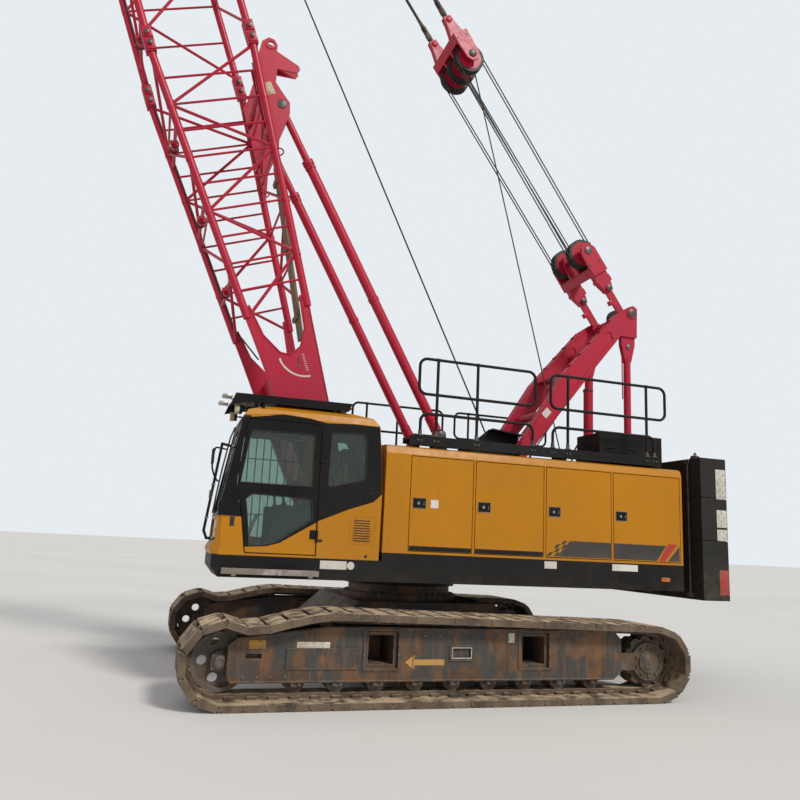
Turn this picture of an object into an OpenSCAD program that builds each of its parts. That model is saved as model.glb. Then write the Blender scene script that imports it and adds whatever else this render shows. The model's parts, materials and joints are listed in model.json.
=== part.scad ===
/* [Crawlers] */
// Distance between the track centre lines
gauge = 3540; // [3300:10:3700]
// Distance between idler and sprocket axles
wheelbase = 4660; // [4560:10:4760]
// Width of the track shoes
shoe_w = 760; // [600:10:760]
// Shoe height from chain tread to ground
shoe_h = 115; // [105:5:125]
// Radius of the idler and sprocket tread
idler_r = 285; // [275:5:295]
// Width of a track frame box
frame_w = 400; // [340:10:420]
// Height of the track frame top above ground
frame_top = 735; // [720:5:745]
// Height of the track frame bottom above ground
frame_bottom = 220; // [205:5:240]
// Radius of the bottom rollers
roller_r = 95; // [80:5:95]

/* [Upper structure] */
// Overall width of the upper structure
upper_w = 3160; // [3100:10:3160]
// Underside of the black skirt
skirt_z = 1152; // [1140:2:1170]
// Underside of the yellow housings
house_z = 1455; // [1440:5:1470]
// Top of the yellow housings
house_top = 2620; // [2560:10:2640]
// Front end of the housings
house_front = 720; // [700:5:725]
// Rear end of the housings
house_rear = -3107; // [-3120:1:-3090]
// Thickness of housing walls and doors
panel_t = 40; // [30:2:46]
// Gap round each door
door_gap = 8; // [6:1:10]
// Tail radius of the counterweight
tail_r = 4100; // [4000:10:4200]

/* [Cab] */
// Outer width of the cab
cab_w = 820; // [800:10:830]
// Cab wall and door thickness
cab_t = 45; // [35:5:50]
// Thickness of the window panes
pane_t = 6; // [5:1:8]

/* [Boom] */
// Boom foot pin, distance ahead of the slewing axis
foot_x = 900; // [880:5:920]
// Boom foot pin height
foot_z = 1500; // [1480:5:1520]
// Boom angle above the horizontal as stored
boom_angle = 70; // [65:1:75]
// Length of the boom foot section
foot_len = 6500; // [6400:50:6600]
// Length of the boom insert
insert_len = 6000; // [5700:100:6300]
// Length of the boom top section
top_len = 6500; // [6400:50:6600]
// Half depth and half width of the lattice at chord centres
chord_off = 630; // [600:5:640]
// Radius of the main chords
chord_r = 48; // [40:1:52]
// Radius of the lacing tubes
lace_r = 20; // [16:1:22]

/* [Hidden] */
// Gap between pieces that seat on each other, and of a pin in its bore
seat = 0.3;
bore_gap = 0.08;
fn = 48;
fn_lace = 8;

yellow = [0.86, 0.55, 0.06];
black = [0.09, 0.09, 0.10];
red = [0.62, 0.06, 0.11];
rust = [0.36, 0.24, 0.17];
steel = [0.45, 0.44, 0.42];
glass = [0.1, 0.14, 0.14, 0.5];

half_gauge = gauge / 2;
upper_y = upper_w / 2;
axle_z = shoe_h + idler_r;
idler_x = wheelbase / 2;

// A round bar from point a to point b, turned on its own axis
module bar(a, b, r, sides = fn, turn = 0) {
  d = b - a;
  len = norm(d);
  translate(a) rotate([0, acos(d[2] / len), atan2(d[1], d[0])]) rotate([0, 0, turn])
    cylinder(h = len, r = r, $fn = sides);
}

// A plate drawn in side view (x, z), spanning y0 to y1
module side_plate(y0, y1) {
  translate([0, y1, 0]) rotate([90, 0, 0]) linear_extrude(height = y1 - y0) children();
}

// A plate drawn in front view (y, z), spanning x0 to x1
module front_plate(x0, x1) {
  translate([x0, 0, 0]) rotate([90, 0, 90]) linear_extrude(height = x1 - x0) children();
}

// A round piece on an axle across the machine
module cross_cyl(x, y0, y1, z, r, sides = fn) {
  translate([x, y1, z]) rotate([90, 0, 0]) cylinder(h = y1 - y0, r = r, $fn = sides);
}

module block(a, b) {
  translate(a) cube(b - a);
}

module both_sides() {
  children();
  mirror([0, 1, 0]) children();
}

// Crawlers
// Chain path on the tread line: the top run rises from the idler over the carrier roller
// and falls along the frame to the sprocket
shoes_run = 23;
shoes_arc = 5;
pitch = wheelbase / shoes_run;
carrier_i = 5;
carrier_x = idler_x - carrier_i * pitch;
carrier_top = frame_top + 30;
idler_top = axle_z + idler_r;
sag = 85;
chain_hw = 120;
chain_gap = 10;
slot_hw = chain_hw + chain_gap;
groove_z = frame_top - 70;

// Height of the tread line on the top run at x
function top_z(x) =
  x > carrier_x
  ? let (f = (x - carrier_x) / (idler_x - carrier_x))
    carrier_top + (idler_top - carrier_top) * f - sag * sin(180 * f * f)
  : let (f = (carrier_x - x) / (idler_x + carrier_x)) carrier_top + (idler_top - carrier_top) * f;

// Corners between shoes: bottom run, idler arc, top run, sprocket arc
function loop_corners(off) = concat(
  [for (i = [0 : shoes_run]) [-idler_x + pitch * i, shoe_h - off]],
  [for (i = [1 : shoes_arc - 1]) let (a = -90 + 180 * i / shoes_arc)
    [idler_x + (idler_r + off) * cos(a), axle_z + (idler_r + off) * sin(a)]],
  [for (i = [0 : shoes_run]) let (x = idler_x - pitch * i) [x, top_z(x) + off]],
  [for (i = [1 : shoes_arc - 1]) let (a = 90 + 180 * i / shoes_arc)
    [-idler_x + (idler_r + off) * cos(a), axle_z + (idler_r + off) * sin(a)]]);

link_h = 62;
link_lap = 14;
shoe_gap = 9;
lump_h = 0.62;

// Shoe outline between corners a and b: a flat plate, stepped down where the next one laps it
function shoe_points(a, b) =
  let (d = (b - a) / norm(b - a), n = [d[1], -d[0]], h = shoe_h - link_h)
  [a + d * shoe_gap, a + d * shoe_gap + n * h, b - d * shoe_gap * 3 + n * h,
   b - d * shoe_gap * 3 + n * h * lump_h, b - d * shoe_gap + n * h * lump_h, b - d * shoe_gap];

module track_belt() {
  root = loop_corners(link_h);
  n = len(root);
  difference() {
    polygon([for (i = [0 : n - 1]) each shoe_points(root[i], root[(i + 1) % n])]);
    polygon(loop_corners(link_h - link_lap));
  }
}

module track_chain() {
  difference() {
    polygon(loop_corners(link_h + 1));
    polygon(loop_corners(0));
  }
}

module track(side) {
  y = side * half_gauge;
  color(rust) {
    side_plate(y - shoe_w / 2, y + shoe_w / 2) track_belt();
    side_plate(y - chain_hw, y + chain_hw) track_chain();
  }
}

beam_x = [790, -890];
beam_hw = 160;
beam_z0 = 350;
beam_z1 = 690;
beam_wall = 30;
beam_end = 25;
socket_gap = 10;
frame_y = half_gauge - frame_w / 2;
frame_y1 = half_gauge + frame_w / 2;
frame_front = idler_x - 55;
frame_rear = -idler_x + 480;
tail_x = frame_rear - 100;
fork_x = idler_x - 550;
pad_t = 12;

module frame_outline() {
  polygon([[frame_rear, frame_bottom], [frame_front - 35, frame_bottom],
           [frame_front, frame_bottom + 60], [frame_front, 560], [frame_front - 80, 625],
           [carrier_x + 20, frame_top], [frame_rear, frame_top], [tail_x, 640], [tail_x, 300]]);
}

module track_frames() {
  both_sides() color(rust) difference() {
    union() {
      side_plate(frame_y, frame_y1) frame_outline();
      // raised rims round the beam sockets and the long pad between them
      for (x = beam_x)
        block([x - beam_hw - 30, frame_y1 - 1, beam_z0 - 25],
              [x + beam_hw + 30, frame_y1 + pad_t, beam_z1 + 28]);
      side_plate(frame_y1 - 1, frame_y1 + pad_t)
        translate([1030, 345]) square([700, 190]);
      side_plate(frame_y1 - 1, frame_y1 + pad_t)
        translate([-190, 420]) square([260, 150]);
    }
    // slots for the idler and the sprocket between the fork plates
    block([fork_x, half_gauge - slot_hw, 0], [idler_x + 100, half_gauge + slot_hw, 900]);
    block([tail_x - 100, half_gauge - slot_hw, 0], [frame_rear - 30, half_gauge + slot_hw, 900]);
    // groove under the top run of the chain
    block([tail_x - 100, half_gauge - slot_hw, groove_z], [idler_x, half_gauge + slot_hw, 900]);
    // open sockets for the axle beams
    for (x = beam_x)
      block([x - beam_hw - socket_gap, half_gauge - frame_w, beam_z0],
            [x + beam_hw + socket_gap, half_gauge + frame_w, beam_z1 + socket_gap]);
    // sunk pocket for the bottom rollers
    block([frame_rear, half_gauge - slot_hw - 5, 0],
          [fork_x - 30, half_gauge + slot_hw + 5, frame_bottom + 100]);
    // adjuster slot and rear socket
    side_plate(half_gauge + slot_hw - 10, frame_y1 + 50)
      translate([fork_x + 180, 440]) square([150, 45]);
    side_plate(frame_y1 - 18, frame_y1 + 50)
      translate([-165, 445]) square([210, 100]);
  }
}

rollers = 9;
roller_x0 = frame_rear + 230;
roller_step = -2 * roller_x0 / (rollers - 1);
roller_hub = 38;
carrier_r = 45;

module track_rollers() {
  z = shoe_h + roller_r + seat;
  both_sides() color(rust) {
    for (i = [0 : rollers - 1]) {
      x = roller_x0 + roller_step * i;
      for (s = [-1, 1])
        cross_cyl(x, half_gauge + s * 80 - 35, half_gauge + s * 80 + 35, z, roller_r);
      cross_cyl(x, half_gauge - slot_hw - 5, half_gauge + slot_hw + 5, z, roller_hub);
      // bearing block hung under the frame on both sides
      for (s = [-1, 1])
        block([x - 50, half_gauge + s * (slot_hw + 25) - 20, z - 30],
              [x + 50, half_gauge + s * (slot_hw + 25) + 20, frame_bottom - seat]);
    }
    cross_cyl(carrier_x, half_gauge - 90, half_gauge + 90, carrier_top - carrier_r - 1.5, carrier_r);
    cross_cyl(carrier_x, half_gauge - slot_hw + seat, half_gauge + slot_hw - seat,
              carrier_top - carrier_r - 1.5, 16);
  }
}

// The rim runs inside the flats of the chain loop
rim_r = idler_r * cos(90 / shoes_arc) - seat;
rim_hw = 100;

module idlers() {
  both_sides() color(rust) {
    difference() {
      cross_cyl(idler_x, half_gauge - rim_hw, half_gauge + rim_hw, axle_z, rim_r);
      // sunk web on both faces, with five lightening holes
      for (s = [-1, 1])
        difference() {
          cross_cyl(idler_x, half_gauge + s * 75 - 40, half_gauge + s * 75 + 40, axle_z, rim_r - 38);
          cross_cyl(idler_x, half_gauge + s * 75 - 41, half_gauge + s * 75 + 41, axle_z, 95);
        }
      for (a = [0 : 72 : 288])
        translate([idler_x, 0, axle_z]) rotate([0, a, 0])
          cross_cyl((rim_r + 57) / 2, half_gauge - rim_hw - 1, half_gauge + rim_hw + 1, 0, 48);
    }
    // axle and the sliding yoke between the fork plates
    cross_cyl(idler_x, half_gauge - slot_hw + 2, half_gauge + slot_hw - 2, axle_z, 50);
    for (s = [-1, 1])
      block([fork_x + 20, half_gauge + s * (slot_hw - 10) - 8, axle_z - 70],
            [idler_x + 80, half_gauge + s * (slot_hw - 10) + 8, axle_z + 70]);
    block([fork_x + seat, half_gauge - slot_hw + 2, axle_z - 70],
          [fork_x + 90, half_gauge + slot_hw - 2, axle_z + 70]);
  }
}

teeth = 10;
drive_r = 230;
cover_r = 200;

module sprockets() {
  both_sides() color(rust) {
    // toothed disc
    difference() {
      cross_cyl(-idler_x, half_gauge - rim_hw - 5, half_gauge + rim_hw + 5, axle_z, rim_r);
      for (i = [0 : teeth - 1])
        translate([-idler_x, 0, axle_z]) rotate([0, 360 * i / teeth, 0])
          cross_cyl(rim_r + 8, half_gauge - rim_hw - 6, half_gauge + rim_hw + 6, 0, 42);
    }
    // final drive case inboard and cover disc outboard
    cross_cyl(-idler_x, half_gauge - frame_w / 2 + 10, half_gauge - rim_hw, axle_z, drive_r);
    cross_cyl(-idler_x, half_gauge + rim_hw, half_gauge + 150, axle_z, cover_r);
    cross_cyl(-idler_x, half_gauge + 149, half_gauge + 165, axle_z, cover_r * 0.6);
    // arms on the rear face of the track frame
    for (s = [-1, 1])
      block([-idler_x + 60, half_gauge + (s < 0 ? -frame_w / 2 + 15 : slot_hw), axle_z - 90],
            [tail_x - seat, half_gauge + (s < 0 ? -slot_hw : 150), axle_z + 90]);
  }
}

slew_r = 640;
slew_in = 520;
slew_z0 = 960;
slew_z1 = 1060;
slew_gap = 6;
box_front = 1080;
box_rear = -1180;
box_y = 1000;
box_top = 900;
tow_x = 1180;
tow_z = 450;
tow_r = 35;

module carbody() {
  color(rust) {
    difference() {
      union() {
        // centre box, wider towards its foot
        side_plate(-box_y, box_y)
          polygon([[box_rear, 330], [box_front, 330], [box_front, 640], [box_front - 300, box_top],
                   [box_rear + 300, box_top], [box_rear, 640]]);
        translate([0, 0, box_top - 1]) cylinder(h = slew_z0 - box_top + 1, r = slew_r + 80, $fn = 64);
        for (x = beam_x)
          block([x - beam_hw, -frame_y1 + beam_end, beam_z0],
                [x + beam_hw, frame_y1 - beam_end, beam_z1]);
      }
      // beams are open boxes at their ends
      for (x = beam_x, s = [-1, 1])
        block([x - beam_hw + beam_wall, s > 0 ? half_gauge - 300 : -half_gauge - frame_w,
               beam_z0 + beam_wall],
              [x + beam_hw - beam_wall, s > 0 ? half_gauge + frame_w : -half_gauge + 300,
               beam_z1 - beam_wall]);
      // well for the centre swivel and the hollow under the deck plate
      translate([0, 0, 200]) cylinder(h = 1000, r = slew_in / 2, $fn = 48);
      block([-700, -box_y + 100, 200], [600, box_y - 100, 560]);
    }
    // lower race of the slewing ring
    translate([0, 0, slew_z0 - 1]) difference() {
      cylinder(h = slew_z1 - slew_z0 + 1, r = slew_r, $fn = 64);
      translate([0, 0, -1]) cylinder(h = slew_z1, r = slew_in, $fn = 64);
    }
    // tow lug on the front face, its bore upright
    difference() {
      translate([0, 0, tow_z - 40]) linear_extrude(height = 80)
        polygon([[box_front - 1, -120], [tow_x + 20, -80], [tow_x + 70, -40],
                 [tow_x + 70, 40], [tow_x + 20, 80], [box_front - 1, 120]]);
      translate([tow_x, 0, tow_z - 60]) cylinder(h = 120, r = tow_r, $fn = fn);
    }
  }
}

// Upper structure
deck_t = 60;
skirt_t = 60;
rib_t = 60;
rib_x = [-3090, -2180, -1240, -300, 500];
girder_y = 460;
girder_t = 40;
girder_rear = -3190;
boss_hw = 50;
boss_y = 620;
boss_r = 150;
lug_t = 40;
lug_gap = 6;
pin_r = 60;
cab_base = 1368;
cab_front = 2500;
rear_deck_z = 2300;
rear_deck_front = -2500;
drum_cheek_y = 400;
drum_hw = 325;

module girder_outline() {
  polygon([[girder_rear, skirt_z], [foot_x + 160, skirt_z], [foot_x + 220, 1300],
           [foot_x + 200, foot_z + 100],
           [foot_x + 80, foot_z + 200], [foot_x - 100, foot_z + 200], [420, 1950], [-2200, 1950],
           [-2900, rear_deck_z], [girder_rear, rear_deck_z]]);
}

module turntable() {
  color(black) {
    // deck plates between the girders and the side frames
    block([house_rear, -upper_y + skirt_t, skirt_z], [house_front, upper_y - skirt_t, skirt_z + deck_t]);
    for (s = [-1, 1])
      side_plate(s * girder_y - girder_t / 2, s * girder_y + girder_t / 2) girder_outline();
    // outer skirts under the housings and the cab
    block([house_rear, upper_y - skirt_t, skirt_z], [house_front, upper_y, house_z - seat]);
    block([house_rear, -upper_y, skirt_z], [house_front, -upper_y + skirt_t, house_z - seat]);
    // cross members joining girders and skirts
    for (x = rib_x)
      block([x, -upper_y + skirt_t - 1, skirt_z], [x + rib_t, upper_y - skirt_t + 1, house_z - 60]);
    // slewing ring upper race and the spigot inside the lower race
    translate([0, 0, slew_z1 + slew_gap]) difference() {
      cylinder(h = skirt_z - slew_z1 - slew_gap + 1, r = slew_r + 60, $fn = 64);
      translate([0, 0, -1]) cylinder(h = 200, r = slew_in, $fn = 64);
    }
    translate([0, 0, slew_z1 - 60]) difference() {
      cylinder(h = skirt_z - slew_z1 + 60, r = slew_in - seat, $fn = 64);
      translate([0, 0, -1]) cylinder(h = 400, r = slew_in - 40, $fn = 64);
    }
    // boom foot clevises and pins
    for (s = [-1, 1], k = [-1, 1]) {
      c = s * boss_y + k * (boss_hw + lug_gap + lug_t / 2);
      side_plate(c - lug_t / 2, c + lug_t / 2)
        polygon([[foot_x - 340, skirt_z], [foot_x + 200, skirt_z], [foot_x + 110, foot_z + 80],
                 [foot_x + 50, foot_z + 140], [foot_x - 50, foot_z + 140], [foot_x - 120, foot_z + 60]]);
    }
    for (s = [-1, 1])
      cross_cyl(foot_x, s * boss_y - boss_hw - lug_gap - lug_t, s * boss_y + boss_hw + lug_gap + lug_t,
                foot_z, pin_r);
    // raised deck at the tail and the pedestal of the gantry cylinder
    block([girder_rear, -gantry_y - 90, rear_deck_z - 60], [rear_deck_front, gantry_y + 90, rear_deck_z]);
    block([cyl_x - 110, -120, rear_deck_z - 1], [cyl_x + 110, 120, cyl_z]);
    // backstop brackets on a cross beam
    block([stop_foot[0] - 200, -stop_y - 100, 1890], [stop_foot[0] + 200, stop_y + 100, 1950]);
    for (s = [-1, 1])
      cross_cyl(stop_foot[0], s * stop_y - 94, s * stop_y + 94, stop_foot[1], stop_pin_r);
    for (s = [-1, 1], k = [-1, 1])
      side_plate(s * stop_y + k * 82 - 12, s * stop_y + k * 82 + 12)
        translate(stop_foot)
          polygon([[-200, -1030], [200, -1030], [60, 30], [20, 65], [-20, 65], [-60, 30]]);
    // gantry foot brackets and pins
    block([gantry_foot_x - 270, -gantry_y - 95, 1890], [gantry_foot_x + 250, gantry_y + 95, 1950]);
    for (s = [-1, 1], k = [-1, 1])
      side_plate(s * gantry_y + k * 80 - 15, s * gantry_y + k * 80 + 15)
        translate([gantry_foot_x, gantry_foot_z])
          polygon([[-270, -540], [250, -540], [90, 40], [0, 100], [-90, 40]]);
    for (s = [-1, 1])
      cross_cyl(gantry_foot_x, s * gantry_y - 95, s * gantry_y + 95, gantry_foot_z, gantry_pin_r);
    // winch cheeks and stub shafts
    for (w = drums, k = [-1, 1]) {
      side_plate(k * drum_cheek_y - 15, k * drum_cheek_y + 15)
        translate([w[0], 0])
          polygon([[-260, skirt_z + deck_t - 1], [260, skirt_z + deck_t - 1],
                   [120, w[1] + 120], [-120, w[1] + 120]]);
      cross_cyl(w[0], k * (drum_cheek_y - 40) - 90, k * (drum_cheek_y - 40) + 90, w[1], shaft_r);
    }
  }
}

// Winch drums: x, z, drum radius, flange radius
drums = [[-1700, 1560, 170, 300], [-850, 1560, 170, 300], [-2480, 1560, 140, 260]];
shaft_r = 60;
flange_t = 24;
winding = 24;

module drum(i) {
  w = drums[i];
  color(steel) difference() {
    union() {
      cross_cyl(w[0], -drum_hw, drum_hw, w[1], w[2]);
      // rope lying on the drum in two layers
      cross_cyl(w[0], -drum_hw + flange_t, drum_hw - flange_t, w[1], w[2] + winding);
      cross_cyl(w[0], -drum_hw + flange_t, drum_hw - 220, w[1], w[2] + 2 * winding);
      for (k = [-1, 1])
        cross_cyl(w[0], k * (drum_hw - flange_t / 2) - flange_t / 2,
                  k * (drum_hw - flange_t / 2) + flange_t / 2, w[1], w[3]);
    }
    cross_cyl(w[0], -drum_hw - 1, drum_hw + 1, w[1], shaft_r + bore_gap);
  }
}

guard_hole_r = 60;

// Inclined guard plate of the winches between the gantry feet, with a folded edge
module winch_guard() {
  color(black) difference() {
    union() {
      side_plate(150, 175)
        polygon([[-830, 1950], [-1600, 1950], [-1570, 3085], [-1130, 3130], [-820, 2860]]);
      side_plate(174, 300) polygon([[-1570, 3065], [-1570, 3085], [-1130, 3130], [-1130, 3110]]);
    }
    cross_cyl(-1440, 100, 200, 2900, guard_hole_r);
  }
}

// Counterweight slabs from the lowest up, seams between them
slab_z = [1050, 1770, 2300, 2800];
slab_front = -3400;
groove = 14;

module counterweight() {
  color(black) {
    for (i = [0 : 2])
      difference() {
        translate([0, 0, slab_z[i]]) linear_extrude(height = slab_z[i + 1] - slab_z[i])
          intersection() {
            circle(r = tail_r, $fn = 128);
            translate([-tail_r - 10, -upper_y]) square([tail_r + 10 + slab_front, upper_w]);
          }
        // seam groove round each slab
        if (i > 0) translate([0, 0, slab_z[i] - 1]) linear_extrude(height = groove) difference() {
          translate([-tail_r - 100, -upper_y - 50]) square([tail_r + 150 + slab_front, upper_w + 100]);
          intersection() {
            circle(r = tail_r - groove, $fn = 128);
            translate([-tail_r - 10, -upper_y + groove])
              square([tail_r + 10 + slab_front - groove, upper_w - 2 * groove]);
          }
        }
      }
    // carrier arms reaching the turntable girders
    for (s = [-1, 1])
      block([slab_front - 1, s * girder_y - 90, 1300], [girder_rear, s * girder_y + 90, 1700]);
    // lifting eyes on the top slab
    for (s = [-1, 1])
      difference() {
        side_plate(s * 1100 - 20, s * 1100 + 20)
          translate([-3720, slab_z[3] - 1]) polygon([[-90, 0], [90, 0], [50, 90], [-50, 90]]);
        cross_cyl(-3720, s * 1100 - 30, s * 1100 + 30, slab_z[3] + 48, 24);
      }
  }
}

house_in = 660;

module engine() {
  color(steel)
    block([-2800, -upper_y + panel_t + 60, house_z + panel_t + seat],
          [-1500, -house_in - panel_t - 40, 2300]);
}

// Door seams along the housings
left_seams = [447, -326, -1214, -2113, house_rear];
right_seams = [-500, -1360, -2220, house_rear];
seam_hw = 12;
rear_post = 30;
open_z0 = house_z + 25;
open_z1 = house_top - 105;
crease = 95;

module house(side, seams) {
  n = len(seams) - 2;
  difference() {
    front_plate(house_rear, house_front)
      polygon([[side * house_in, house_z], [side * upper_y, house_z], [side * upper_y, house_top - crease],
               [side * (upper_y - 22), house_top - 20], [side * (upper_y - 70), house_top],
               [side * house_in, house_top]]);
    // inner room
    block([house_rear + panel_t, side > 0 ? house_in + panel_t : -upper_y + panel_t, house_z + panel_t],
          [house_front - panel_t, side > 0 ? upper_y - panel_t : -house_in - panel_t, house_top - panel_t]);
    // door openings
    for (i = [0 : n])
      block([i == n ? house_rear + rear_post : seams[i + 1] + seam_hw,
             side > 0 ? upper_y - panel_t - 1 : -upper_y - 30, open_z0],
            [seams[i] - seam_hw, side > 0 ? upper_y + 30 : -upper_y + panel_t + 1, open_z1]);
  }
}

// Hinge pins at each rear corner of a door
door_pin_r = 5;
door_pin_in = 12;
hinge_in = 6;

// Rear edge of door i between the seams
function door_rear(seams, i) =
  (i == len(seams) - 2 ? house_rear + rear_post : seams[i + 1] + seam_hw) + door_gap;

module door_pins(side, seams, r, z_grow) {
  for (i = [0 : len(seams) - 2], z = [open_z0, open_z1])
    translate([door_rear(seams, i) + hinge_in, side * (upper_y - hinge_in),
               z - door_gap - door_pin_in - z_grow])
      cylinder(h = 2 * (door_gap + door_pin_in + z_grow), r = r, $fn = 24);
}

module left_house() {
  color(yellow) {
    house(1, left_seams);
    door_pins(1, left_seams, door_pin_r, 0);
  }
}

// Louvre slots in the fixed front part of the right housing
louvres = 8;

module right_house() {
  color(yellow) {
    difference() {
      house(-1, right_seams);
      for (i = [0 : louvres - 1])
        block([-380, -upper_y - 1, 1750 + i * 75], [420, -upper_y + 10, 1780 + i * 75]);
    }
    door_pins(-1, right_seams, door_pin_r, 0);
  }
}

latch_s = 90;
latch_in = 60;
latch_z = 2060;
latch_t = 12;
key_r = 22;

// One door panel between two seams, with its latch block
module house_door(side, seams, i) {
  x_rear = door_rear(seams, i);
  x_front = seams[i] - seam_hw - door_gap;
  x_latch = x_front - latch_in - latch_s;
  color(yellow) difference() {
    block([x_rear, side > 0 ? upper_y - panel_t + 2 : -upper_y, open_z0 + door_gap],
          [x_front, side > 0 ? upper_y : -upper_y + panel_t - 2, open_z1 - door_gap]);
    block([x_latch, side > 0 ? upper_y - latch_t : -upper_y - 10, latch_z],
          [x_latch + latch_s, side > 0 ? upper_y + 10 : -upper_y + latch_t, latch_z + latch_s]);
    door_pins(side, seams, door_pin_r + bore_gap, 1);
  }
  color(black) difference() {
    block([x_latch, side > 0 ? upper_y - latch_t : -upper_y, latch_z],
          [x_latch + latch_s, side > 0 ? upper_y : -upper_y + latch_t, latch_z + latch_s]);
    cross_cyl(x_latch + latch_s / 2, side > 0 ? upper_y - latch_t / 2 : -upper_y - 10,
              side > 0 ? upper_y + 10 : -upper_y + latch_t / 2, latch_z + latch_s / 2, key_r);
  }
}

module left_door(i) {
  house_door(1, left_seams, i);
}

module right_door(i) {
  house_door(-1, right_seams, i);
}

// Cab: side outline, front outline and plan outline meet in one shell
cab_in = upper_y - cab_w;
cab_z = cab_base + seat;
cab_rear = 755;
cab_mid = upper_y - cab_w / 2;
cab_side = [[cab_rear, cab_z], [2480, cab_z], [2500, 1420], [2462, 1500], [2446, 1790], [2283, 2757],
            [2239, 2850], [2071, 2905], [1463, 2940], [1110, 2925], [880, 2880], [810, 2800],
            [765, 2366], [750, 2065]];
door_outline = [[1431, 1390], [2160, 1390], [2173, 1445], [2220, 1752], [2262, 1930], [2292, 2100],
                [2245, 2700], [2205, 2762], [1500, 2762], [1446, 2700]];
rear_window = [[942, 2229], [996, 2191], [1325, 2107], [1347, 2133], [1343, 2690], [983, 2695],
               [943, 2629]];
far_window = [[1480, 1550], [2200, 1550], [2300, 1800], [2290, 2100], [2190, 2660], [1480, 2660]];
door_window = [[1513, 2095], [2258, 2095], [2201, 2552], [2175, 2640], [1513, 2647]];
door_window_low = [[1506, 1969], [1490, 1754], [1842, 1510], [1943, 1480], [2120, 1466], [2165, 1790],
                   [2190, 1930], [2128, 1985]];

// Front outline (y, z) of the cab inset by d
module cab_front_outline(d) {
  translate([cab_mid, 0]) polygon([
    [-cab_w / 2 + d, cab_z + d], [cab_w / 2 - d, cab_z + d], [cab_w / 2 - d, 2800 - d],
    [cab_w / 2 - 25 - d, 2870 - d], [cab_w / 2 - 110 - d, 2925 - d], [0, 2945 - d],
    [-cab_w / 2 + 110 + d, 2925 - d], [-cab_w / 2 + 25 + d, 2870 - d], [-cab_w / 2 + d, 2800 - d]]);
}

// Plan outline (x, y) of the cab inset by d, with the front corners cut off
module cab_plan_outline(d) {
  translate([0, cab_mid]) polygon([
    [700 + d, -cab_w / 2 + d], [2420 - d, -cab_w / 2 + d], [2520 - d, -cab_w / 2 + 70 + d],
    [2520 - d, cab_w / 2 - 70 - d], [2420 - d, cab_w / 2 - d], [700 + d, cab_w / 2 - d]]);
}

module cab_solid(d) {
  intersection() {
    side_plate(cab_in - 1, upper_y + 1) offset(delta = -d) polygon(cab_side);
    front_plate(600, 2600) cab_front_outline(d);
    translate([0, 0, 1300]) linear_extrude(height = 1700) cab_plan_outline(d);
  }
}

cab_hinge_x = 1437;
cab_hinge_y = upper_y + 14;
cab_hinge_z = [1560, 2380];
cab_pin_r = 6;
barrel_r = 13;
barrel_h = 90;
cab_louvres = 6;

module cab_shell() {
  // hinge pins and their lugs behind the door
  color(black) for (z = cab_hinge_z) {
    translate([cab_hinge_x, cab_hinge_y, z - 22]) cylinder(h = barrel_h + 10, r = cab_pin_r, $fn = 24);
    translate([0, 0, z - 22]) linear_extrude(height = 20) union() {
      translate([cab_hinge_x, cab_hinge_y]) circle(r = barrel_r, $fn = 24);
      translate([cab_hinge_x - 62, upper_y - 1]) square([60, 12]);
    }
  }
  color(yellow) difference() {
    cab_solid(0);
    cab_solid(cab_t);
    // door opening
    side_plate(upper_y - cab_t - 1, upper_y + 10) polygon(door_outline);
    // rear quarter windows and the window of the far side
    for (y = [upper_y - cab_t - 1, cab_in - 10]) side_plate(y, y + cab_t + 11) polygon(rear_window);
    side_plate(cab_in - 10, cab_in + cab_t + 1) polygon(far_window);
    // windscreen, lower front window, rear window, roof window
    block([2200, cab_in + 75, 1790], [2700, upper_y - 75, 2640]);
    block([2390, cab_in + 75, 1500], [2700, upper_y - 75, 1720]);
    block([700, cab_in + 120, 1950], [900, upper_y - 120, 2560]);
    block([1500, cab_in + 150, 2800], [2050, upper_y - 150, 3000]);
    // louvre slots and the sunk grip in the rear quarter
    for (i = [0 : cab_louvres - 1])
      side_plate(upper_y - 10, upper_y + 1) translate([858, 1573 + i * 35]) square([168, 14]);
    side_plate(upper_y - 14, upper_y + 1) translate([806, 2040]) square([98, 34]);
  }
}

pane_in = 20;

module cab_glass() {
  color(glass) {
    // windscreen leaning with the front pillars
    side_plate(cab_in + 75, upper_y - 75)
      polygon([[2432, 1790], [2432 - pane_t, 1790], [2289 - pane_t, 2640], [2289, 2640]]);
    side_plate(cab_in + 75, upper_y - 75)
      polygon([[2446, 1500], [2446 - pane_t, 1500], [2436 - pane_t, 1720], [2436, 1720]]);
    side_plate(upper_y - pane_in, upper_y - pane_in + pane_t) polygon(rear_window);
    side_plate(cab_in + pane_in, cab_in + pane_in + pane_t) polygon(rear_window);
    side_plate(cab_in + pane_in, cab_in + pane_in + pane_t) polygon(far_window);
    block([790, cab_in + 120, 1950], [790 + pane_t, upper_y - 120, 2560]);
    block([1500, cab_in + 150, 2908], [2050, upper_y - 150, 2908 + pane_t]);
  }
}

module cab_door() {
  // hinge barrels outside the rear edge
  color(black) for (z = cab_hinge_z) difference() {
    translate([0, 0, z]) linear_extrude(height = barrel_h) union() {
      translate([cab_hinge_x, cab_hinge_y]) circle(r = barrel_r, $fn = 24);
      translate([cab_hinge_x + 12, upper_y - 1]) square([60, 12]);
    }
    translate([cab_hinge_x, cab_hinge_y, z - 1])
      cylinder(h = barrel_h + 2, r = cab_pin_r + bore_gap, $fn = 24);
  }
  color(black) difference() {
    side_plate(upper_y - cab_t + 2, upper_y) offset(delta = -door_gap) polygon(door_outline);
    side_plate(upper_y - cab_t, upper_y + 1) polygon(door_window);
    side_plate(upper_y - cab_t, upper_y + 1) polygon(door_window_low);
  }
  // grip on the bar between the panes
  color(steel) side_plate(upper_y - 1, upper_y + 14) translate([1955, 2030]) square([75, 26]);
}

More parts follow.
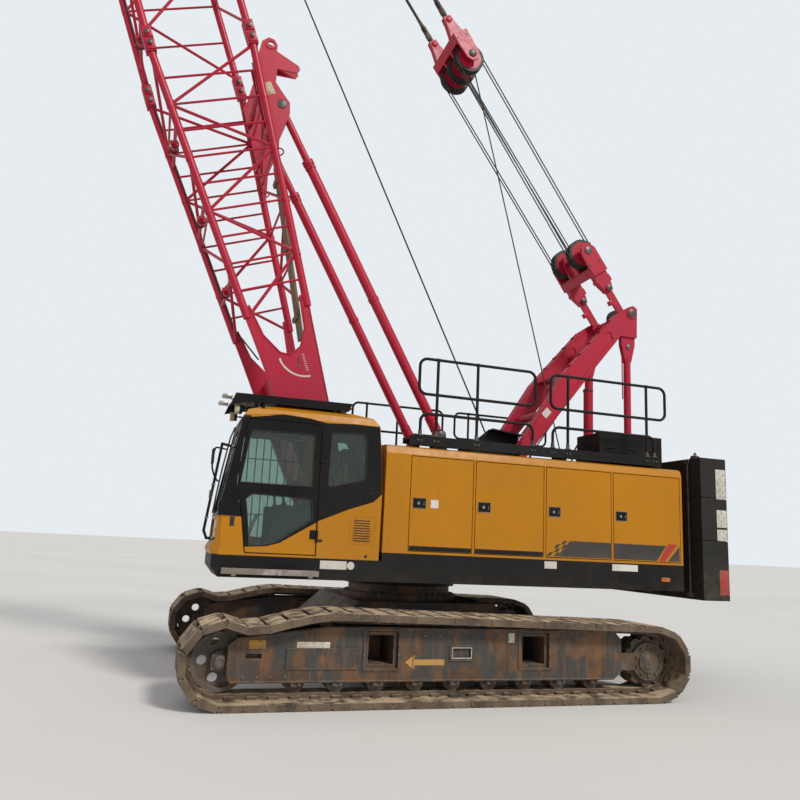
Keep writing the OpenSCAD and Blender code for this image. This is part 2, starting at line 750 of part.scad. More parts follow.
module cab_door_glass() {
  color(glass)
    for (outline = [door_window, door_window_low])
      side_plate(upper_y - pane_in - 4, upper_y - pane_in - 4 + pane_t) polygon(outline);
}

floor_z = cab_z + cab_t;
console_y = 300;

module cab_seat() {
  color(black) {
    block([1180, cab_mid - 180, floor_z], [1560, cab_mid + 180, 1640]);
    block([1120, cab_mid - 230, 1640], [1620, cab_mid + 230, 1760]);
    side_plate(cab_mid - 220, cab_mid + 220)
      polygon([[1140, 1760], [1250, 1760], [1150, 2380], [1060, 2380]]);
    side_plate(cab_mid - 120, cab_mid + 120)
      polygon([[1062, 2379], [1150, 2379], [1125, 2560], [1050, 2560]]);
  }
}

module cab_console() {
  color(black) {
    // side consoles with a lever each, and the front panel with the display
    for (k = [-1, 1]) {
      block([1250, cab_mid + k * console_y - 50, floor_z], [1900, cab_mid + k * console_y + 50, 1890]);
      bar([1780, cab_mid + k * console_y, 1889], [1800, cab_mid + k * console_y, 2010], 14);
      bar([1800, cab_mid + k * console_y, 2009], [1804, cab_mid + k * console_y, 2080], 24);
    }
    block([2150, cab_mid - 150, floor_z], [2300, cab_mid + 150, 1900]);
    block([2230, cab_mid - 130, 1899], [2260, cab_mid + 130, 2090]);
  }
}

// Floor frame under the cab, cut off at its lower front edge
module cab_frame() {
  color(black) side_plate(upper_y - cab_w, upper_y)
    polygon([[house_front + seat, skirt_z], [cab_front - 100, skirt_z], [cab_front - 20, skirt_z + 100],
             [cab_front - 20, cab_base], [house_front + seat, cab_base]]);
}

guard_z = 2960;
tube_r = 14;
tube_y = upper_y - 40;
// Feet of the guard plate: x, lower end on the roof, upper end in the plate
guard_feet = [[1250, 2929.7, 2976], [2090, 2904, 2984]];
// Grab tube corners (x, z) from the upper to the lower end
tube_path = [[2335.6, 2450], [2468, 2472], [2571, 1595], [2540, 1522], [2463, 1522]];

module cab_guard() {
  color(black) {
    // guard plate over the roof window, turned up along its sides, on four feet
    side_plate(cab_in + 60, upper_y - 60)
      polygon([[2370, guard_z + 30], [2370, guard_z + 22], [1120, guard_z + 12], [1120, guard_z + 20]]);
    for (y = [cab_in + 60, upper_y - 68])
      side_plate(y, y + 8)
        polygon([[2420, guard_z - 70], [2370, guard_z + 60], [1120, guard_z + 65],
                 [1155, guard_z - 20], [2200, guard_z - 20]]);
    for (p = guard_feet, y = [cab_in + 160, upper_y - 160])
      block([p[0] - 15, y - 15, p[1]], [p[0] + 15, y + 15, p[2]]);
    // grab tube in front of the near front pillar
    for (i = [0 : 3])
      bar([tube_path[i][0], tube_y, tube_path[i][1]], [tube_path[i + 1][0], tube_y, tube_path[i + 1][1]],
          tube_r);
    for (i = [1 : 3])
      translate([tube_path[i][0], tube_y, tube_path[i][1]]) sphere(r = tube_r + 1, $fn = 32);
  }
}

// Work lamps on the roof edge: x, y, z of the centre of the lens
cab_lamp_pos = [[2350, upper_y - 150, 2860], [2350, cab_in + 150, 2860]];
lamp_r = 48;
lamp_t = 60;

module cab_lamps() {
  color(steel) for (p = cab_lamp_pos) {
    translate([p[0] - lamp_t, p[1], p[2]]) rotate([0, 90, 0]) cylinder(h = lamp_t, r = lamp_r, $fn = fn);
    block([2225, p[1] - 20, p[2] - 5], [p[0] - lamp_t + 5, p[1] + 20, p[2] + 5]);
  }
}

module cab_step() {
  color(steel) {
    for (i = [0 : 4])
      block([1420, upper_y + seat + i * 32, 1190], [2375, upper_y + seat + i * 32 + 24, 1240]);
    for (x = [1500, 2260])
      block([x - 20, upper_y + seat, 1170], [x + 20, upper_y + 152, 1192]);
  }
}

// Walkways and rails
rail_y = upper_y - 60;
walk_z = house_top + seat;
walk_rear = -2830;
walk_front = 440;
beam_lo = 20;
beam_hi = 130;
air_box_x = [-3090, -2170];
air_box_h = 430;

module walkways() {
  both_sides() color(black) {
    // outer beam, inner beam and the tread plate between them
    block([walk_rear, upper_y - 90, walk_z + beam_lo], [walk_front, upper_y - 40, walk_z + beam_hi]);
    block([walk_rear, upper_y - 330, walk_z + 60], [walk_front, upper_y - 300, walk_z + beam_hi]);
    block([walk_rear, upper_y - 301, walk_z + 90], [walk_front, upper_y - 89, walk_z + 115]);
    for (x = [-2750 : 620 : 400])
      block([x - 30, upper_y - 330, walk_z], [x + 30, upper_y - 80, walk_z + 91]);
  }
  // air box on the tail of the left housing
  color(black) difference() {
    block([air_box_x[0], house_in + 40, walk_z], [air_box_x[1], upper_y - 345, walk_z + air_box_h]);
    block([air_box_x[0] - 1, house_in + 90, walk_z + air_box_h - 90],
          [air_box_x[0] + 30, upper_y - 395, walk_z + air_box_h - 40]);
  }
}

rail_r = 17;
rail_bend = 90;
rail_top = 3640;
rail_mid = 3230;
rail_low = 3005;
// Rail hoops: rear end, front end, inner posts
hoops = [[-1105, 360, [-357, 139]], [-2930, -1310, [-2655, -1544]]];
rail_foot = walk_z + beam_hi + seat;

// Quarter bend of a rail from angle a, centred on (x, z)
module rail_bend_at(x, z, a) {
  translate([x, rail_y, z]) rotate([0, -a, 0]) rotate([90, 0, 0])
    rotate_extrude(angle = 90, $fn = 48) translate([rail_bend, 0]) circle(r = rail_r, $fn = 24);
}

module rail_x(x0, x1, z) {
  bar([x0, rail_y, z], [x1, rail_y, z], rail_r, 24);
}

module rail_z(x, z0, z1) {
  bar([x, rail_y, z0], [x, rail_y, z1], rail_r, 24);
}

module handrails() {
  b = rail_bend;
  both_sides() color(black) for (h = hoops) {
    x0 = h[0];
    x1 = min(h[1], walk_front - 40);
    xr = max(h[0], walk_rear + 40);
    // closed upper hoop
    for (z = [rail_mid, rail_top]) rail_x(x0 + b, x1 - b, z);
    for (x = [x0, x1]) rail_z(x, rail_mid + b, rail_top - b);
    rail_bend_at(x1 - b, rail_top - b, 0);
    rail_bend_at(x0 + b, rail_top - b, 90);
    rail_bend_at(x0 + b, rail_mid + b, 180);
    rail_bend_at(x1 - b, rail_mid + b, 270);
    // lower bow standing on the beam
    rail_x(xr + 30 + b, x1 - 30 - b, rail_low);
    for (x = [xr + 30, x1 - 30]) rail_z(x, rail_foot, rail_low - b);
    rail_bend_at(x1 - 30 - b, rail_low - b, 0);
    rail_bend_at(xr + 30 + b, rail_low - b, 90);
    for (x = h[2]) rail_z(x, rail_foot, rail_top);
  }
}

// Gantry
gantry_foot_x = -1150;
gantry_foot_z = 2440;
gantry_y = 480;
gantry_hw = 60;
gantry_pin_r = 40;
head_x = -3156;
head_z = 4958;
head_pin_r = 45;
head_low = head_z - 358;
post_x = -3110;
post_r = 50;
cyl_x = -2777;
cyl_z = 3050;
cross_z = 4430;

module gantry() {
  fx = gantry_foot_x;
  fz = gantry_foot_z;
  hx = head_x;
  hz = head_z;
  color(red) {
    for (s = [-1, 1])
      difference() {
        union() {
          // leg with the head plate on its upper end
          side_plate(s * gantry_y - gantry_hw, s * gantry_y + gantry_hw)
            polygon([[fx, fz - 110], [fx - 95, fz - 60], [fx - 454, fz + 439], [hx + 606, hz - 878],
                     [hx + 180, head_low], [hx - 84, head_low], [hx - 94, hz + 82], [hx - 30, hz + 117],
                     [hx + 40, hz + 91], [hx + 249, hz - 54], [hx + 1078, hz - 991],
                     [fx - 263, fz + 463], [fx + 100, fz - 20]]);
          // doubling plates on the lower leg
          side_plate(s * gantry_y - gantry_hw - 8, s * gantry_y + gantry_hw + 8)
            polygon([[fx - 450, fz + 500], [fx - 510, fz + 580], [fx - 930, fz + 1100], [fx - 800, fz + 1220],
                     [fx - 390, fz + 640]]);
          cross_cyl(head_x, s * gantry_y - gantry_hw - 12, s * gantry_y + gantry_hw + 12, head_z, 85);
        }
        cross_cyl(gantry_foot_x, s * gantry_y - 80, s * gantry_y + 80, gantry_foot_z,
                  gantry_pin_r + bore_gap);
        // sunk web on both faces of the upper leg
        for (k = [-1, 1])
          side_plate(s * gantry_y + k * gantry_hw - 12, s * gantry_y + k * gantry_hw + 12)
            polygon([[hx + 956, hz - 1258], [hx + 916, hz - 1188], [hx + 306, hz - 428], [hx + 356, hz - 318],
                     [hx + 456, hz - 358], [hx + 1026, hz - 998], [hx + 1181, hz - 1258]]);
      }
    // cross tubes and the flat brace between the legs
    for (p = [[cyl_x, cross_z, 70], [-1880, 3400, 60]])
      bar([p[0], -gantry_y + gantry_hw - 1, p[1]], [p[0], gantry_y - gantry_hw + 1, p[1]], p[2]);
    block([-2330, -gantry_y + gantry_hw - 1, 3990], [-2150, gantry_y - gantry_hw + 1, 4010]);
    // head axle
    bar([head_x, -gantry_y, head_z], [head_x, gantry_y, head_z], head_pin_r);
  }
}

module gantry_backstays() {
  color(red) for (s = [-1, 1]) {
    bar([post_x, s * gantry_y, rear_deck_z + seat], [post_x, s * gantry_y, 4300], post_r);
    // flared lug under the head plate and the foot plate
    side_plate(s * gantry_y - 35, s * gantry_y + 35)
      polygon([[post_x - post_r + 4, 4230], [post_x + post_r - 4, 4230],
               [post_x + 110, head_low - 110], [post_x + 110, head_low - seat],
               [post_x - 110, head_low - seat], [post_x - 110, head_low - 110]]);
    block([post_x - 75, s * gantry_y - 75, rear_deck_z + seat],
          [post_x + 75, s * gantry_y + 75, rear_deck_z + 30]);
  }
}

module gantry_cylinder() {
  color(red) {
    block([cyl_x - 105, -70, cyl_z + seat], [cyl_x + 105, 70, cyl_z + 40]);
    bar([cyl_x, 0, cyl_z + 39], [cyl_x, 0, 3900], 65);
    bar([cyl_x, 0, 3899], [cyl_x, 0, cross_z - 70 - seat], 40);
  }
}

line_angle = 54.8;
link_y = 340;
link_len = 520;
bail_u = 820;
luff_sheave_r = 195;
luff_pin_r = 40;
bail_sheave_y = [-250, -190, 190, 250];

// Local frame on the luffing line from the gantry head
module line_frame() {
  translate([head_x, 0, head_z]) rotate([0, -line_angle, 0]) children();
}

// Sheave axle with its sheaves at u
module luff_sheaves(u, ys) {
  bar([u, -link_y - 70, 0], [u, link_y + 70, 0], luff_pin_r);
  for (y = ys) cross_cyl(u, y - 24, y + 24, 0, luff_sheave_r);
}

module bail() {
  line_frame() color(red) {
    // side links from the head axle to the bail legs
    for (s = [-1, 1])
      difference() {
        union() {
          side_plate(s * link_y - 18, s * link_y + 18)
            polygon([[0, -55], [link_len, -55], [link_len, 55], [0, 55]]);
          cross_cyl(0, s * link_y - 30, s * link_y + 30, 0, 80);
        }
        cross_cyl(0, s * link_y - 40, s * link_y + 40, 0, head_pin_r + bore_gap);
      }
    // yoke: two legs joined by the cross box, sheave cheeks ahead of it
    for (s = [-1, 1]) {
      side_plate(s * link_y - 45, s * link_y + 45)
        polygon([[link_len - 90, -60], [link_len + 60, -110], [bail_u + 20, -130], [bail_u + 20, 130],
                 [link_len + 60, 110], [link_len - 90, 60]]);
      cross_cyl(link_len - 40, s * link_y - 70, s * link_y + 70, 0, 34);
    }
    block([bail_u - 90, -link_y - 80, -130], [bail_u + 30, link_y + 80, 130]);
    for (y = [-link_y - 60, -110, 110, link_y + 60])
      side_plate(y - 18, y + 18)
        polygon([[bail_u + 29, -130], [bail_u + 280, -130], [bail_u + 390, -60], [bail_u + 390, 60],
                 [bail_u + 280, 130], [bail_u + 29, 130]]);
    luff_sheaves(bail_u + 280, bail_sheave_y);
  }
}

// Boom
module boom_frame() {
  translate([foot_x, 0, foot_z]) rotate([0, -boom_angle, 0]) children();
}

// Lacing of one lattice section: stations are [u, half depth, half width]
module lattice(stations) {
  n = len(stations) - 1;
  for (s = [-1, 1], t = [-1, 1])
    bar([stations[0][0], s * stations[0][2], t * stations[0][1]],
        [stations[n][0], s * stations[n][2], t * stations[n][1]], chord_r, 16, 45);
  for (i = [0 : n - 1]) {
    a = stations[i];
    b = stations[i + 1];
    k = i % 2 == 0 ? 1 : -1;
    for (s = [-1, 1]) {
      // side faces
      bar([a[0], s * a[2], -s * k * a[1]], [b[0], s * b[2], s * k * b[1]], lace_r, fn_lace);
      // front and rear faces, staggered against the side faces
      bar([a[0], s * k * a[2], s * a[1]], [b[0], -s * k * b[2], s * b[1]], lace_r, fn_lace);
    }
  }
}

function stations(u0, u1, d0, d1, w0, w1, n) =
  [for (i = [0 : n]) let (f = i / n) [u0 + (u1 - u0) * f, d0 + (d1 - d0) * f, w0 + (w1 - w0) * f]];

insert_u = foot_len + insert_len;
boom_len = foot_len + insert_len + top_len;
conn_r = 62;
conn_len = 160;
conn_pin_r = 32;

// Section lugs at u with a cross pin each, on the side dir of the joint
module connectors(u, dir) {
  for (s = [-1, 1], t = [-1, 1])
    translate([u, s * chord_off, t * chord_off]) {
      block([dir > 0 ? 0 : -conn_len, -conn_r, -conn_r], [dir > 0 ? conn_len : 0, conn_r, conn_r]);
      cross_cyl(dir * 70, -conn_r - 28, conn_r + 28, 0, conn_pin_r);
    }
}

// Cross bar in the front face at u with the rope roller in its middle
roller_y = 75;

module rope_roller(u, w) {
  bar([u, -chord_off, w], [u, chord_off, w], 22, 16);
  bar([u, -roller_y, w], [u, roller_y, w], 45, 24);
}

cheek_t = 40;
cheek_len = 2750;
cheek_w = 385;
// Bottom of the fork between the chord arms, ends of the arms, start of the lacing
fork_u = cheek_len - 390;
arm_len = cheek_len + 300;
foot_lace_u = cheek_len + 150;
foot_depth = 375;

module boom_foot() {
  boom_frame() color(red) {
    difference() {
      union() {
        // side cheeks, forked where they take over the chords
        for (s = [-1, 1])
          side_plate(s * boss_y - cheek_t / 2, s * boss_y + cheek_t / 2)
            polygon([[0, boss_r], [-100, 110], [-boss_r, 0], [-100, -110], [0, -boss_r],
                     [cheek_len, -cheek_w], [arm_len, -cheek_w - 30], [arm_len, -cheek_w + 75],
                     [fork_u + 300, -240], [fork_u + 60, -105], [fork_u, 0], [fork_u + 80, 150],
                     [fork_u + 280, 255],
                     [arm_len, cheek_w - 75], [arm_len, cheek_w + 30], [cheek_len, cheek_w]]);
        for (s = [-1, 1])
          cross_cyl(0, s * boss_y - boss_hw, s * boss_y + boss_hw, 0, boss_r);
        // plates across the foot
        for (t = [-1, 1])
          block([900, -boss_y, t > 0 ? 150 : -190], [fork_u - 110, boss_y, t > 0 ? 190 : -150]);
        lattice(stations(foot_lace_u, foot_len - conn_len + 10, foot_depth, chord_off, boss_y,
                         chord_off, 5));
        connectors(foot_len - seat, -1);
      }
      for (s = [-1, 1])
        cross_cyl(0, s * boss_y - boss_hw - 1, s * boss_y + boss_hw + 1, 0, pin_r + bore_gap);
    }
    // backstop brackets behind the rear chords, each with a ring eye and a guide beak
    for (s = [-1, 1], k = [-1, 1])
      difference() {
        side_plate(s * stop_y + k * 64 - 12, s * stop_y + k * 64 + 12) bracket_outline();
        cross_cyl(stop_u, s * stop_y - 80, s * stop_y + 80, stop_w, 40);
        cross_cyl(stop_u + 820, s * stop_y - 80, s * stop_y + 80, 880, 42);
      }
    bar([stop_u - 300, -chord_off, 545], [stop_u - 300, chord_off, 545], 40, 16);
    bar([stop_u + 300, -chord_off, 590], [stop_u + 300, chord_off, 590], 40, 16);
    for (p = [[3430, -428], [4400, -495], [5440, -568]]) rope_roller(p[0], p[1]);
  }
}

module bracket_outline() {
  polygon([[stop_u - 850, 500], [stop_u - 450, 640], [stop_u - 150, 860], [stop_u, 905],
           [stop_u + 150, 850],
           [stop_u + 300, 800], [stop_u + 480, 870], [stop_u + 400, 1115], [stop_u + 440, 1165],
           [stop_u + 490, 1160], [stop_u + 720, 930], [stop_u + 800, 965], [stop_u + 880, 945],
           [stop_u + 920, 880], [stop_u + 880, 780], [stop_u + 640, 640], [stop_u + 560, 560],
           [stop_u + 300, 540]]);
}

module boom_insert() {
  boom_frame() color(red) {
    lattice(stations(foot_len + conn_len - 10, insert_u - conn_len + 10, chord_off, chord_off,
                     chord_off, chord_off, 5));
    connectors(foot_len, 1);
    connectors(insert_u - seat, -1);
    for (u = [foot_len + 400, foot_len + 3400]) rope_roller(u, -chord_off);
  }
}

head_u = boom_len - 120;
head_w = 500;
sheave_r = 280;
side_sheave_r = 150;
sheave_pin_r = 50;
sheave_y = [-240, -120, 0, 120, 240];
sheave_hw = 61;
top_depth = 300;
top_width = 400;
head_plate_t = 40;
pend_u = boom_len - 260;
pend_w = 320;
jib_u = boom_len - 700;
jib_r = 30;
guide_u = boom_len - 400;
guide_w = 262;
guide_r = 180;
guide_pin_r = 35;

module boom_top() {
  boom_frame() color(red) {
    lattice(stations(insert_u + conn_len - 10, boom_len - 1100, chord_off, top_depth, chord_off,
                     top_width, 5));
    connectors(insert_u, 1);
    difference() {
      for (s = [-1, 1])
        side_plate(s * top_width - head_plate_t / 2, s * top_width + head_plate_t / 2)
          polygon([[boom_len - 1300, -320], [boom_len - 1300, 330], [boom_len - 500, 420],
                   [boom_len - 120, 430], [boom_len - 90, 250], [boom_len + 20, -420],
                   [boom_len - 20, -560], [boom_len - 120, -600], [boom_len - 240, -570],
                   [boom_len - 500, -400]]);
      // bores for the pendants and for a jib
      cross_cyl(pend_u, -500, 500, pend_w, 30);
      cross_cyl(jib_u, -500, 500, 0, jib_r);
    }
    // axles of the head sheaves and of the guide sheave, cross tubes
    bar([head_u, -top_width - 21, -head_w], [head_u, top_width + 21, -head_w], sheave_pin_r);
    bar([guide_u, -top_width + 19, guide_w], [guide_u, top_width - 19, guide_w], guide_pin_r);
    bar([boom_len - 1000, -top_width + 19, 250], [boom_len - 1000, top_width - 19, 250], 40, 16);
    bar([boom_len - 1000, -top_width + 19, -190], [boom_len - 1000, top_width - 19, -190], 40, 16);
  }
}

module head_sheaves() {
  boom_frame() color(black) difference() {
    for (y = sheave_y)
      cross_cyl(head_u, y - sheave_hw, y + sheave_hw, -head_w,
                abs(y) == sheave_y[3] ? sheave_r : side_sheave_r);
    cross_cyl(head_u, -400, 400, -head_w, sheave_pin_r + bore_gap);
  }
}

module guide_sheave() {
  boom_frame() color(black) difference() {
    union() {
      cross_cyl(guide_u, -30, 30, guide_w, guide_r);
      cross_cyl(guide_u, -70, 70, guide_w, 70);
    }
    cross_cyl(guide_u, -80, 80, guide_w, guide_pin_r + bore_gap);
  }
}

pend_y = 290;
pend_r = 22;
spread_d = 5020;
prong = 60;
spread_sheave_y = [-290, -230, -30, 30, 230, 290];

module upper_spreader() {
  line_frame() color(red) {
    // cross box with its sheave cheeks and the two pendant prongs
    block([spread_d - 380, -link_y - 80, -120], [spread_d - 250, link_y + 80, 120]);
    for (y = [-link_y - 60, -130, 130, link_y + 60])
      side_plate(y - 18, y + 18)
        polygon([[spread_d - 379, -120], [spread_d - 640, -110], [spread_d - 720, -50],
                 [spread_d - 720, 50], [spread_d - 640, 110], [spread_d - 379, 120]]);
    for (s = [-1, 1])
      side_plate(s * pend_y - 45, s * pend_y + 45)
        polygon([[spread_d - 251, -120], [spread_d - 60, -70], [spread_d + prong, -60],
                 [spread_d + prong, 60], [spread_d - 60, 70], [spread_d - 251, 120]]);
    luff_sheaves(spread_d - 620, spread_sheave_y);
  }
}

// Point (u along the boom, w behind its axis) in the machine's side view
function boom_point(u, w) =
  [foot_x + u * cos(boom_angle) - w * sin(boom_angle), foot_z + u * sin(boom_angle) + w * cos(boom_angle)];

module pendants() {
  start = spread_d + prong + 2 * seat;
  a = [head_x + start * cos(line_angle), head_z + start * sin(line_angle)];
  b = boom_point(pend_u, pend_w);
  d = (b - a) / norm(b - a);
  color(steel) for (s = [-1, 1]) {
    bar([a[0], s * pend_y, a[1]], [b[0], s * pend_y, b[1]], pend_r, 24);
    // poured socket at the spreader
    bar([a[0], s * pend_y, a[1]], [a[0] + d[0] * 260, s * pend_y, a[1] + d[1] * 260], pend_r + 16, 24);
    bar([b[0], s * (pend_y - 60), b[1]], [b[0], s * (top_width - head_plate_t / 2 - seat), b[1]], 40);
  }
}

// Backstops
stop_y = 500;
stop_u = 5550;
stop_w = 800;
stop_foot = [-280, 2930];
stop_tube_len = 3900;
stop_rod_len = 2500;
stop_tube_r = 62;
stop_bore_r = 46;
stop_pin_r = 35;
stop_head = boom_point(stop_u, stop_w);
stop_dir = stop_head - stop_foot;
stop_len = norm(stop_dir);
stop_angle = atan2(stop_dir[1], stop_dir[0]);

module stop_frame() {
  translate([stop_foot[0], 0, stop_foot[1]]) rotate([0, -stop_angle, 0]) children();
}

module backstop_tubes() {
  stop_frame() color(red) for (s = [-1, 1]) difference() {
    union() {
      bar([0, s * stop_y, 0], [stop_tube_len, s * stop_y, 0], stop_tube_r);
      bar([stop_tube_len - 60, s * stop_y, 0], [stop_tube_len, s * stop_y, 0], stop_tube_r + 12);
      cross_cyl(0, s * stop_y - 64, s * stop_y + 64, 0, 75);
    }
    cross_cyl(0, s * stop_y - 65, s * stop_y + 65, 0, stop_pin_r + bore_gap);
    bar([200, s * stop_y, 0], [stop_tube_len + 1, s * stop_y, 0], stop_bore_r);
  }
}

module backstop_rods() {
  stop_frame() color(steel) for (s = [-1, 1]) {
    bar([stop_len - stop_rod_len, s * stop_y, 0], [stop_len, s * stop_y, 0], stop_bore_r - seat);
    cross_cyl(stop_len, s * stop_y - 38, s * stop_y + 38, 0, 60);
  }
}

// Hoist line and hook block
fall_len = 3000;
fall_r = 11;
sheave_clear = 5;
fall_off = sheave_r + sheave_clear + fall_r;
fall_y = 120;
sheave_point = boom_point(head_u, -head_w);
hook_x = sheave_point[0];
hook_z = sheave_point[1] - fall_len;
hook_r = 120;
hook_rod_r = 45;
block_y = 200;
block_sheave_r = fall_off - fall_r - seat;

module hoist_falls() {
  color(steel) for (y = [-fall_y, fall_y], k = [-1, 1]) {
    x = hook_x + k * fall_off;
    bar([x, y, hook_z - 200], [x, y, sheave_point[1]], fall_r, 16);
  }
}

module hook_block() {
  color(yellow) {
    for (k = [-1, 1])
      side_plate(k * block_y - 20, k * block_y + 20)
        translate([hook_x, hook_z])
          polygon([[-200, -560], [200, -560], [330, -200], [250, 40], [-250, 40], [-330, -200]]);
    block([hook_x - 150, -block_y + 19, hook_z - 560], [hook_x + 150, block_y - 19, hook_z - 500]);
  }
  color(steel) {
    cross_cyl(hook_x, -block_y - 40, block_y + 40, hook_z - 200, 40);
    for (y = [-fall_y, fall_y])
      cross_cyl(hook_x, y - 30, y + 30, hook_z - 200, block_sheave_r);
    translate([hook_x, 0, hook_z - 840]) cylinder(h = 281, r = hook_rod_r, $fn = 32);
    translate([hook_x, 0, hook_z - 1000]) rotate([90, 0, 0]) rotate([0, 0, 90])
      rotate_extrude(angle = 270, $fn = 48) translate([hook_r, 0]) circle(r = hook_rod_r, $fn = 24);
  }
}

carbody();
track_frames();
track(1);  // track_left
track(-1);  // track_right
idlers();
sprockets();
track_rollers();
turntable();
counterweight();
engine();
left_house();
right_house();
left_door(0);  // left_door_1
left_door(1);  // left_door_2
left_door(2);  // left_door_3
left_door(3);  // left_door_4
right_door(0);  // right_door_1
right_door(1);  // right_door_2
right_door(2);  // right_door_3
cab_shell();
cab_glass();
cab_door();
cab_door_glass();
cab_seat();
cab_console();
cab_frame();
cab_guard();
cab_lamps();
cab_step();
walkways();
handrails();
gantry();
gantry_backstays();
gantry_cylinder();
bail();
drum(0);  // main_drum
drum(1);  // aux_drum
drum(2);  // luff_drum
winch_guard();
boom_foot();
boom_insert();
boom_top();
head_sheaves();
guide_sheave();
pendants();
upper_spreader();
backstop_tubes();
backstop_rods();
hoist_falls();
hook_block();
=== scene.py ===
"""Dresses a lattice-boom crawler crane over its fixed frame: paint, glass, tracks, ropes and trim."""

import json
import logging
import math
from collections.abc import Iterable
from dataclasses import dataclass, replace
from enum import Enum

import bmesh
import bpy
from mathutils import Matrix, Vector

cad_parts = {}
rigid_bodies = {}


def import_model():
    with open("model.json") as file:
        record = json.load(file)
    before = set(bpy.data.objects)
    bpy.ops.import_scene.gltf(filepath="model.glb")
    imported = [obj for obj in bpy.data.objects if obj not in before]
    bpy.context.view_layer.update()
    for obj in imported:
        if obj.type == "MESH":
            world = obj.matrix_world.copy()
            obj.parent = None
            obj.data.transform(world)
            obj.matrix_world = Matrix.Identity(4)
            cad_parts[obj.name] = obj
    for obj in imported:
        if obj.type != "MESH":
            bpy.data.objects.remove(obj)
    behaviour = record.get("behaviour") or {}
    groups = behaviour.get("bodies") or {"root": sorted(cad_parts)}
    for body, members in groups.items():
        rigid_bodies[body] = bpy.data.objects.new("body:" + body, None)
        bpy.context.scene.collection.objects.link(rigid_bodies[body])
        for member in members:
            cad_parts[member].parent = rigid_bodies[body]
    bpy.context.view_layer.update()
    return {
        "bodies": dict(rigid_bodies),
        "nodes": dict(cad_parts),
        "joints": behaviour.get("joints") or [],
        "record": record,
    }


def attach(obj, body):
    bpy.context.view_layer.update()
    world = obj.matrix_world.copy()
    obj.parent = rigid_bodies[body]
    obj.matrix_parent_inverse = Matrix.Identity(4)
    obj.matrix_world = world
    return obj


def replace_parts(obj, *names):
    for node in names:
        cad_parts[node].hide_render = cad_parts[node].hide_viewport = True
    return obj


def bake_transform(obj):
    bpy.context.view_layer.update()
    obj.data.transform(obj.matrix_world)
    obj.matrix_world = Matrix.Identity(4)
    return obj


log = logging.getLogger("crawler_crane")

Colour = tuple[float, float, float]
Point = tuple[float, float, float]
Pair = tuple[float, float]


class Side(Enum):
    """The two sides of the machine, as the sign of their y."""

    LEFT = 1
    RIGHT = -1


class Axis(Enum):
    """Directions a round piece can lie along."""

    X = (1.0, 0.0, 0.0)
    Y = (0.0, 1.0, 0.0)
    Z = (0.0, 0.0, 1.0)


# Places shared by several sub-assemblies, in metres
SIDE_Y = 1.58
TRACK_Y = 1.77
FOOT = (0.9, 1.5)
BOOM_ANGLE = math.radians(70)
HEAD = (-3.156, 4.958)
LINE_ANGLE = math.radians(54.8)
STOP_FOOT = (-0.28, 2.93)
STOP_LEAN = math.atan2(0.86759045, 0.49727942)
HOUSE_ROOF = 2.619
CAB_MID = 1.17
WINCHES = {"main_drum": (-1.70, 1.56), "aux_drum": (-0.85, 1.56), "luff_drum": (-2.48, 1.56)}
HOOK = (7.827187, 16.070387)
HOOK_SHEAVE_DROP = 0.2

# Places on the boom, along its axis and behind it
SECTIONS = ((2.9, 6.35), (6.65, 12.35), (12.65, 17.9))
JOINTS = (6.5, 12.5)
TOP_TAPER = 12.66
CHORD = 0.63
HEAD_SHEAVE = (18.88, -0.50)
GUIDE_SHEAVE = (18.60, 0.262)
PENDANT_PIN = (18.74, 0.32)

# Places on the luffing line, along it from the gantry head
BAIL_AXLE = 1.10
SPREADER_AXLE = 4.40
PENDANT_LINK = 5.0806

# Places across the machine
SHEAVE_Y = 0.12
PENDANT_Y = 0.29
AXLE_NUT_Y = 0.4185


def side_frame(origin: Pair, angle: float) -> Matrix:
    """Gives the matrix of a local frame (u along a member, y, w behind it) in side view.

    Args:
        origin: x and z of the frame's origin.
        angle: the member's angle above the horizontal, in radians.

    Returns:
        The matrix that takes local points to the machine's frame.
    """
    turn = Matrix.Rotation(-angle, 4, "Y")
    return Matrix.Translation((origin[0], 0.0, origin[1])) @ turn


BOOM = side_frame(FOOT, BOOM_ANGLE)
LINE = side_frame(HEAD, LINE_ANGLE)


def on_boom(u: float, y: float, w: float) -> Vector:
    """Gives the machine point at u along the boom, y across it and w behind its axis."""
    return BOOM @ Vector((u, y, w))


def on_line(u: float, y: float, w: float) -> Vector:
    """Gives the machine point at u along the luffing line from the gantry head."""
    return LINE @ Vector((u, y, w))


def at_y(y: float, outline: Iterable[Pair]) -> list[Point]:
    """Gives the corners (x, z) of an outline in side view as points at one y."""
    return [(x, y, z) for x, z in outline]


def arc_points(centre: Pair, radius: float, y: float, first: float, last: float,
               steps: int = 16) -> list[Point]:
    """Gives points round an arc in side view.

    Args:
        centre: its centre.
        radius: its radius.
        y: place across the machine.
        first: first angle in degrees.
        last: last angle in degrees.
        steps: number of steps.

    Returns:
        The points.
    """
    angles = [math.radians(first + (last - first) * i / steps) for i in range(steps + 1)]
    return [(centre[0] + radius * math.cos(a), y, centre[1] + radius * math.sin(a)) for a in angles]


def circle(centre: Pair, radius: float, y: float, count: int, start: float = 0.0) -> list[Point]:
    """Gives points spread evenly round a circle in side view.

    Args:
        centre: its centre.
        radius: its radius.
        y: place across the machine.
        count: number of points.
        start: place of the first point, in steps round from the front.

    Returns:
        The points.
    """
    angles = [math.tau * (i + start) / count for i in range(count)]
    return [(centre[0] + radius * math.cos(a), y, centre[1] + radius * math.sin(a)) for a in angles]


# Finishes

Socket = bpy.types.NodeSocket
Value = float | Colour | Socket


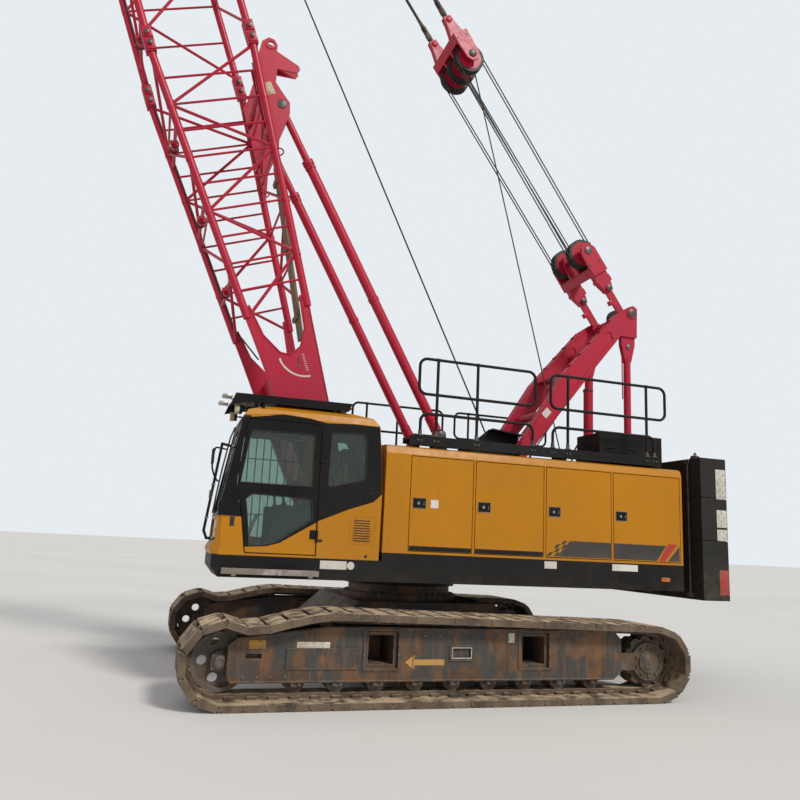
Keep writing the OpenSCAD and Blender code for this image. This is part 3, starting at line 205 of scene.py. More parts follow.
class Wiring:
    """Lays out the nodes of one procedural finish."""

    def __init__(self, name: str) -> None:
        """Starts a material with a Principled shader.

        Args:
            name: the material's name.
        """
        self.material = bpy.data.materials.new(name)
        self.material.use_nodes = True
        self.tree = self.material.node_tree
        self.tree.nodes.clear()
        output = self.tree.nodes.new("ShaderNodeOutputMaterial")
        self.shader = self.tree.nodes.new("ShaderNodeBsdfPrincipled")
        self.tree.links.new(self.shader.outputs[0], output.inputs[0])
        self.place: Socket = self.tree.nodes.new("ShaderNodeTexCoord").outputs["Object"]

    def feed(self, socket: Socket, value: Value) -> None:
        """Links or sets one input.

        Args:
            socket: the input.
            value: another node's output, or a constant.
        """
        if isinstance(value, bpy.types.NodeSocket):
            self.tree.links.new(value, socket)
        elif isinstance(value, tuple) and socket.type == "RGBA":
            socket.default_value = (*value, 1.0)
        else:
            socket.default_value = value

    def noise(self, scale: float, detail: float = 4.0, stretch: Point = (1.0, 1.0, 1.0)) -> Socket:
        """Adds a noise pattern on the object's own place.

        Args:
            scale: features per metre.
            detail: octaves.
            stretch: scale along each axis.

        Returns:
            The noise value.
        """
        spot = self.place
        if stretch != (1.0, 1.0, 1.0):
            mapping = self.tree.nodes.new("ShaderNodeMapping")
            mapping.inputs["Scale"].default_value = stretch
            self.tree.links.new(self.place, mapping.inputs["Vector"])
            spot = mapping.outputs[0]
        node = self.tree.nodes.new("ShaderNodeTexNoise")
        self.tree.links.new(spot, node.inputs["Vector"])
        node.inputs["Scale"].default_value = scale
        node.inputs["Detail"].default_value = detail
        node.inputs["Roughness"].default_value = 0.6
        return node.outputs[0]

    def step(self, value: Value, low: float, high: float, out: Pair = (0.0, 1.0)) -> Socket:
        """Maps a value smoothly from one range to another.

        Args:
            value: what is mapped.
            low: value that gives the first output.
            high: value that gives the second output.
            out: the two outputs.

        Returns:
            The mapped value.
        """
        node = self.tree.nodes.new("ShaderNodeMapRange")
        node.interpolation_type = "SMOOTHSTEP"
        names = ("Value", "From Min", "From Max", "To Min", "To Max")
        for name, part in zip(names, (value, low, high, *out)):
            self.feed(node.inputs[name], part)
        return node.outputs[0]

    def sum(self, kind: str, a: Value, b: Value) -> Socket:
        """Adds a Math node.

        Args:
            kind: its operation.
            a: first value.
            b: second value.

        Returns:
            The result, kept between 0 and 1.
        """
        node = self.tree.nodes.new("ShaderNodeMath")
        node.operation = kind
        node.use_clamp = True
        self.feed(node.inputs[0], a)
        self.feed(node.inputs[1], b)
        return node.outputs[0]

    def mix(self, share: Value, a: Value, b: Value) -> Socket:
        """Mixes two colours.

        Args:
            share: how much of b.
            a: first colour.
            b: second colour.

        Returns:
            The mixed colour.
        """
        node = self.tree.nodes.new("ShaderNodeMix")
        node.data_type = "RGBA"
        self.feed(node.inputs[0], share)
        self.feed(node.inputs[6], a)
        self.feed(node.inputs[7], b)
        return node.outputs[2]

    def part_of(self, vector: Socket, axis: Axis) -> Socket:
        """Takes one component of a vector."""
        node = self.tree.nodes.new("ShaderNodeSeparateXYZ")
        self.tree.links.new(vector, node.inputs[0])
        return node.outputs[list(Axis).index(axis)]

    def facing_up(self) -> Socket:
        """Gives 1 on faces that look up and 0 on the others."""
        normal = self.tree.nodes.new("ShaderNodeNewGeometry").outputs["Normal"]
        return self.step(self.part_of(normal, Axis.Z), 0.25, 0.9)

    def low_down(self, bottom: float, top: float) -> Socket:
        """Gives 1 below one height, fading to 0 at another."""
        return self.step(self.part_of(self.place, Axis.Z), bottom, top, (1.0, 0.0))

    def edges(self, radius: float) -> Socket:
        """Finds the outer edges of a shape.

        Args:
            radius: width of the band along an edge.

        Returns:
            1 along the edges and 0 on flat faces.
        """
        bevel = self.tree.nodes.new("ShaderNodeBevel")
        bevel.samples = 4
        bevel.inputs["Radius"].default_value = radius
        normal = self.tree.nodes.new("ShaderNodeNewGeometry").outputs["Normal"]
        dot = self.tree.nodes.new("ShaderNodeVectorMath")
        dot.operation = "DOT_PRODUCT"
        self.tree.links.new(bevel.outputs[0], dot.inputs[0])
        self.tree.links.new(normal, dot.inputs[1])
        return self.step(dot.outputs["Value"], 0.995, 0.93)

    def bump(self, height: Socket, strength: float, distance: float) -> None:
        """Feeds the shader's normal from a height.

        Args:
            height: the height pattern.
            strength: how much of it shows.
            distance: its depth in metres.
        """
        node = self.tree.nodes.new("ShaderNodeBump")
        node.inputs["Strength"].default_value = strength
        node.inputs["Distance"].default_value = distance
        self.tree.links.new(height, node.inputs["Height"])
        self.tree.links.new(node.outputs[0], self.shader.inputs["Normal"])

    def shade(self, **inputs: Value) -> bpy.types.Material:
        """Feeds the shader's inputs and gives the material.

        Args:
            **inputs: values by input name, with _ for a space.

        Returns:
            The finished material.
        """
        for name, value in inputs.items():
            self.feed(self.shader.inputs[name.replace("_", " ")], value)
        return self.material


DUST: Colour = (0.36, 0.27, 0.17)
DIRT: Colour = (0.10, 0.065, 0.04)


@dataclass(frozen=True)
class Paint:
    """A coat of machine paint with fading, dust, streaks and chipped edges."""

    name: str
    colour: Colour
    faded: Colour
    roughness: float = 0.38
    dust: float = 0.3
    wear: float = 0.35
    under: Colour = (0.05, 0.03, 0.022)
    splash: Pair = (0.6, 1.5)
    coat: float = 0.05
    gloss: float = 0.35

    def toned(self, w: Wiring, colour: Socket) -> Socket:
        """Gives the colour with any second tone laid over it."""
        return colour

    def build(self) -> bpy.types.Material:
        """Makes the material of this paint."""
        w = Wiring(self.name)
        broad = w.step(w.noise(0.8, 5.0), 0.35, 0.68)
        colour = self.toned(w, w.mix(broad, self.colour, self.faded))
        streak = w.sum("MULTIPLY", w.step(w.noise(5.0, 5.0, (1.6, 1.6, 0.16)), 0.52, 0.75), 0.3 * self.wear)
        colour = w.mix(streak, colour, DIRT)
        settle = w.sum("ADD", w.sum("MULTIPLY", w.facing_up(), 0.9), w.low_down(*self.splash))
        patchy = w.step(w.noise(6.0, 7.0), 0.36, 0.7)
        film = w.sum("MULTIPLY", w.sum("ADD", w.sum("MULTIPLY", settle, patchy), 0.10), self.dust)
        colour = w.mix(film, colour, DUST)
        chips = w.sum("MULTIPLY", w.edges(0.012), w.step(w.noise(24.0, 6.0), 0.45, 0.6))
        spots = w.step(w.noise(38.0, 3.0), 0.75, 0.79)
        worn = w.sum("MULTIPLY", w.sum("ADD", chips, w.sum("MULTIPLY", spots, 0.7)), self.wear)
        colour = w.mix(worn, colour, self.under)
        rough = w.sum("ADD", w.step(w.noise(11.0, 5.0), 0.3, 0.75, (self.roughness, self.roughness + 0.14)),
                      w.sum("MULTIPLY", film, 0.5))
        w.bump(w.noise(55.0, 4.0), 0.12, 0.0015)
        return w.shade(Base_Color=colour, Roughness=rough, Coat_Weight=self.coat, Coat_Roughness=0.22,
                       Specular_IOR_Level=self.gloss)


@dataclass(frozen=True)
class CabShellPaint(Paint):
    """Paint with a second tone on the front pillars and on what stands off the side."""

    second: Colour = (0.008, 0.008, 0.009)
    pillar_x: float = 2.20
    pillar_z: Pair = (1.75, 2.785)
    side: float = 1.5812

    def toned(self, w: Wiring, colour: Socket) -> Socket:
        """Lays the second tone over the first.

        Args:
            w: wiring of the material.
            colour: the first tone.

        Returns:
            The colour with both tones.
        """
        x, y, z = (w.part_of(w.place, axis) for axis in Axis)
        above = w.sum("MULTIPLY", w.step(z, self.pillar_z[0], self.pillar_z[0] + 0.003),
                      w.step(z, self.pillar_z[1], self.pillar_z[1] + 0.003, (1.0, 0.0)))
        pillars = w.sum("MULTIPLY", above, w.step(x, self.pillar_x, self.pillar_x + 0.003))
        off = w.step(y, self.side, self.side + 0.001)
        return w.mix(w.sum("MAXIMUM", pillars, off), colour, self.second)


@dataclass(frozen=True)
class WornSteel:
    """Rusted or bare steel with old paint in patches, and dried dirt on upward faces, partly painted sunlight
    where pale.
    """

    name: str
    rust: Colour
    deep: Colour
    patch: Colour
    patches: float = 0.5
    # How strongly upward faces take the film: dried dirt, and painted sunlight where its colour is pale
    dust_and_sunlit_share: float = 0.6
    metallic: float = 0.0
    roughness: float = 0.78
    grain: float = 0.35
    blotch: float = 5.0
    streaks: float = 0.0
    # Colour of the film on upward faces; pale, as on the track shoes, it is also painted sunlight on their
    # tops
    dust_and_sunlit_top: Colour = DUST

    def build(self) -> bpy.types.Material:
        """Makes the material of this steel."""
        w = Wiring(self.name)
        colour = w.mix(w.step(w.noise(3.2, 8.0), 0.35, 0.66), self.rust, self.deep)
        less = 0.2 * self.patches
        left = w.step(w.noise(self.blotch, 9.0, (1.0, 1.0, 0.6)), 0.58 - less, 0.68 - less)
        colour = w.mix(w.sum("MULTIPLY", left, min(1.0, self.patches * 1.6)), colour, self.patch)
        colour = w.mix(w.step(w.noise(30.0, 5.0), 0.62, 0.8, (0.0, 0.5)), colour, self.deep)
        runs = w.step(w.noise(16.0, 5.0, (1.6, 1.6, 0.10)), 0.50, 0.68, (0.0, self.streaks))
        colour = w.mix(runs, colour, self.rust)
        # Upward faces get the film: dried dirt, and where it is pale tan, as on the track shoes, a painted
        # sunlit top
        settle = w.sum("ADD", w.sum("MULTIPLY", w.facing_up(), 0.95), 0.07)
        dust_and_sunlit_top = w.sum("MULTIPLY", w.sum("MULTIPLY", settle, w.step(w.noise(7.5, 8.0), 0.34, 0.62)), self.dust_and_sunlit_share)
        colour = w.mix(dust_and_sunlit_top, colour, self.dust_and_sunlit_top)
        rub = w.sum("MULTIPLY", w.edges(0.010), w.step(w.noise(16.0, 4.0), 0.4, 0.6, (0.0, 0.5)))
        colour = w.mix(rub, colour, (0.30, 0.24, 0.19))
        rough = w.sum("ADD", w.step(w.noise(14.0, 5.0), 0.3, 0.8, (self.roughness - 0.12, self.roughness)),
                      w.sum("MULTIPLY", dust_and_sunlit_top, 0.3))
        w.bump(w.noise(42.0, 8.0), self.grain, 0.004)
        return w.shade(Base_Color=colour, Roughness=rough, Metallic=self.metallic)


@dataclass(frozen=True)
class TintedGlass:
    """Dark safety glass with a film of dust."""

    name: str
    colour: Colour
    clear: float = 0.75

    def build(self) -> bpy.types.Material:
        """Makes the material of this glass."""
        w = Wiring(self.name)
        film = w.sum("MULTIPLY", w.step(w.noise(4.0, 6.0), 0.4, 0.8), 0.04)
        rough = w.sum("ADD", w.step(w.noise(9.0, 4.0), 0.4, 0.8, (0.02, 0.10)), film)
        return w.shade(Base_Color=w.mix(film, self.colour, DUST), Roughness=rough, IOR=1.5,
                       Transmission_Weight=self.clear, Specular_IOR_Level=0.25)


@dataclass(frozen=True)
class WireRope:
    """Greased steel rope with its strands lying at a slant."""

    name: str
    colour: Colour
    groove: Colour
    lay: float = 0.06

    def build(self) -> bpy.types.Material:
        """Makes the material of this rope."""
        w = Wiring(self.name)
        wave = w.tree.nodes.new("ShaderNodeTexWave")
        wave.bands_direction = "DIAGONAL"
        wave.inputs["Scale"].default_value = 1.0 / self.lay
        wave.inputs["Distortion"].default_value = 0.6
        w.tree.links.new(w.place, wave.inputs["Vector"])
        strand = wave.outputs["Fac"]
        colour = w.mix(w.step(strand, 0.1, 0.7), self.groove, self.colour)
        colour = w.mix(w.step(w.noise(9.0, 4.0), 0.5, 0.8, (0.0, 0.4)), colour, DIRT)
        w.bump(strand, 0.5, 0.003)
        rough = w.step(w.noise(20.0, 3.0), 0.3, 0.8, (0.42, 0.62))
        return w.shade(Base_Color=colour, Roughness=rough, Metallic=0.6)


@dataclass(frozen=True)
class Moulding:
    """Plastic, rubber or cast trim with a fine grain."""

    name: str
    colour: Colour
    roughness: float = 0.6
    grain: float = 0.25
    dust: float = 0.2
    metallic: float = 0.0

    def build(self) -> bpy.types.Material:
        """Makes the material of this trim."""
        w = Wiring(self.name)
        film = w.sum("MULTIPLY", w.sum("MULTIPLY", w.step(w.noise(8.0, 6.0), 0.35, 0.75),
                                       w.sum("ADD", w.facing_up(), 0.25)), self.dust)
        shade = tuple(min(1.0, c * 1.35 + 0.01) for c in self.colour)
        colour = w.mix(film, w.mix(w.step(w.noise(3.0, 4.0), 0.3, 0.75), self.colour, shade), DUST)
        rough = w.sum("ADD", w.step(w.noise(17.0, 4.0), 0.3, 0.8, (self.roughness, self.roughness + 0.12)),
                      film)
        w.bump(w.noise(160.0, 3.0), self.grain, 0.0008)
        return w.shade(Base_Color=colour, Roughness=rough, Metallic=self.metallic)


@dataclass(frozen=True)
class SeatCloth:
    """Woven seat cloth, darker where it is worn."""

    name: str
    colour: Colour
    thread: float = 0.004

    def build(self) -> bpy.types.Material:
        """Makes the material of this cloth."""
        w = Wiring(self.name)
        weave = []
        for direction in ("X", "Z"):
            wave = w.tree.nodes.new("ShaderNodeTexWave")
            wave.bands_direction = direction
            wave.inputs["Scale"].default_value = 0.5 / self.thread
            w.tree.links.new(w.place, wave.inputs["Vector"])
            weave.append(wave.outputs["Fac"])
        cross = w.sum("MULTIPLY", weave[0], weave[1])
        light = tuple(c * 1.9 + 0.01 for c in self.colour)
        colour = w.mix(cross, self.colour, light)
        colour = w.mix(w.step(w.noise(5.0, 4.0), 0.4, 0.8, (0.0, 0.35)), colour, DUST)
        w.bump(cross, 0.4, 0.001)
        return w.shade(Base_Color=colour, Roughness=w.step(w.noise(12.0, 3.0), 0.3, 0.8, (0.85, 0.95)),
                       Sheen_Weight=0.3)


@dataclass(frozen=True)
class Lens:
    """A lamp lens or reflector of one colour."""

    name: str
    colour: Colour
    clear: float = 0.35

    def build(self) -> bpy.types.Material:
        """Makes the material of this lens."""
        w = Wiring(self.name)
        dark = tuple(c * 0.6 for c in self.colour)
        colour = w.mix(w.step(w.noise(24.0, 3.0), 0.3, 0.8), self.colour, dark)
        return w.shade(Base_Color=colour, Roughness=w.step(w.noise(20.0, 2.0), 0.3, 0.8, (0.12, 0.3)),
                       Transmission_Weight=self.clear, Coat_Weight=0.5)


YELLOW = Paint("yellow_paint", (0.50, 0.196, 0.001), (0.45, 0.180, 0.004), 0.34, 0.08, 0.30,
               splash=(1.3, 1.8), coat=0.04, gloss=0.25)
YELLOW_SKIN = replace(YELLOW, name="yellow_skin", wear=0.0)
CAB_YELLOW = CabShellPaint("cab_yellow", YELLOW.colour, YELLOW.faded, YELLOW.roughness, YELLOW.dust,
                           YELLOW.wear, splash=YELLOW.splash, coat=YELLOW.coat, gloss=YELLOW.gloss)
BLACK = Paint("black_paint", (0.010, 0.010, 0.011), (0.017, 0.017, 0.017), 0.42, 0.09, 0.28,
              (0.10, 0.07, 0.05), (0.9, 1.4), 0.0, 0.12)
CAB_BLACK = Paint("cab_black", (0.007, 0.007, 0.008), (0.012, 0.012, 0.012), 0.30, 0.05, 0.15,
                  (0.12, 0.10, 0.08), (1.2, 1.6), 0.03, 0.12)
BALLAST = Paint("ballast_paint", (0.012, 0.012, 0.012), (0.020, 0.020, 0.019), 0.58, 0.14, 0.50,
                (0.13, 0.10, 0.08), (1.0, 1.75), 0.0, 0.2)
RED = Paint("red_paint", (0.47, 0.005, 0.033), (0.42, 0.010, 0.040), 0.36, 0.07, 0.30,
            (0.13, 0.06, 0.05), (1.0, 2.0), 0.06, 0.35)
HOOK_YELLOW = Paint("hook_paint", (0.62, 0.26, 0.01), (0.50, 0.22, 0.03), 0.45, 0.2, 0.5)
FRAME_STEEL = WornSteel("frame_steel", (0.170, 0.082, 0.034), (0.064, 0.033, 0.018), (0.046, 0.045, 0.043),
                        0.66, 0.45, 0.0, 0.70, 0.30, 4.5, 0.5)
# The shoes' pale tan film on upward faces is partly dust and partly painted sunlight lighting their tops
SHOE_STEEL = WornSteel("shoe_steel", (0.125, 0.083, 0.050), (0.055, 0.038, 0.026), (0.165, 0.122, 0.080),
                       0.40, 1.0, 0.0, 0.84, 0.5, 3.0, 0.0, (0.62, 0.465, 0.305))
WHEEL_STEEL = WornSteel("wheel_steel", (0.13, 0.080, 0.050), (0.055, 0.036, 0.026), (0.13, 0.115, 0.095),
                        0.60, 0.6, 0.1, 0.72, 0.35)
GREY_STEEL = WornSteel("machinery_steel", (0.13, 0.12, 0.11), (0.055, 0.05, 0.045), (0.16, 0.155, 0.15),
                       0.5, 0.25, 0.5, 0.5, 0.2)
ALLOY = WornSteel("step_alloy", (0.42, 0.39, 0.34), (0.26, 0.22, 0.18), (0.50, 0.48, 0.44),
                  0.5, 0.4, 0.7, 0.48, 0.15)
BRIGHT = WornSteel("bright_rod", (0.42, 0.41, 0.39), (0.30, 0.28, 0.26), (0.46, 0.45, 0.43),
                   0.6, 0.08, 0.95, 0.28, 0.05)
GLASS = TintedGlass("tinted_glass", (0.43, 0.55, 0.50), 0.97)
ROPE = WireRope("wire_rope", (0.10, 0.092, 0.082), (0.02, 0.018, 0.016))
PENDANT = WireRope("pendant_rope", (0.07, 0.065, 0.06), (0.018, 0.016, 0.015), 0.09)
SOCKET_STEEL = WornSteel("socket_steel", (0.16, 0.11, 0.07), (0.08, 0.05, 0.035), (0.20, 0.15, 0.10),
                         0.5, 0.3, 0.4)
RUBBER = Moulding("black_rubber", (0.014, 0.014, 0.014), 0.72, 0.2, 0.15)
TRIM = Moulding("cab_trim", (0.020, 0.020, 0.021), 0.66, 0.2, 0.10)
SHEAVE = Moulding("sheave_black", (0.024, 0.023, 0.022), 0.5, 0.35, 0.2, 0.3)
CLOTH = SeatCloth("seat_cloth", (0.035, 0.035, 0.038))
LABEL = Paint("blank_label", (0.72, 0.70, 0.64), (0.60, 0.57, 0.50), 0.5, 0.3, 0.5, (0.2, 0.16, 0.12))
CREAM = Paint("cream_plate", (0.60, 0.50, 0.34), (0.50, 0.42, 0.30), 0.5, 0.2, 0.4)
DECAL_GREY = Paint("decal_grey", (0.030, 0.028, 0.028), (0.045, 0.04, 0.036), 0.45, 0.25, 0.4,
                   (0.55, 0.24, 0.02), (1.2, 1.7))
DECAL_RED = Paint("decal_red", (0.45, 0.02, 0.02), (0.38, 0.04, 0.03), 0.45, 0.25, 0.3, splash=(1.2, 1.7))
DECAL_YELLOW = Paint("decal_yellow", (0.62, 0.30, 0.03), (0.50, 0.27, 0.06), 0.6, 0.5, 0.7,
                     (0.10, 0.06, 0.04), (0.3, 1.2))
MIRROR = Lens("mirror_glass", (0.50, 0.52, 0.54), 0.0)
LAMP_LENS = Lens("lamp_lens", (0.75, 0.76, 0.74))
AMBER = Lens("amber_lens", (0.80, 0.24, 0.01))
WOOD = Moulding("weathered_plank", (0.16, 0.11, 0.07), 0.85, 0.6, 0.3)

NODE_FINISH = {node: finish for finish, nodes in (
    (FRAME_STEEL, ("carbody", "track_frames")),
    (SHOE_STEEL, ("track_left", "track_right")),
    (WHEEL_STEEL, ("idlers", "sprockets", "track_rollers")),
    (BLACK, ("turntable", "cab_frame", "walkways", "handrails", "winch_guard")),
    (BALLAST, ("counterweight",)),
    (GREY_STEEL, ("engine", "main_drum", "aux_drum", "luff_drum")),
    (YELLOW, ("left_house", "left_door_1", "left_door_2", "left_door_3", "left_door_4",
              "right_house", "right_door_1", "right_door_2", "right_door_3")),
    (CAB_YELLOW, ("cab_shell",)),
    (GLASS, ("cab_glass", "cab_door_glass")),
    (CAB_BLACK, ("cab_door", "cab_guard", "cab_lamps")),
    (CLOTH, ("cab_seat",)),
    (TRIM, ("cab_console",)),
    (ALLOY, ("cab_step",)),
    (RED, ("gantry", "gantry_backstays", "gantry_cylinder", "bail", "boom_foot", "boom_insert", "boom_top",
           "upper_spreader", "backstop_tubes", "backstop_rods")),
    (SHEAVE, ("head_sheaves", "guide_sheave")),
    (PENDANT, ("pendants",)),
    (ROPE, ("hoist_falls",)),
    (HOOK_YELLOW, ("hook_block",)),
) for node in nodes}

# The slot of the record that a piece of each finish belongs to, unless it says another
USUAL_SLOT = {finish.name: slot for slot, finishes in (
    ("undercarriage", (FRAME_STEEL, WHEEL_STEEL, DECAL_YELLOW)),
    ("track_steel", (SHOE_STEEL,)),
    ("yellow_paint", (YELLOW, YELLOW_SKIN, DECAL_GREY)),
    ("black_paint", (BLACK, CAB_BLACK, RUBBER, LABEL, DECAL_RED)),
    ("red_paint", (RED, CREAM)),
    ("machinery_grey", (GREY_STEEL, WOOD)),
    ("step_alloy", (ALLOY, BRIGHT)),
    ("tinted_glass", (AMBER, LAMP_LENS, MIRROR)),
    ("cab_plastic", (TRIM,)),
    ("rope_steel", (ROPE, SOCKET_STEEL)),
    ("sheave_black", (SHEAVE,)),
) for finish in finishes}

Finish = Paint | WornSteel | TintedGlass | WireRope | Moulding | SeatCloth | Lens


class Wardrobe:
    """Keeps one material for each finish."""

    def __init__(self) -> None:
        """Starts with no materials."""
        self.made: dict[str, bpy.types.Material] = {}

    def of(self, finish: Finish) -> bpy.types.Material:
        """Gives the finish's material, made on first use."""
        if finish.name not in self.made:
            self.made[finish.name] = finish.build()
        return self.made[finish.name]

    def dress(self, node: bpy.types.Object, finish: Finish) -> None:
        """Gives a frame node its finish.

        Args:
            node: the node's object.
            finish: its finish.
        """
        node.data.materials.clear()
        node.data.materials.append(self.of(finish))
        for face in node.data.polygons:
            face.material_index = 0


# Shapes


class Piece:
    """One dressed piece: a bmesh that is shaped, placed and then rides on a body."""

    def __init__(self, name: str, body: str, finish: Finish, slot: str | None = None,
                 frame: Matrix | None = None) -> None:
        """Starts an empty piece.

        Args:
            name: the piece's name.
            body: the body that it moves with.
            finish: its finish.
            slot: the record's material slot that it belongs to, where it isn't the finish's usual one.
            frame: local frame that its points are given in.
        """
        self.name, self.body, self.finish = name, body, finish
        self.slot = slot or USUAL_SLOT[finish.name]
        self.frame = frame
        self.bm = bmesh.new()

    def block(self, first: Point, last: Point, bevel: float = 0.0, turn: Matrix | None = None) -> "Piece":
        """Adds a box.

        Args:
            first: one corner.
            last: the opposite corner.
            bevel: radius of its edges.
            turn: a rotation about its centre.

        Returns:
            This piece.
        """
        spans = [sorted(ends) for ends in zip(first, last)]
        made = bmesh.ops.create_cube(self.bm, size=1.0)["verts"]
        size = [high - low for low, high in spans]
        centre = Vector([(low + high) / 2 for low, high in spans])
        bmesh.ops.scale(self.bm, verts=made, vec=size)
        if bevel:
            edges = list({e for v in made for e in v.link_edges})
            made = bmesh.ops.bevel(self.bm, geom=edges, offset=bevel, affect="EDGES", segments=2, profile=0.5,
                                   material=-1)["verts"]
        if turn:
            bmesh.ops.transform(self.bm, matrix=turn, verts=made)
        bmesh.ops.translate(self.bm, verts=made, vec=centre)
        return self

    def rod(self, start: Point | Vector, end: Point | Vector, radius: float, sides: int = 16,
            tip: float | None = None) -> "Piece":
        """Adds a round bar, or a cone where its tip has another radius.

        Args:
            start: centre of its first end.
            end: centre of its last end.
            radius: radius at the start.
            sides: number of flats.
            tip: radius at the end.

        Returns:
            This piece.
        """
        a, b = Vector(start), Vector(end)
        along = b - a
        place = Matrix.Translation((a + b) / 2) @ along.to_track_quat("Z", "Y").to_matrix().to_4x4()
        bmesh.ops.create_cone(self.bm, cap_ends=True, segments=sides, radius1=radius,
                              radius2=radius if tip is None else tip, depth=along.length, matrix=place)
        return self

    def plate(self, outline: list[Pair], y0: float, y1: float, bevel: float = 0.0) -> "Piece":
        """Adds a plate drawn in side view.

        Args:
            outline: its x and z corners.
            y0: one face.
            y1: the other face.
            bevel: radius of its edges.

        Returns:
            This piece.
        """
        corners = [self.bm.verts.new((x, y0, z)) for x, z in outline]
        face = self.bm.faces.new(corners)
        grown = bmesh.ops.extrude_face_region(self.bm, geom=[face])["geom"]
        moved = [g for g in grown if isinstance(g, bmesh.types.BMVert)]
        bmesh.ops.translate(self.bm, verts=moved, vec=(0.0, y1 - y0, 0.0))
        faces = {f for v in corners + moved for f in v.link_faces}
        bmesh.ops.recalc_face_normals(self.bm, faces=list(faces))
        if bevel:
            edges = list({e for f in faces for e in f.edges})
            bmesh.ops.bevel(self.bm, geom=edges, offset=bevel, affect="EDGES", segments=2, profile=0.5,
                            material=-1)
        return self

    def turned(self, centre: Point | Vector, axis: Axis, profile: list[Pair], steps: int = 32) -> "Piece":
        """Adds a piece turned on a lathe.

        Args:
            centre: its middle.
            axis: what it is turned about.
            profile: radius and distance along the axis, from one end to the other.
            steps: number of steps round.

        Returns:
            This piece.
        """
        line = Vector(axis.value)
        out = Vector((0.0, 0.0, 1.0)) if axis is not Axis.Z else Vector((1.0, 0.0, 0.0))
        verts = [self.bm.verts.new(Vector(centre) + out * max(r, 1e-5) + line * t) for r, t in profile]
        edges = [self.bm.edges.new(pair) for pair in zip(verts, verts[1:])]
        made = bmesh.ops.spin(self.bm, geom=verts + edges, cent=centre, axis=line, angle=math.tau,
                              steps=steps, use_merge=True)
        ends = {g for g in made["geom_last"] if isinstance(g, bmesh.types.BMVert)}
        live = list(self._island(ends | set(verts)))
        bmesh.ops.remove_doubles(self.bm, verts=live, dist=5e-5)
        live = [v for v in live if v.is_valid]
        bmesh.ops.recalc_face_normals(self.bm, faces=list({f for v in live for f in v.link_faces}))
        return self

    def cap(self, centre: Point | Vector, axis: Axis, out: int, side: Pair, face: Pair,
            steps: int) -> "Piece":
        """Adds a round cap or a nut with a chamfered rim.

        Args:
            centre: middle of its foot.
            axis: what it is turned about.
            out: 1 or -1, the way that it points along the axis.
            side: its radius, and the height of its straight side.
            face: radius and height of its flat face.
            steps: number of steps round.

        Returns:
            This piece.
        """
        rise, top = out * side[1], out * face[1]
        profile = [(0.0, 0.0), (side[0], 0.0), (side[0], rise), (face[0], top), (0.0, top)]
        return self.turned(centre, axis, profile, steps)

    def band(self, centre: Point | Vector, axis: Axis, radii: Pair, reach: Pair, steps: int) -> "Piece":
        """Adds a flat ring.

        Args:
            centre: its middle.
            axis: what it is turned about.
            radii: its inner and outer radius.
            reach: where it starts and ends along the axis.
            steps: number of steps round.

        Returns:
            This piece.
        """
        (inner, outer), (start, end) = radii, reach
        profile = [(inner, start), (outer, start), (outer, end), (inner, end), (inner, start)]
        return self.turned(centre, axis, profile, steps)

    def groove_rims(self, centre: Point | Vector, profile: list[Pair], steps: int) -> "Piece":
        """Adds both rims of a sheave's groove, one the mirror of the other.

        Args:
            centre: middle of the sheave.
            profile: radius and distance from the middle, round one rim.
            steps: number of steps round.

        Returns:
            This piece.
        """
        for k in (1, -1):
            self.turned(centre, Axis.Y, [(r, k * y) for r, y in [*profile, profile[0]]], steps)
        return self

    def _island(self, seeds: set) -> set:
        """Gives every vertex joined to the seeds."""
        found, stack = set(), [v for v in seeds if v.is_valid]
        while stack:
            v = stack.pop()
            if v not in found:
                found.add(v)
                stack.extend(e.other_vert(v) for e in v.link_edges)
        return found

    def tube(self, path: list[Point | Vector], radius: float, sides: int = 8,
             round_off: bool = False) -> "Piece":
        """Adds a tube along a path.

        Args:
            path: its centre line.
            radius: its radius.
            sides: number of flats.
            round_off: whether its corners are smooth curves.

        Returns:
            This piece.
        """
        curve = bpy.data.curves.new(self.name + "_path", "CURVE")
        curve.dimensions = "3D"
        curve.bevel_depth = radius
        curve.bevel_resolution = max(0, sides // 4 - 1)
        curve.use_fill_caps = True
        curve.resolution_u = 8
        spline = curve.splines.new("NURBS" if round_off else "POLY")
        spline.points.add(len(path) - 1)
        for spot, point in zip(spline.points, path):
            spot.co = (*point, 1.0)
        if round_off:
            spline.order_u = 3
            spline.use_endpoint_u = True
        holder = bpy.data.objects.new(curve.name, curve)
        bpy.context.scene.collection.objects.link(holder)
        bpy.context.view_layer.update()
        mesh = bpy.data.meshes.new_from_object(holder.evaluated_get(bpy.context.evaluated_depsgraph_get()))
        self.bm.from_mesh(mesh)
        bpy.data.objects.remove(holder)
        bpy.data.meshes.remove(mesh)
        bpy.data.curves.remove(curve)
        return self

    def bolts(self, spots: list[Point], axis: Axis, size: float, proud: float = 0.012) -> "Piece":
        """Adds bolt heads with washers.

        Args:
            spots: where they stand.
            axis: which way they point; the sign of proud turns them round.
            size: radius of a head.
            proud: height of a head.

        Returns:
            This piece.
        """
        out = Vector(axis.value) * proud
        for spot in spots:
            base = Vector(spot)
            self.rod(base, base + out * 0.25, size * 1.5, 12)
            self.rod(base + out * 0.2, base + out, size, 6)
        return self

    def made(self, crease: float) -> bpy.types.Object:
        """Turns the bmesh into an object.

        Args:
            crease: angle above which an edge stays sharp, in degrees.

        Returns:
            The object, with its finish.
        """
        if self.frame is not None:
            bmesh.ops.transform(self.bm, matrix=self.frame, verts=self.bm.verts)
        for face in self.bm.faces:
            face.smooth = True
        for edge in self.bm.edges:
            if len(edge.link_faces) != 2 or edge.calc_face_angle(0.0) > math.radians(crease):
                edge.smooth = False
        mesh = bpy.data.meshes.new(self.name)
        self.bm.to_mesh(mesh)
        self.bm.free()
        made = bpy.data.objects.new(self.name, mesh)
        bpy.context.scene.collection.objects.link(made)
        mesh.materials.append(WARDROBE.of(self.finish))
        return made

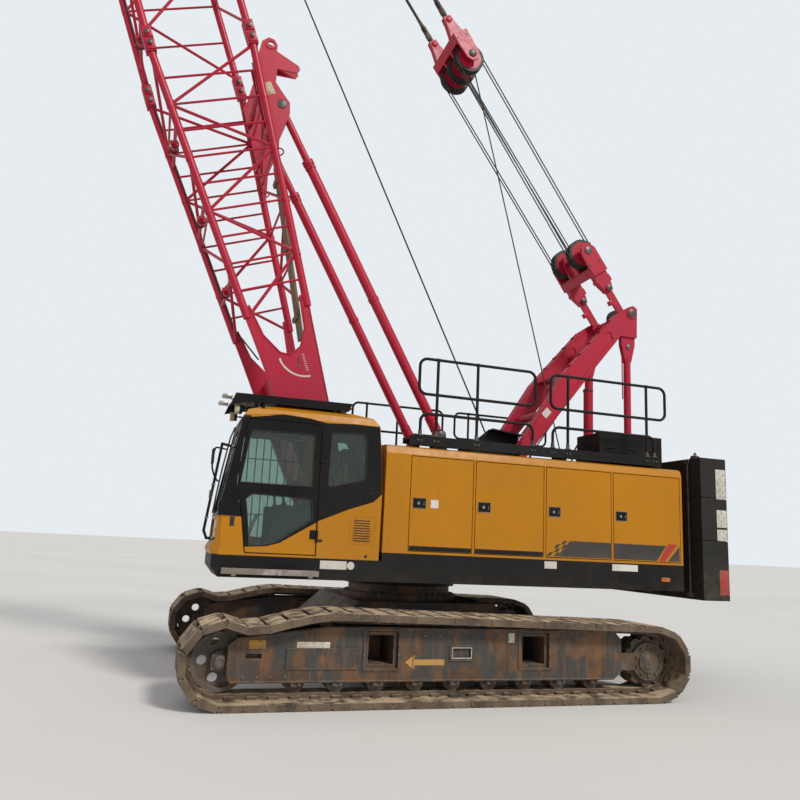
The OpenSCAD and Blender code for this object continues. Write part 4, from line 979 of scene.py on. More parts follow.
    def done(self, crease: float = 35.0) -> bpy.types.Object:
        """Finishes the piece and lets it ride on its body.

        Args:
            crease: angle above which an edge stays sharp, in degrees.

        Returns:
            The finished object.
        """
        made = self.made(crease)
        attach(made, self.body)
        return made

    def stretched(self) -> bpy.types.Object:
        """Finishes the piece and leaves it fixed in the world, riding on no body.

        Returns:
            The finished object.
        """
        made = self.made(50.0)
        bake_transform(made)
        return made


WARDROBE = Wardrobe()

# Crawlers


@dataclass
class TrackDressing:
    """Interlocking lumps, pins and end bosses of one track's shoes."""

    side: Side
    wheelbase: float = 4.66
    tread: float = 0.285
    shoe_top: float = 0.115
    root: float = 0.062
    run: int = 23
    arc: int = 5
    carrier: int = 5
    carrier_z: float = 0.765
    sag: float = 0.085
    half_width: float = 0.38

    def corners(self, off: float) -> list[Pair]:
        """Gives the corners between shoes.

        Args:
            off: distance outside the chain's tread line.

        Returns:
            Points (x, z) round the loop.
        """
        half, axle = self.wheelbase / 2, self.shoe_top + self.tread
        pitch = self.wheelbase / self.run
        points = [(-half + pitch * i, self.shoe_top - off) for i in range(self.run + 1)]
        for end in (1, -1):
            for i in range(1, self.arc):
                angle = math.radians(-90 * end + 180 * i / self.arc)
                r = self.tread + off
                points.append((end * half + r * math.cos(angle), axle + r * math.sin(angle)))
            if end == 1:
                points += [(x, self.top(x) + off) for x in (half - pitch * i for i in range(self.run + 1))]
        return points

    def top(self, x: float) -> float:
        """Gives the height of the top run's tread line at x."""
        half, low = self.wheelbase / 2, self.shoe_top + 2 * self.tread
        at = half - self.carrier * self.wheelbase / self.run
        if x > at:
            f = (x - at) / (half - at)
            return self.carrier_z + (low - self.carrier_z) * f - self.sag * math.sin(math.pi * f * f)
        return self.carrier_z + (low - self.carrier_z) * (at - x) / (half + at)

    def build(self) -> None:
        """Makes the lumps and the pins of every shoe."""
        name = self.side.name.lower()
        lumps = Piece(f"{name}_shoe_lumps", "carbody", SHOE_STEEL)
        pins = Piece(f"{name}_shoe_pins", "carbody", WHEEL_STEEL, "track_steel")
        loop = self.corners(self.root)
        y0 = self.side.value * TRACK_Y
        for a, b in zip(loop, loop[1:] + loop[:1]):
            along = Vector((b[0] - a[0], 0.0, b[1] - a[1]))
            pitch = along.length
            along.normalize()
            out = Vector((along.z, 0.0, -along.x))
            place = Matrix((along, (0.0, 1.0, 0.0), out)).transposed().to_4x4()
            place.translation = (a[0], y0, a[1])
            self.shoe(lumps, pins, place, pitch)
        lumps.done()
        pins.done()

    def shoe(self, lumps: Piece, pins: Piece, place: Matrix, pitch: float) -> None:
        """Adds the details of one shoe.

        Args:
            lumps: piece that takes the castings.
            pins: piece that takes the pins.
            place: frame of the shoe, x along it and z away from the chain.
            pitch: its length.
        """
        for s in (1, -1):
            y = s * (self.half_width - 0.050)
            self.lump(lumps, place, (pitch - 0.034, y - 0.042, 0.006), (pitch + 0.016, y + 0.042, 0.049))
            y = s * (self.half_width - 0.150)
            self.lump(lumps, place, (pitch - 0.016, y - 0.045, 0.006), (pitch + 0.034, y + 0.045, 0.046))
            self.lump(lumps, place, (0.045, s * 0.155 - 0.015, -0.045),
                      (pitch - 0.06, s * 0.155 + 0.015, 0.002))
            ends = [place @ Vector((pitch, s * t, 0.024)) for t in (0.30, self.half_width - 0.0015)]
            pins.rod(*ends, 0.018, 10)

    @staticmethod
    def lump(piece: Piece, place: Matrix, low: Point, high: Point) -> None:
        """Adds a casting narrower on its outer side.

        Args:
            piece: piece that takes it.
            place: frame of the shoe.
            low: its lowest corner.
            high: its highest corner.
        """
        made = bmesh.ops.create_cube(piece.bm, size=1.0)["verts"]
        for v in made:
            pinch = 0.82 if v.co.z > 0 else 1.0
            v.co = Vector([(lo + hi) / 2 + c * k * (hi - lo) for lo, hi, c, k in
                           zip(low, high, v.co, (pinch, pinch, 1.0))])
        bmesh.ops.transform(piece.bm, matrix=place, verts=made)


@dataclass
class TrackFrameDressing:
    """Bolts, wheel caps, edge strips and hoses on one track frame."""

    side: Side
    roller_x0: float = -1.62
    roller_step: float = 0.405
    rollers: int = 9
    wheel_z: float = 0.400
    half_base: float = 2.33
    beam_half: float = 0.16
    lip_z: float = 0.722

    def build(self) -> None:
        """Makes the fastenings and the caps of one track frame."""
        s, name = self.side.value, self.side.name.lower()
        outer = s * (TRACK_Y + 0.2)
        bolts = Piece(f"{name}_frame_bolts", "carbody", WHEEL_STEEL)
        for i in range(self.rollers):
            x = self.roller_x0 + self.roller_step * i
            bolts.bolts([(x + d, s * (TRACK_Y + 0.184), 0.205) for d in (-0.034, 0.034)], Axis.Y, 0.010,
                        s * 0.012)
        bolts.bolts(circle((-self.half_base, self.wheel_z), 0.155, s * (TRACK_Y + 0.149), 10, 0.5), Axis.Y,
                    0.014, s * 0.020)
        for x in (0.79, -0.89):
            bolts.bolts([(x + d * (self.beam_half + 0.019), outer + s * 0.0115, z) for d in (-1, 1)
                         for z in (0.36, 0.47, 0.58, 0.69)], Axis.Y, 0.008, s * 0.010)
        bolts.bolts([(1.60 + 0.13 * i, outer, 0.275) for i in range(5)], Axis.Y, 0.009, s * 0.010)
        bolts.bolts([(x, outer, 0.66) for x in (0.34, 0.18, -0.32, -0.46, -1.36, -1.52)], Axis.Y, 0.009,
                    s * 0.010)
        bolts.done()
        caps = Piece(f"{name}_wheel_caps", "carbody", WHEEL_STEEL)
        for i in range(self.rollers):
            x = self.roller_x0 + self.roller_step * i
            caps.cap((x, s * (TRACK_Y + 0.146), 0.2103), Axis.Y, s, (0.034, 0.022), (0.026, 0.030), 20)
        caps.turned((self.half_base, s * (TRACK_Y + 0.137), self.wheel_z), Axis.Y,
                    [(0.0, 0.0), (0.062, 0.0), (0.062, s * 0.014), (0.050, s * 0.022), (0.030, s * 0.022),
                     (0.026, s * 0.012), (0.0, s * 0.012)], 28)
        caps.turned((-self.half_base, s * (TRACK_Y + 0.164), self.wheel_z), Axis.Y,
                    [(0.0, 0.0), (0.085, 0.0), (0.085, s * 0.008), (0.060, s * 0.016), (0.022, s * 0.018),
                     (0.022, s * 0.026), (0.0, s * 0.026)], 28)
        caps.done()
        self.seams(outer)
        self.drive_hoses()

    def seams(self, outer: float) -> None:
        """Lays the welded edge strips on the frame's outer face.

        Args:
            outer: y of the face.
        """
        s, name = self.side.value, self.side.name.lower()
        strips = Piece(f"{name}_frame_strips", "carbody", FRAME_STEEL)
        edge = [(1.31, self.lip_z), (2.18, 0.615), (2.262, 0.552), (2.262, 0.285), (2.225, 0.233),
                (-1.84, 0.233)]
        strips.tube(at_y(outer, edge), 0.009, 8)
        for run in ((1.31, 1.02), (0.57, -0.66), (-1.12, -1.84)):
            strips.tube([(x, outer, self.lip_z) for x in run], 0.009, 8)
        for x in (0.46, -0.58, -1.22, -1.72):
            strips.tube([(x, outer, 0.235), (x, outer, 0.720)], 0.006, 6)
        for x, z in ((1.03, 0.345), (-0.19, 0.42)):
            wide, tall = (0.70, 0.19) if x > 0 else (0.26, 0.15)
            ring = [(x, z), (x + wide, z), (x + wide, z + tall), (x, z + tall), (x, z)]
            strips.tube([(a, outer + s * 0.0115, b) for a, b in ring], 0.005, 6)
        strips.done()

    def drive_hoses(self) -> None:
        """Hangs the hoses of the track motor inside the frame."""
        s, name = self.side.value, self.side.name.lower()
        hoses = Piece(f"{name}_drive_hoses", "carbody", RUBBER, "undercarriage")
        for i in range(4):
            y = s * (TRACK_Y - 0.235 - 0.035 * i)
            hoses.tube([(-2.20, s * (TRACK_Y - 0.192), 0.46 + 0.02 * i), (-2.05, y, 0.50 + 0.03 * i),
                        (-1.75, y, 0.52),
                        (-1.30, s * 1.1, 0.50 + 0.02 * i), (-1.16, s * (0.62 + 0.05 * i), 0.50)], 0.016, 12,
                       True)
        hoses.done()


@dataclass
class UndercarriageMarks:
    """Blank stickers, travel arrow and painted rim on the near track frame."""

    face: float = 1.9705

    def build(self) -> None:
        """Makes the stickers and the arrow."""
        spots = (("yellow_sticker", DECAL_YELLOW, (1.93, 0.53), (2.087, 0.608)),
                 ("white_sticker", LABEL, (1.313, 0.514), (1.635, 0.593)),
                 ("rear_sticker", LABEL, (-0.655, 0.598), (-0.585, 0.694)))
        for name, finish, low, high in spots:
            piece = Piece(name, "carbody", finish, "undercarriage")
            piece.block((low[0], self.face - 0.002, low[1]), (high[0], self.face + 0.0015, high[1]), 0.001)
            piece.done()
        arrow = Piece("travel_arrow", "carbody", DECAL_YELLOW)
        arrow.plate([(0.545, 0.405), (0.445, 0.478), (0.445, 0.432), (0.125, 0.432), (0.125, 0.376),
                     (0.445, 0.376), (0.445, 0.332)], self.face - 0.002, self.face + 0.0012)
        arrow.done()
        rim = Piece("socket_rim", "carbody", LABEL, "undercarriage")
        ring = [(-0.165, 0.445), (0.045, 0.445), (0.045, 0.545), (-0.165, 0.545), (-0.165, 0.445)]
        rim.tube(at_y(self.face + 0.0115, ring), 0.006, 8)
        rim.done()


@dataclass
class CarbodyDressing:
    """Slewing ring bolts, swivel hoses, beam pins, ladder rungs and lashing eyes of the carbody."""

    ring_r: float = 0.68
    ring_bolts: int = 48

    def build(self) -> None:
        """Makes the fittings of the carbody."""
        ring = Piece("slewing_bolts", "carbody", GREY_STEEL, "undercarriage")
        for i in range(self.ring_bolts):
            angle = math.tau * i / self.ring_bolts
            spot = (self.ring_r * math.cos(angle), self.ring_r * math.sin(angle), 0.959)
            ring.rod(spot, (spot[0], spot[1], 0.978), 0.015, 6)
        ring.done()
        hoses = Piece("swivel_hoses", "carbody", RUBBER, "undercarriage")
        for i in range(6):
            y = -0.30 + 0.12 * i
            hoses.tube([(-0.10, y * 0.3, 0.92), (-0.30, y, 0.86), (-0.60, y * 1.3, 0.91),
                        (-0.86, y * 1.5, 0.92),
                        (-1.02, y * 1.5, 0.82), (-1.20, y * 1.5, 0.66)], 0.014, 10, True)
        hoses.done()
        pins = Piece("beam_pins", "carbody", GREY_STEEL, "undercarriage")
        lugs = Piece("lashing_eyes", "carbody", FRAME_STEEL)
        steps = Piece("carbody_rungs", "carbody", FRAME_STEEL)
        for s in (1, -1):
            for x in (0.79, -0.89):
                for d in (-0.09, 0.09):
                    pins.cap((x + d, s * 1.30, 0.688), Axis.Z, 1, (0.030, 0.035), (0.020, 0.045), 18)
            for x, out in ((1.078, 1), (-1.178, -1)):
                lugs.tube([(x, s * 0.72, 0.43), (x + out * 0.06, s * 0.72, 0.44),
                           (x + out * 0.085, s * 0.72, 0.50),
                           (x + out * 0.06, s * 0.72, 0.56), (x, s * 0.72, 0.57)], 0.016, 12, True)
            for z in (0.42, 0.60):
                steps.tube([(-0.16, s * 0.998, z), (-0.16, s * 1.10, z), (0.16, s * 1.10, z),
                            (0.16, s * 0.998, z)],
                           0.012, 8)
        for piece in (pins, lugs, steps):
            piece.done()


# Housings

DOOR_SEAMS = {Side.LEFT: (0.447, -0.326, -1.214, -2.113, -3.107),
              Side.RIGHT: (-0.500, -1.360, -2.220, -3.107)}


@dataclass
class HousingDoors:
    """Latches, handles, lock covers, stiffeners, seals and black foot strips of the doors on one side."""

    side: Side
    low: float = 1.488
    high: float = 2.507
    latch_z: float = 1.999

    def spans(self) -> list[Pair]:
        """Gives each door's rear and front edge."""
        seams = DOOR_SEAMS[self.side]
        last = len(seams) - 2
        return [((seams[-1] + 0.038) if i == last else seams[i + 1] + 0.020, seams[i] - 0.020)
                for i in range(len(seams) - 1)]

    def build(self) -> None:
        """Makes the fittings of every door."""
        s, name = self.side.value, self.side.name.lower()
        face = s * SIDE_Y
        for i, (rear, front) in enumerate(self.spans()):
            body = f"{name}_door_{i + 1}"
            latch = Piece(f"{body}_latch", body, CAB_BLACK)
            x, z = front - 0.105, self.latch_z
            latch.block((x - 0.072, face - 0.002, z - 0.052), (x + 0.072, face + 0.003, z + 0.052), 0.0012)
            latch.done()
            key = Piece(f"{body}_latch_rim", body, BRIGHT)
            ring = [(-0.075, -0.055), (0.075, -0.055), (0.075, 0.055), (-0.075, 0.055), (-0.075, -0.055)]
            key.tube([(x + a, face + s * 0.0015, z + b) for a, b in ring], 0.0042, 8)
            key.cap((x + 0.01, face + s * 0.002, z), Axis.Y, s, (0.016, 0.004), (0.011, 0.0052), 20)
            key.tube([(x - 0.052, face + s * 0.003, z - 0.020), (x - 0.052, face + s * 0.007, z),
                      (x - 0.052, face + s * 0.003, z + 0.020)], 0.004, 6)
            key.done()
            cover = Piece(f"{body}_lock_cover", body, YELLOW_SKIN)
            cover.block((x - 0.048, face - 0.002, 2.057), (x + 0.048, face + 0.0006, 2.153))
            cover.done()
            self.folds(body, rear, front, face)
            if i < 2 and self.side is Side.LEFT:
                strip = Piece(f"{body}_foot_strip", body, BLACK)
                strip.block((rear + 0.002, face - 0.003, self.low + 0.002),
                            (front - 0.002, face + 0.0008, self.low + 0.052), 0.0008)
                strip.done()
        self.seals(face)

    def folds(self, body: str, rear: float, front: float, face: float) -> None:
        """Adds the folded stiffeners inside one door.

        Args:
            body: the door.
            rear: its rear edge.
            front: its front edge.
            face: y of its outer face.
        """
        s = self.side.value
        inside = Piece(f"{body}_stiffeners", body, YELLOW)
        for z in (self.low + 0.12, self.high - 0.14):
            inside.block((rear + 0.08, face - s * 0.036, z), (front - 0.18, face - s * 0.052, z + 0.05),
                         0.004)
        inside.done()

    def seals(self, face: float) -> None:
        """Lays the rubber seals round the door openings.

        Args:
            face: y of the outer face.
        """
        s, name = self.side.value, self.side.name.lower()
        seal = Piece(f"{name}_door_seals", "upper", RUBBER)
        depth = face - s * 0.032
        for rear, front in self.spans():
            a, b, c, d = rear - 0.0045, front + 0.0045, self.low - 0.0045, self.high + 0.0045
            seal.tube(at_y(depth, ((a, c), (b, c), (b, d), (a, d), (a, c))), 0.0033, 6)
        seal.done()


@dataclass
class HousingMarks:
    """Decal band with chequers and red slash, blank labels and side lamp of the left housing."""

    face: float = SIDE_Y

    def patch(self, name: str, body: str, finish: Finish, outline: list[Pair], proud: float = 0.0012) -> None:
        """Adds a thin sticker.

        Args:
            name: its name.
            body: what it moves with.
            finish: its finish.
            outline: its x and z corners.
            proud: how far it stands off the paint.
        """
        piece = Piece(name, body, finish, "yellow_paint" if "door" in body else "black_paint")
        piece.plate(outline, self.face - 0.002, self.face + proud)
        piece.done()

    def build(self) -> None:
        """Makes the stickers and the lamp."""
        low, high = 1.497, 1.680
        self.patch("decal_band_front", "left_door_3", DECAL_GREY,
                   [(-1.542, high), (-2.092, high), (-2.092, low), (-1.375, low)])
        self.patch("decal_band_rear", "left_door_4", DECAL_GREY,
                   [(-2.134, high), (-2.865, high), (-2.727, low), (-2.134, low)])
        self.patch("decal_slash", "left_door_4", DECAL_RED,
                   [(-2.895, high + 0.022), (-3.022, high + 0.022), (-2.846, low), (-2.755, low)])
        self.patch("decal_end", "left_door_4", DECAL_GREY, [(-3.056, high), (-3.056, low), (-2.885, low)])
        chequers = Piece("decal_chequers", "left_door_3", DECAL_GREY)
        height, lean = (high - low) / 4, 0.046
        for row in range(4):
            for col in range(3):
                if (row + col) % 2 == 0:
                    x, z = -1.236 - lean * (row + col), low + height * row
                    chequers.plate([(x, z), (x - lean, z), (x - 2 * lean, z + height),
                                    (x - lean, z + height)],
                                   self.face - 0.002, self.face + 0.001)
        chequers.done()
        self.patch("front_sticker", "upper", LABEL,
                   [(-1.214, 1.438), (-1.371, 1.438), (-1.371, 1.358), (-1.214, 1.358)])
        self.patch("rear_sticker_band", "upper", LABEL,
                   [(-2.106, 1.438), (-2.457, 1.438), (-2.457, 1.362), (-2.106, 1.362)])
        self.patch("small_sticker", "left_door_1", LABEL,
                   [(0.190, 2.045), (0.100, 2.045), (0.100, 1.955), (0.190, 1.955)])
        for s in (1, -1):
            side = "left" if s > 0 else "right"
            lamp = Piece(f"{side}_marker_lamp", "upper", AMBER, "black_paint")
            lens_y = s * (SIDE_Y + 0.012)
            lamp.block((-2.905, s * (SIDE_Y - 0.004), 1.256), (-2.781, lens_y, 1.306), 0.006)
            for i in range(5):
                x = -2.893 + 0.025 * i
                lamp.tube([(x, lens_y, 1.266), (x, lens_y, 1.296)], 0.0025, 6)
            lamp.done()


@dataclass
class HousingTrim:
    """Roof fasteners, lifting eyes, grille slats, seam strips and skirt bolts of both housings."""

    def build(self) -> None:
        """Makes the trim of both housings."""
        screws = Piece("roof_screws", "upper", GREY_STEEL, "yellow_paint")
        seams = Piece("roof_seams", "upper", YELLOW)
        bolts = Piece("skirt_bolts", "upper", GREY_STEEL, "black_paint")
        eyes = Piece("roof_eyes", "upper", GREY_STEEL, "yellow_paint")
        for side in Side:
            s = side.value
            for seam in DOOR_SEAMS[side][:-1]:
                seams.tube([(seam, s * 0.68, 2.6195), (seam, s * 1.22, 2.6195)], 0.006, 8)
                screws.bolts([(seam + d, s * y, HOUSE_ROOF) for d in (-0.035, 0.035)
                              for y in (0.72, 0.90, 1.08, 1.20)],
                             Axis.Z, 0.009, 0.010)
            for x in (-2.0, -0.9, 0.2):
                eyes.tube([(x - 0.035, s * 0.80, 2.618), (x - 0.035, s * 0.80, 2.66), (x, s * 0.80, 2.69),
                           (x + 0.035, s * 0.80, 2.66), (x + 0.035, s * 0.80, 2.618)], 0.009, 8, True)
            bolts.bolts([(x, s * (SIDE_Y - 0.010), z) for x in (0.60, -0.25, -1.10, -1.95, -2.70)
                         for z in (1.195, 1.415)], Axis.Y, 0.010, s * 0.0098)
        for piece in (screws, seams, bolts, eyes):
            piece.done()
        slats = Piece("right_grille_slats", "upper", YELLOW)
        mesh = Piece("right_grille_frame", "upper", RUBBER)
        tilt = Matrix.Rotation(math.radians(-28), 4, "X")
        for i in range(8):
            z = 1.750 + 0.075 * i
            slats.block((-0.375, -SIDE_Y + 0.002, z + 0.010), (0.415, -SIDE_Y + 0.016, z + 0.013), 0.0, tilt)
            mesh.block((-0.378, -SIDE_Y + 0.0085, z + 0.001), (0.418, -SIDE_Y + 0.0105, z + 0.029))
        slats.done()
        mesh.done()
        self.front_wall()

    def front_wall(self) -> None:
        """Adds the grab rails and the small hatch on the front wall of the right housing."""
        rails = Piece("front_grab_rails", "upper", BLACK)
        for y in (-0.74, -1.50):
            rails.tube([(0.718, y, 1.62), (0.765, y, 1.64), (0.775, y, 1.75), (0.775, y, 2.35),
                        (0.765, y, 2.46), (0.718, y, 2.48)], 0.014, 12, True)
        for i in range(4):
            rails.block((0.719, -1.30, 1.56 + 0.26 * i), (0.775, -0.94, 1.585 + 0.26 * i), 0.004)
        rails.done()
        hatch = Piece("front_hatch", "upper", YELLOW)
        hatch.block((0.7195, -1.46, 1.22), (0.7245, -0.80, 1.42), 0.002)
        hatch.bolts([(0.7235, y, z) for y in (-1.42, -1.13, -0.84) for z in (1.25, 1.39)], Axis.X, 0.008,
                    0.008)
        hatch.done()


# Cab


DOOR_OPENING = [(1.431, 1.390), (2.160, 1.390), (2.173, 1.445), (2.220, 1.752), (2.262, 1.930),
                (2.292, 2.100), (2.245, 2.700), (2.205, 2.762), (1.500, 2.762), (1.446, 2.700)]
DOOR_PANES = [[(1.513, 2.095), (2.258, 2.095), (2.201, 2.552), (2.175, 2.640), (1.513, 2.647)],
              [(1.506, 1.969), (1.490, 1.754), (1.842, 1.510), (1.943, 1.480), (2.120, 1.466), (2.165, 1.790),
               (2.190, 1.930), (2.128, 1.985)]]
QUARTER_PANE = [(0.942, 2.229), (0.996, 2.191), (1.325, 2.107), (1.347, 2.133), (1.343, 2.690),
                (0.983, 2.695), (0.943, 2.629)]
FAR_PANE = [(1.480, 1.550), (2.200, 1.550), (2.300, 1.800), (2.290, 2.100), (2.190, 2.660), (1.480, 2.660)]


@dataclass
class CabPaint:
    """Yellow and black parts of the cab's near side: skins laid on the shell and the door."""

    face: float = SIDE_Y
    thick: float = 0.0009

    def skin(self, name: str, body: str, finish: Finish, outer: list[Pair], holes: list[list[Pair]]) -> None:
        """Lays a thin skin with openings on the outer face.

        Args:
            name: its name.
            body: what it moves with.
            finish: its finish.
            outer: its outline (x, z).
            holes: outlines of its openings.
        """
        piece = Piece(name, body, finish)
        edges = []
        for ring in [outer, *holes]:
            verts = [piece.bm.verts.new((x, self.face, z)) for x, z in ring]
            edges += [piece.bm.edges.new((a, b)) for a, b in zip(verts, verts[1:] + verts[:1])]
        bmesh.ops.triangle_fill(piece.bm, edges=edges, use_beauty=True, use_dissolve=False)
        grown = bmesh.ops.extrude_face_region(piece.bm, geom=list(piece.bm.faces))["geom"]
        moved = [g for g in grown if isinstance(g, bmesh.types.BMVert)]
        bmesh.ops.translate(piece.bm, verts=moved, vec=(0.0, self.thick, 0.0))
        bmesh.ops.translate(piece.bm, verts=piece.bm.verts, vec=(0.0, -0.0002, 0.0))
        bmesh.ops.recalc_face_normals(piece.bm, faces=piece.bm.faces)
        piece.done()

    def build(self) -> None:
        """Makes the black upper side and the yellow door foot."""
        gap = [(1.4355, 1.742), *reversed(DOOR_OPENING[3:]), (2.2195, 1.7515)]
        upper = [(2.452, 1.7535), (2.280, 2.7575), (1.866, 2.828), (1.594, 2.812), (1.398, 2.779),
                 (1.103, 2.796),
                 (0.812, 2.791), (0.767, 2.366), (0.7525, 2.066), (0.842, 1.978), (1.117, 1.881)]
        self.skin("cab_black_side", "upper", CAB_BLACK, [*upper, *gap, (2.226, 1.7535)], [QUARTER_PANE])
        reveal = Piece("door_reveal", "upper", RUBBER)
        rings = []
        for x, z in DOOR_OPENING:
            inward = (Vector((1.86, 0.0, 2.08)) - Vector((x, 0.0, z))).normalized() * 0.0012
            rings.append([reveal.bm.verts.new((x + inward.x, y, z + inward.z)) for y in
                          (self.face - 0.045, self.face + 0.0006)])
        for a, b in zip(rings, rings[1:] + rings[:1]):
            reveal.bm.faces.new((a[0], b[0], b[1], a[1]))
        bmesh.ops.solidify(reveal.bm, geom=list(reveal.bm.faces), thickness=0.0006)
        bmesh.ops.recalc_face_normals(reveal.bm, faces=reveal.bm.faces)
        reveal.done()
        foot = [(1.441, 1.401), (2.152, 1.401), (2.162, 1.4525), (1.943, 1.467), (1.816, 1.505),
                (1.449, 1.7285)]
        self.skin("door_yellow_foot", "cab_door", YELLOW, foot, [])


@dataclass
class CabSeams:
    """Panel gaps, window seals, hinge cover, louvre frame and plug of the cab."""

    def build(self) -> None:
        """Makes the seams and seals."""
        seal = Piece("cab_window_seals", "upper", RUBBER)
        for pane, y in ((QUARTER_PANE, SIDE_Y - 0.006), (QUARTER_PANE, 0.766), (FAR_PANE, 0.766)):
            seal.tube(at_y(y, [*pane, pane[0], pane[1]]), 0.009, 8)
        seal.tube([(2.4475, y, 1.51) for y in (0.85, 1.49)], 0.007, 8)
        for y in (0.838, 1.502):
            seal.tube([(2.437, y, 1.79), (2.295, y, 2.64)], 0.009, 8)
            seal.tube([(0.757, y + (0.045 if y < 1 else -0.045), z) for z in (1.95, 2.56)], 0.008, 8)
        for x, z in ((2.437, 1.793), (2.296, 2.637)):
            seal.tube([(x, 0.838, z), (x, 1.502, z)], 0.009, 8)
        seal.done()
        door = Piece("door_window_seals", "cab_door", RUBBER)
        for pane in DOOR_PANES:
            door.tube(at_y(SIDE_Y - 0.006, [*pane, pane[0], pane[1]]), 0.008, 8)
        door.done()
        gaps = Piece("cab_panel_gaps", "upper", RUBBER)
        for path in ([(2.422, 1.740), (2.216, 1.752)], [(2.405, 1.428), (2.422, 1.740)],
                     [(1.431, 1.372), (1.431, 1.74)]):
            gaps.tube(at_y(SIDE_Y - 0.0012, path), 0.0028, 6)
        gaps.block((2.283, SIDE_Y - 0.002, 1.651), (2.329, SIDE_Y + 0.0012, 1.749), 0.0005)
        gaps.block((0.760, SIDE_Y - 0.004, 1.3665), (2.470, SIDE_Y - 0.0005, 1.3715))
        gaps.turned((0.898, SIDE_Y, 1.406), Axis.Y,
                    [(0.0, -0.004), (0.016, -0.004), (0.016, 0.003), (0.0, 0.004)], 16)
        gaps.turned((1.45, 0.758, 1.42), Axis.Y,
                    [(0.0, 0.004), (0.018, 0.004), (0.018, -0.002), (0.0, -0.002)], 16)
        gaps.done()
        frame = Piece("louvre_frame", "upper", YELLOW)
        # The dark strips between the louvre's slats are painted shade in its gaps
        dark = Piece("louvre_shadow", "upper", RUBBER)
        ring = [(0.817, 1.526), (1.086, 1.526), (1.086, 1.812), (0.817, 1.812), (0.817, 1.526)]
        frame.tube(at_y(SIDE_Y - 0.0005, ring), 0.0032, 6)
        frame.block((0.846, SIDE_Y - 0.002, 1.543), (1.060, SIDE_Y + 0.0010, 1.796), 0.0004)
        for i in range(9):
            z = 1.558 + 0.0262 * i
            dark.block((0.868, SIDE_Y, z), (1.040, SIDE_Y + 0.0018, z + 0.0095))
            frame.tube([(0.864, SIDE_Y + 0.0015, z + 0.013), (1.044, SIDE_Y + 0.0015, z + 0.013)], 0.0042, 6)
        frame.done()
        # This dark block at the back of the grip's recess is painted shade
        dark.block((0.808, SIDE_Y - 0.0135, 2.042), (0.902, SIDE_Y - 0.0105, 2.072))
        dark.done()
        grip = Piece("quarter_grip", "upper", GREY_STEEL, "black_paint")
        grip.tube([(0.812, SIDE_Y - 0.006, 2.071), (0.858, SIDE_Y - 0.002, 2.0735),
                   (0.900, SIDE_Y - 0.006, 2.071)],
                  0.004, 8)
        grip.done()


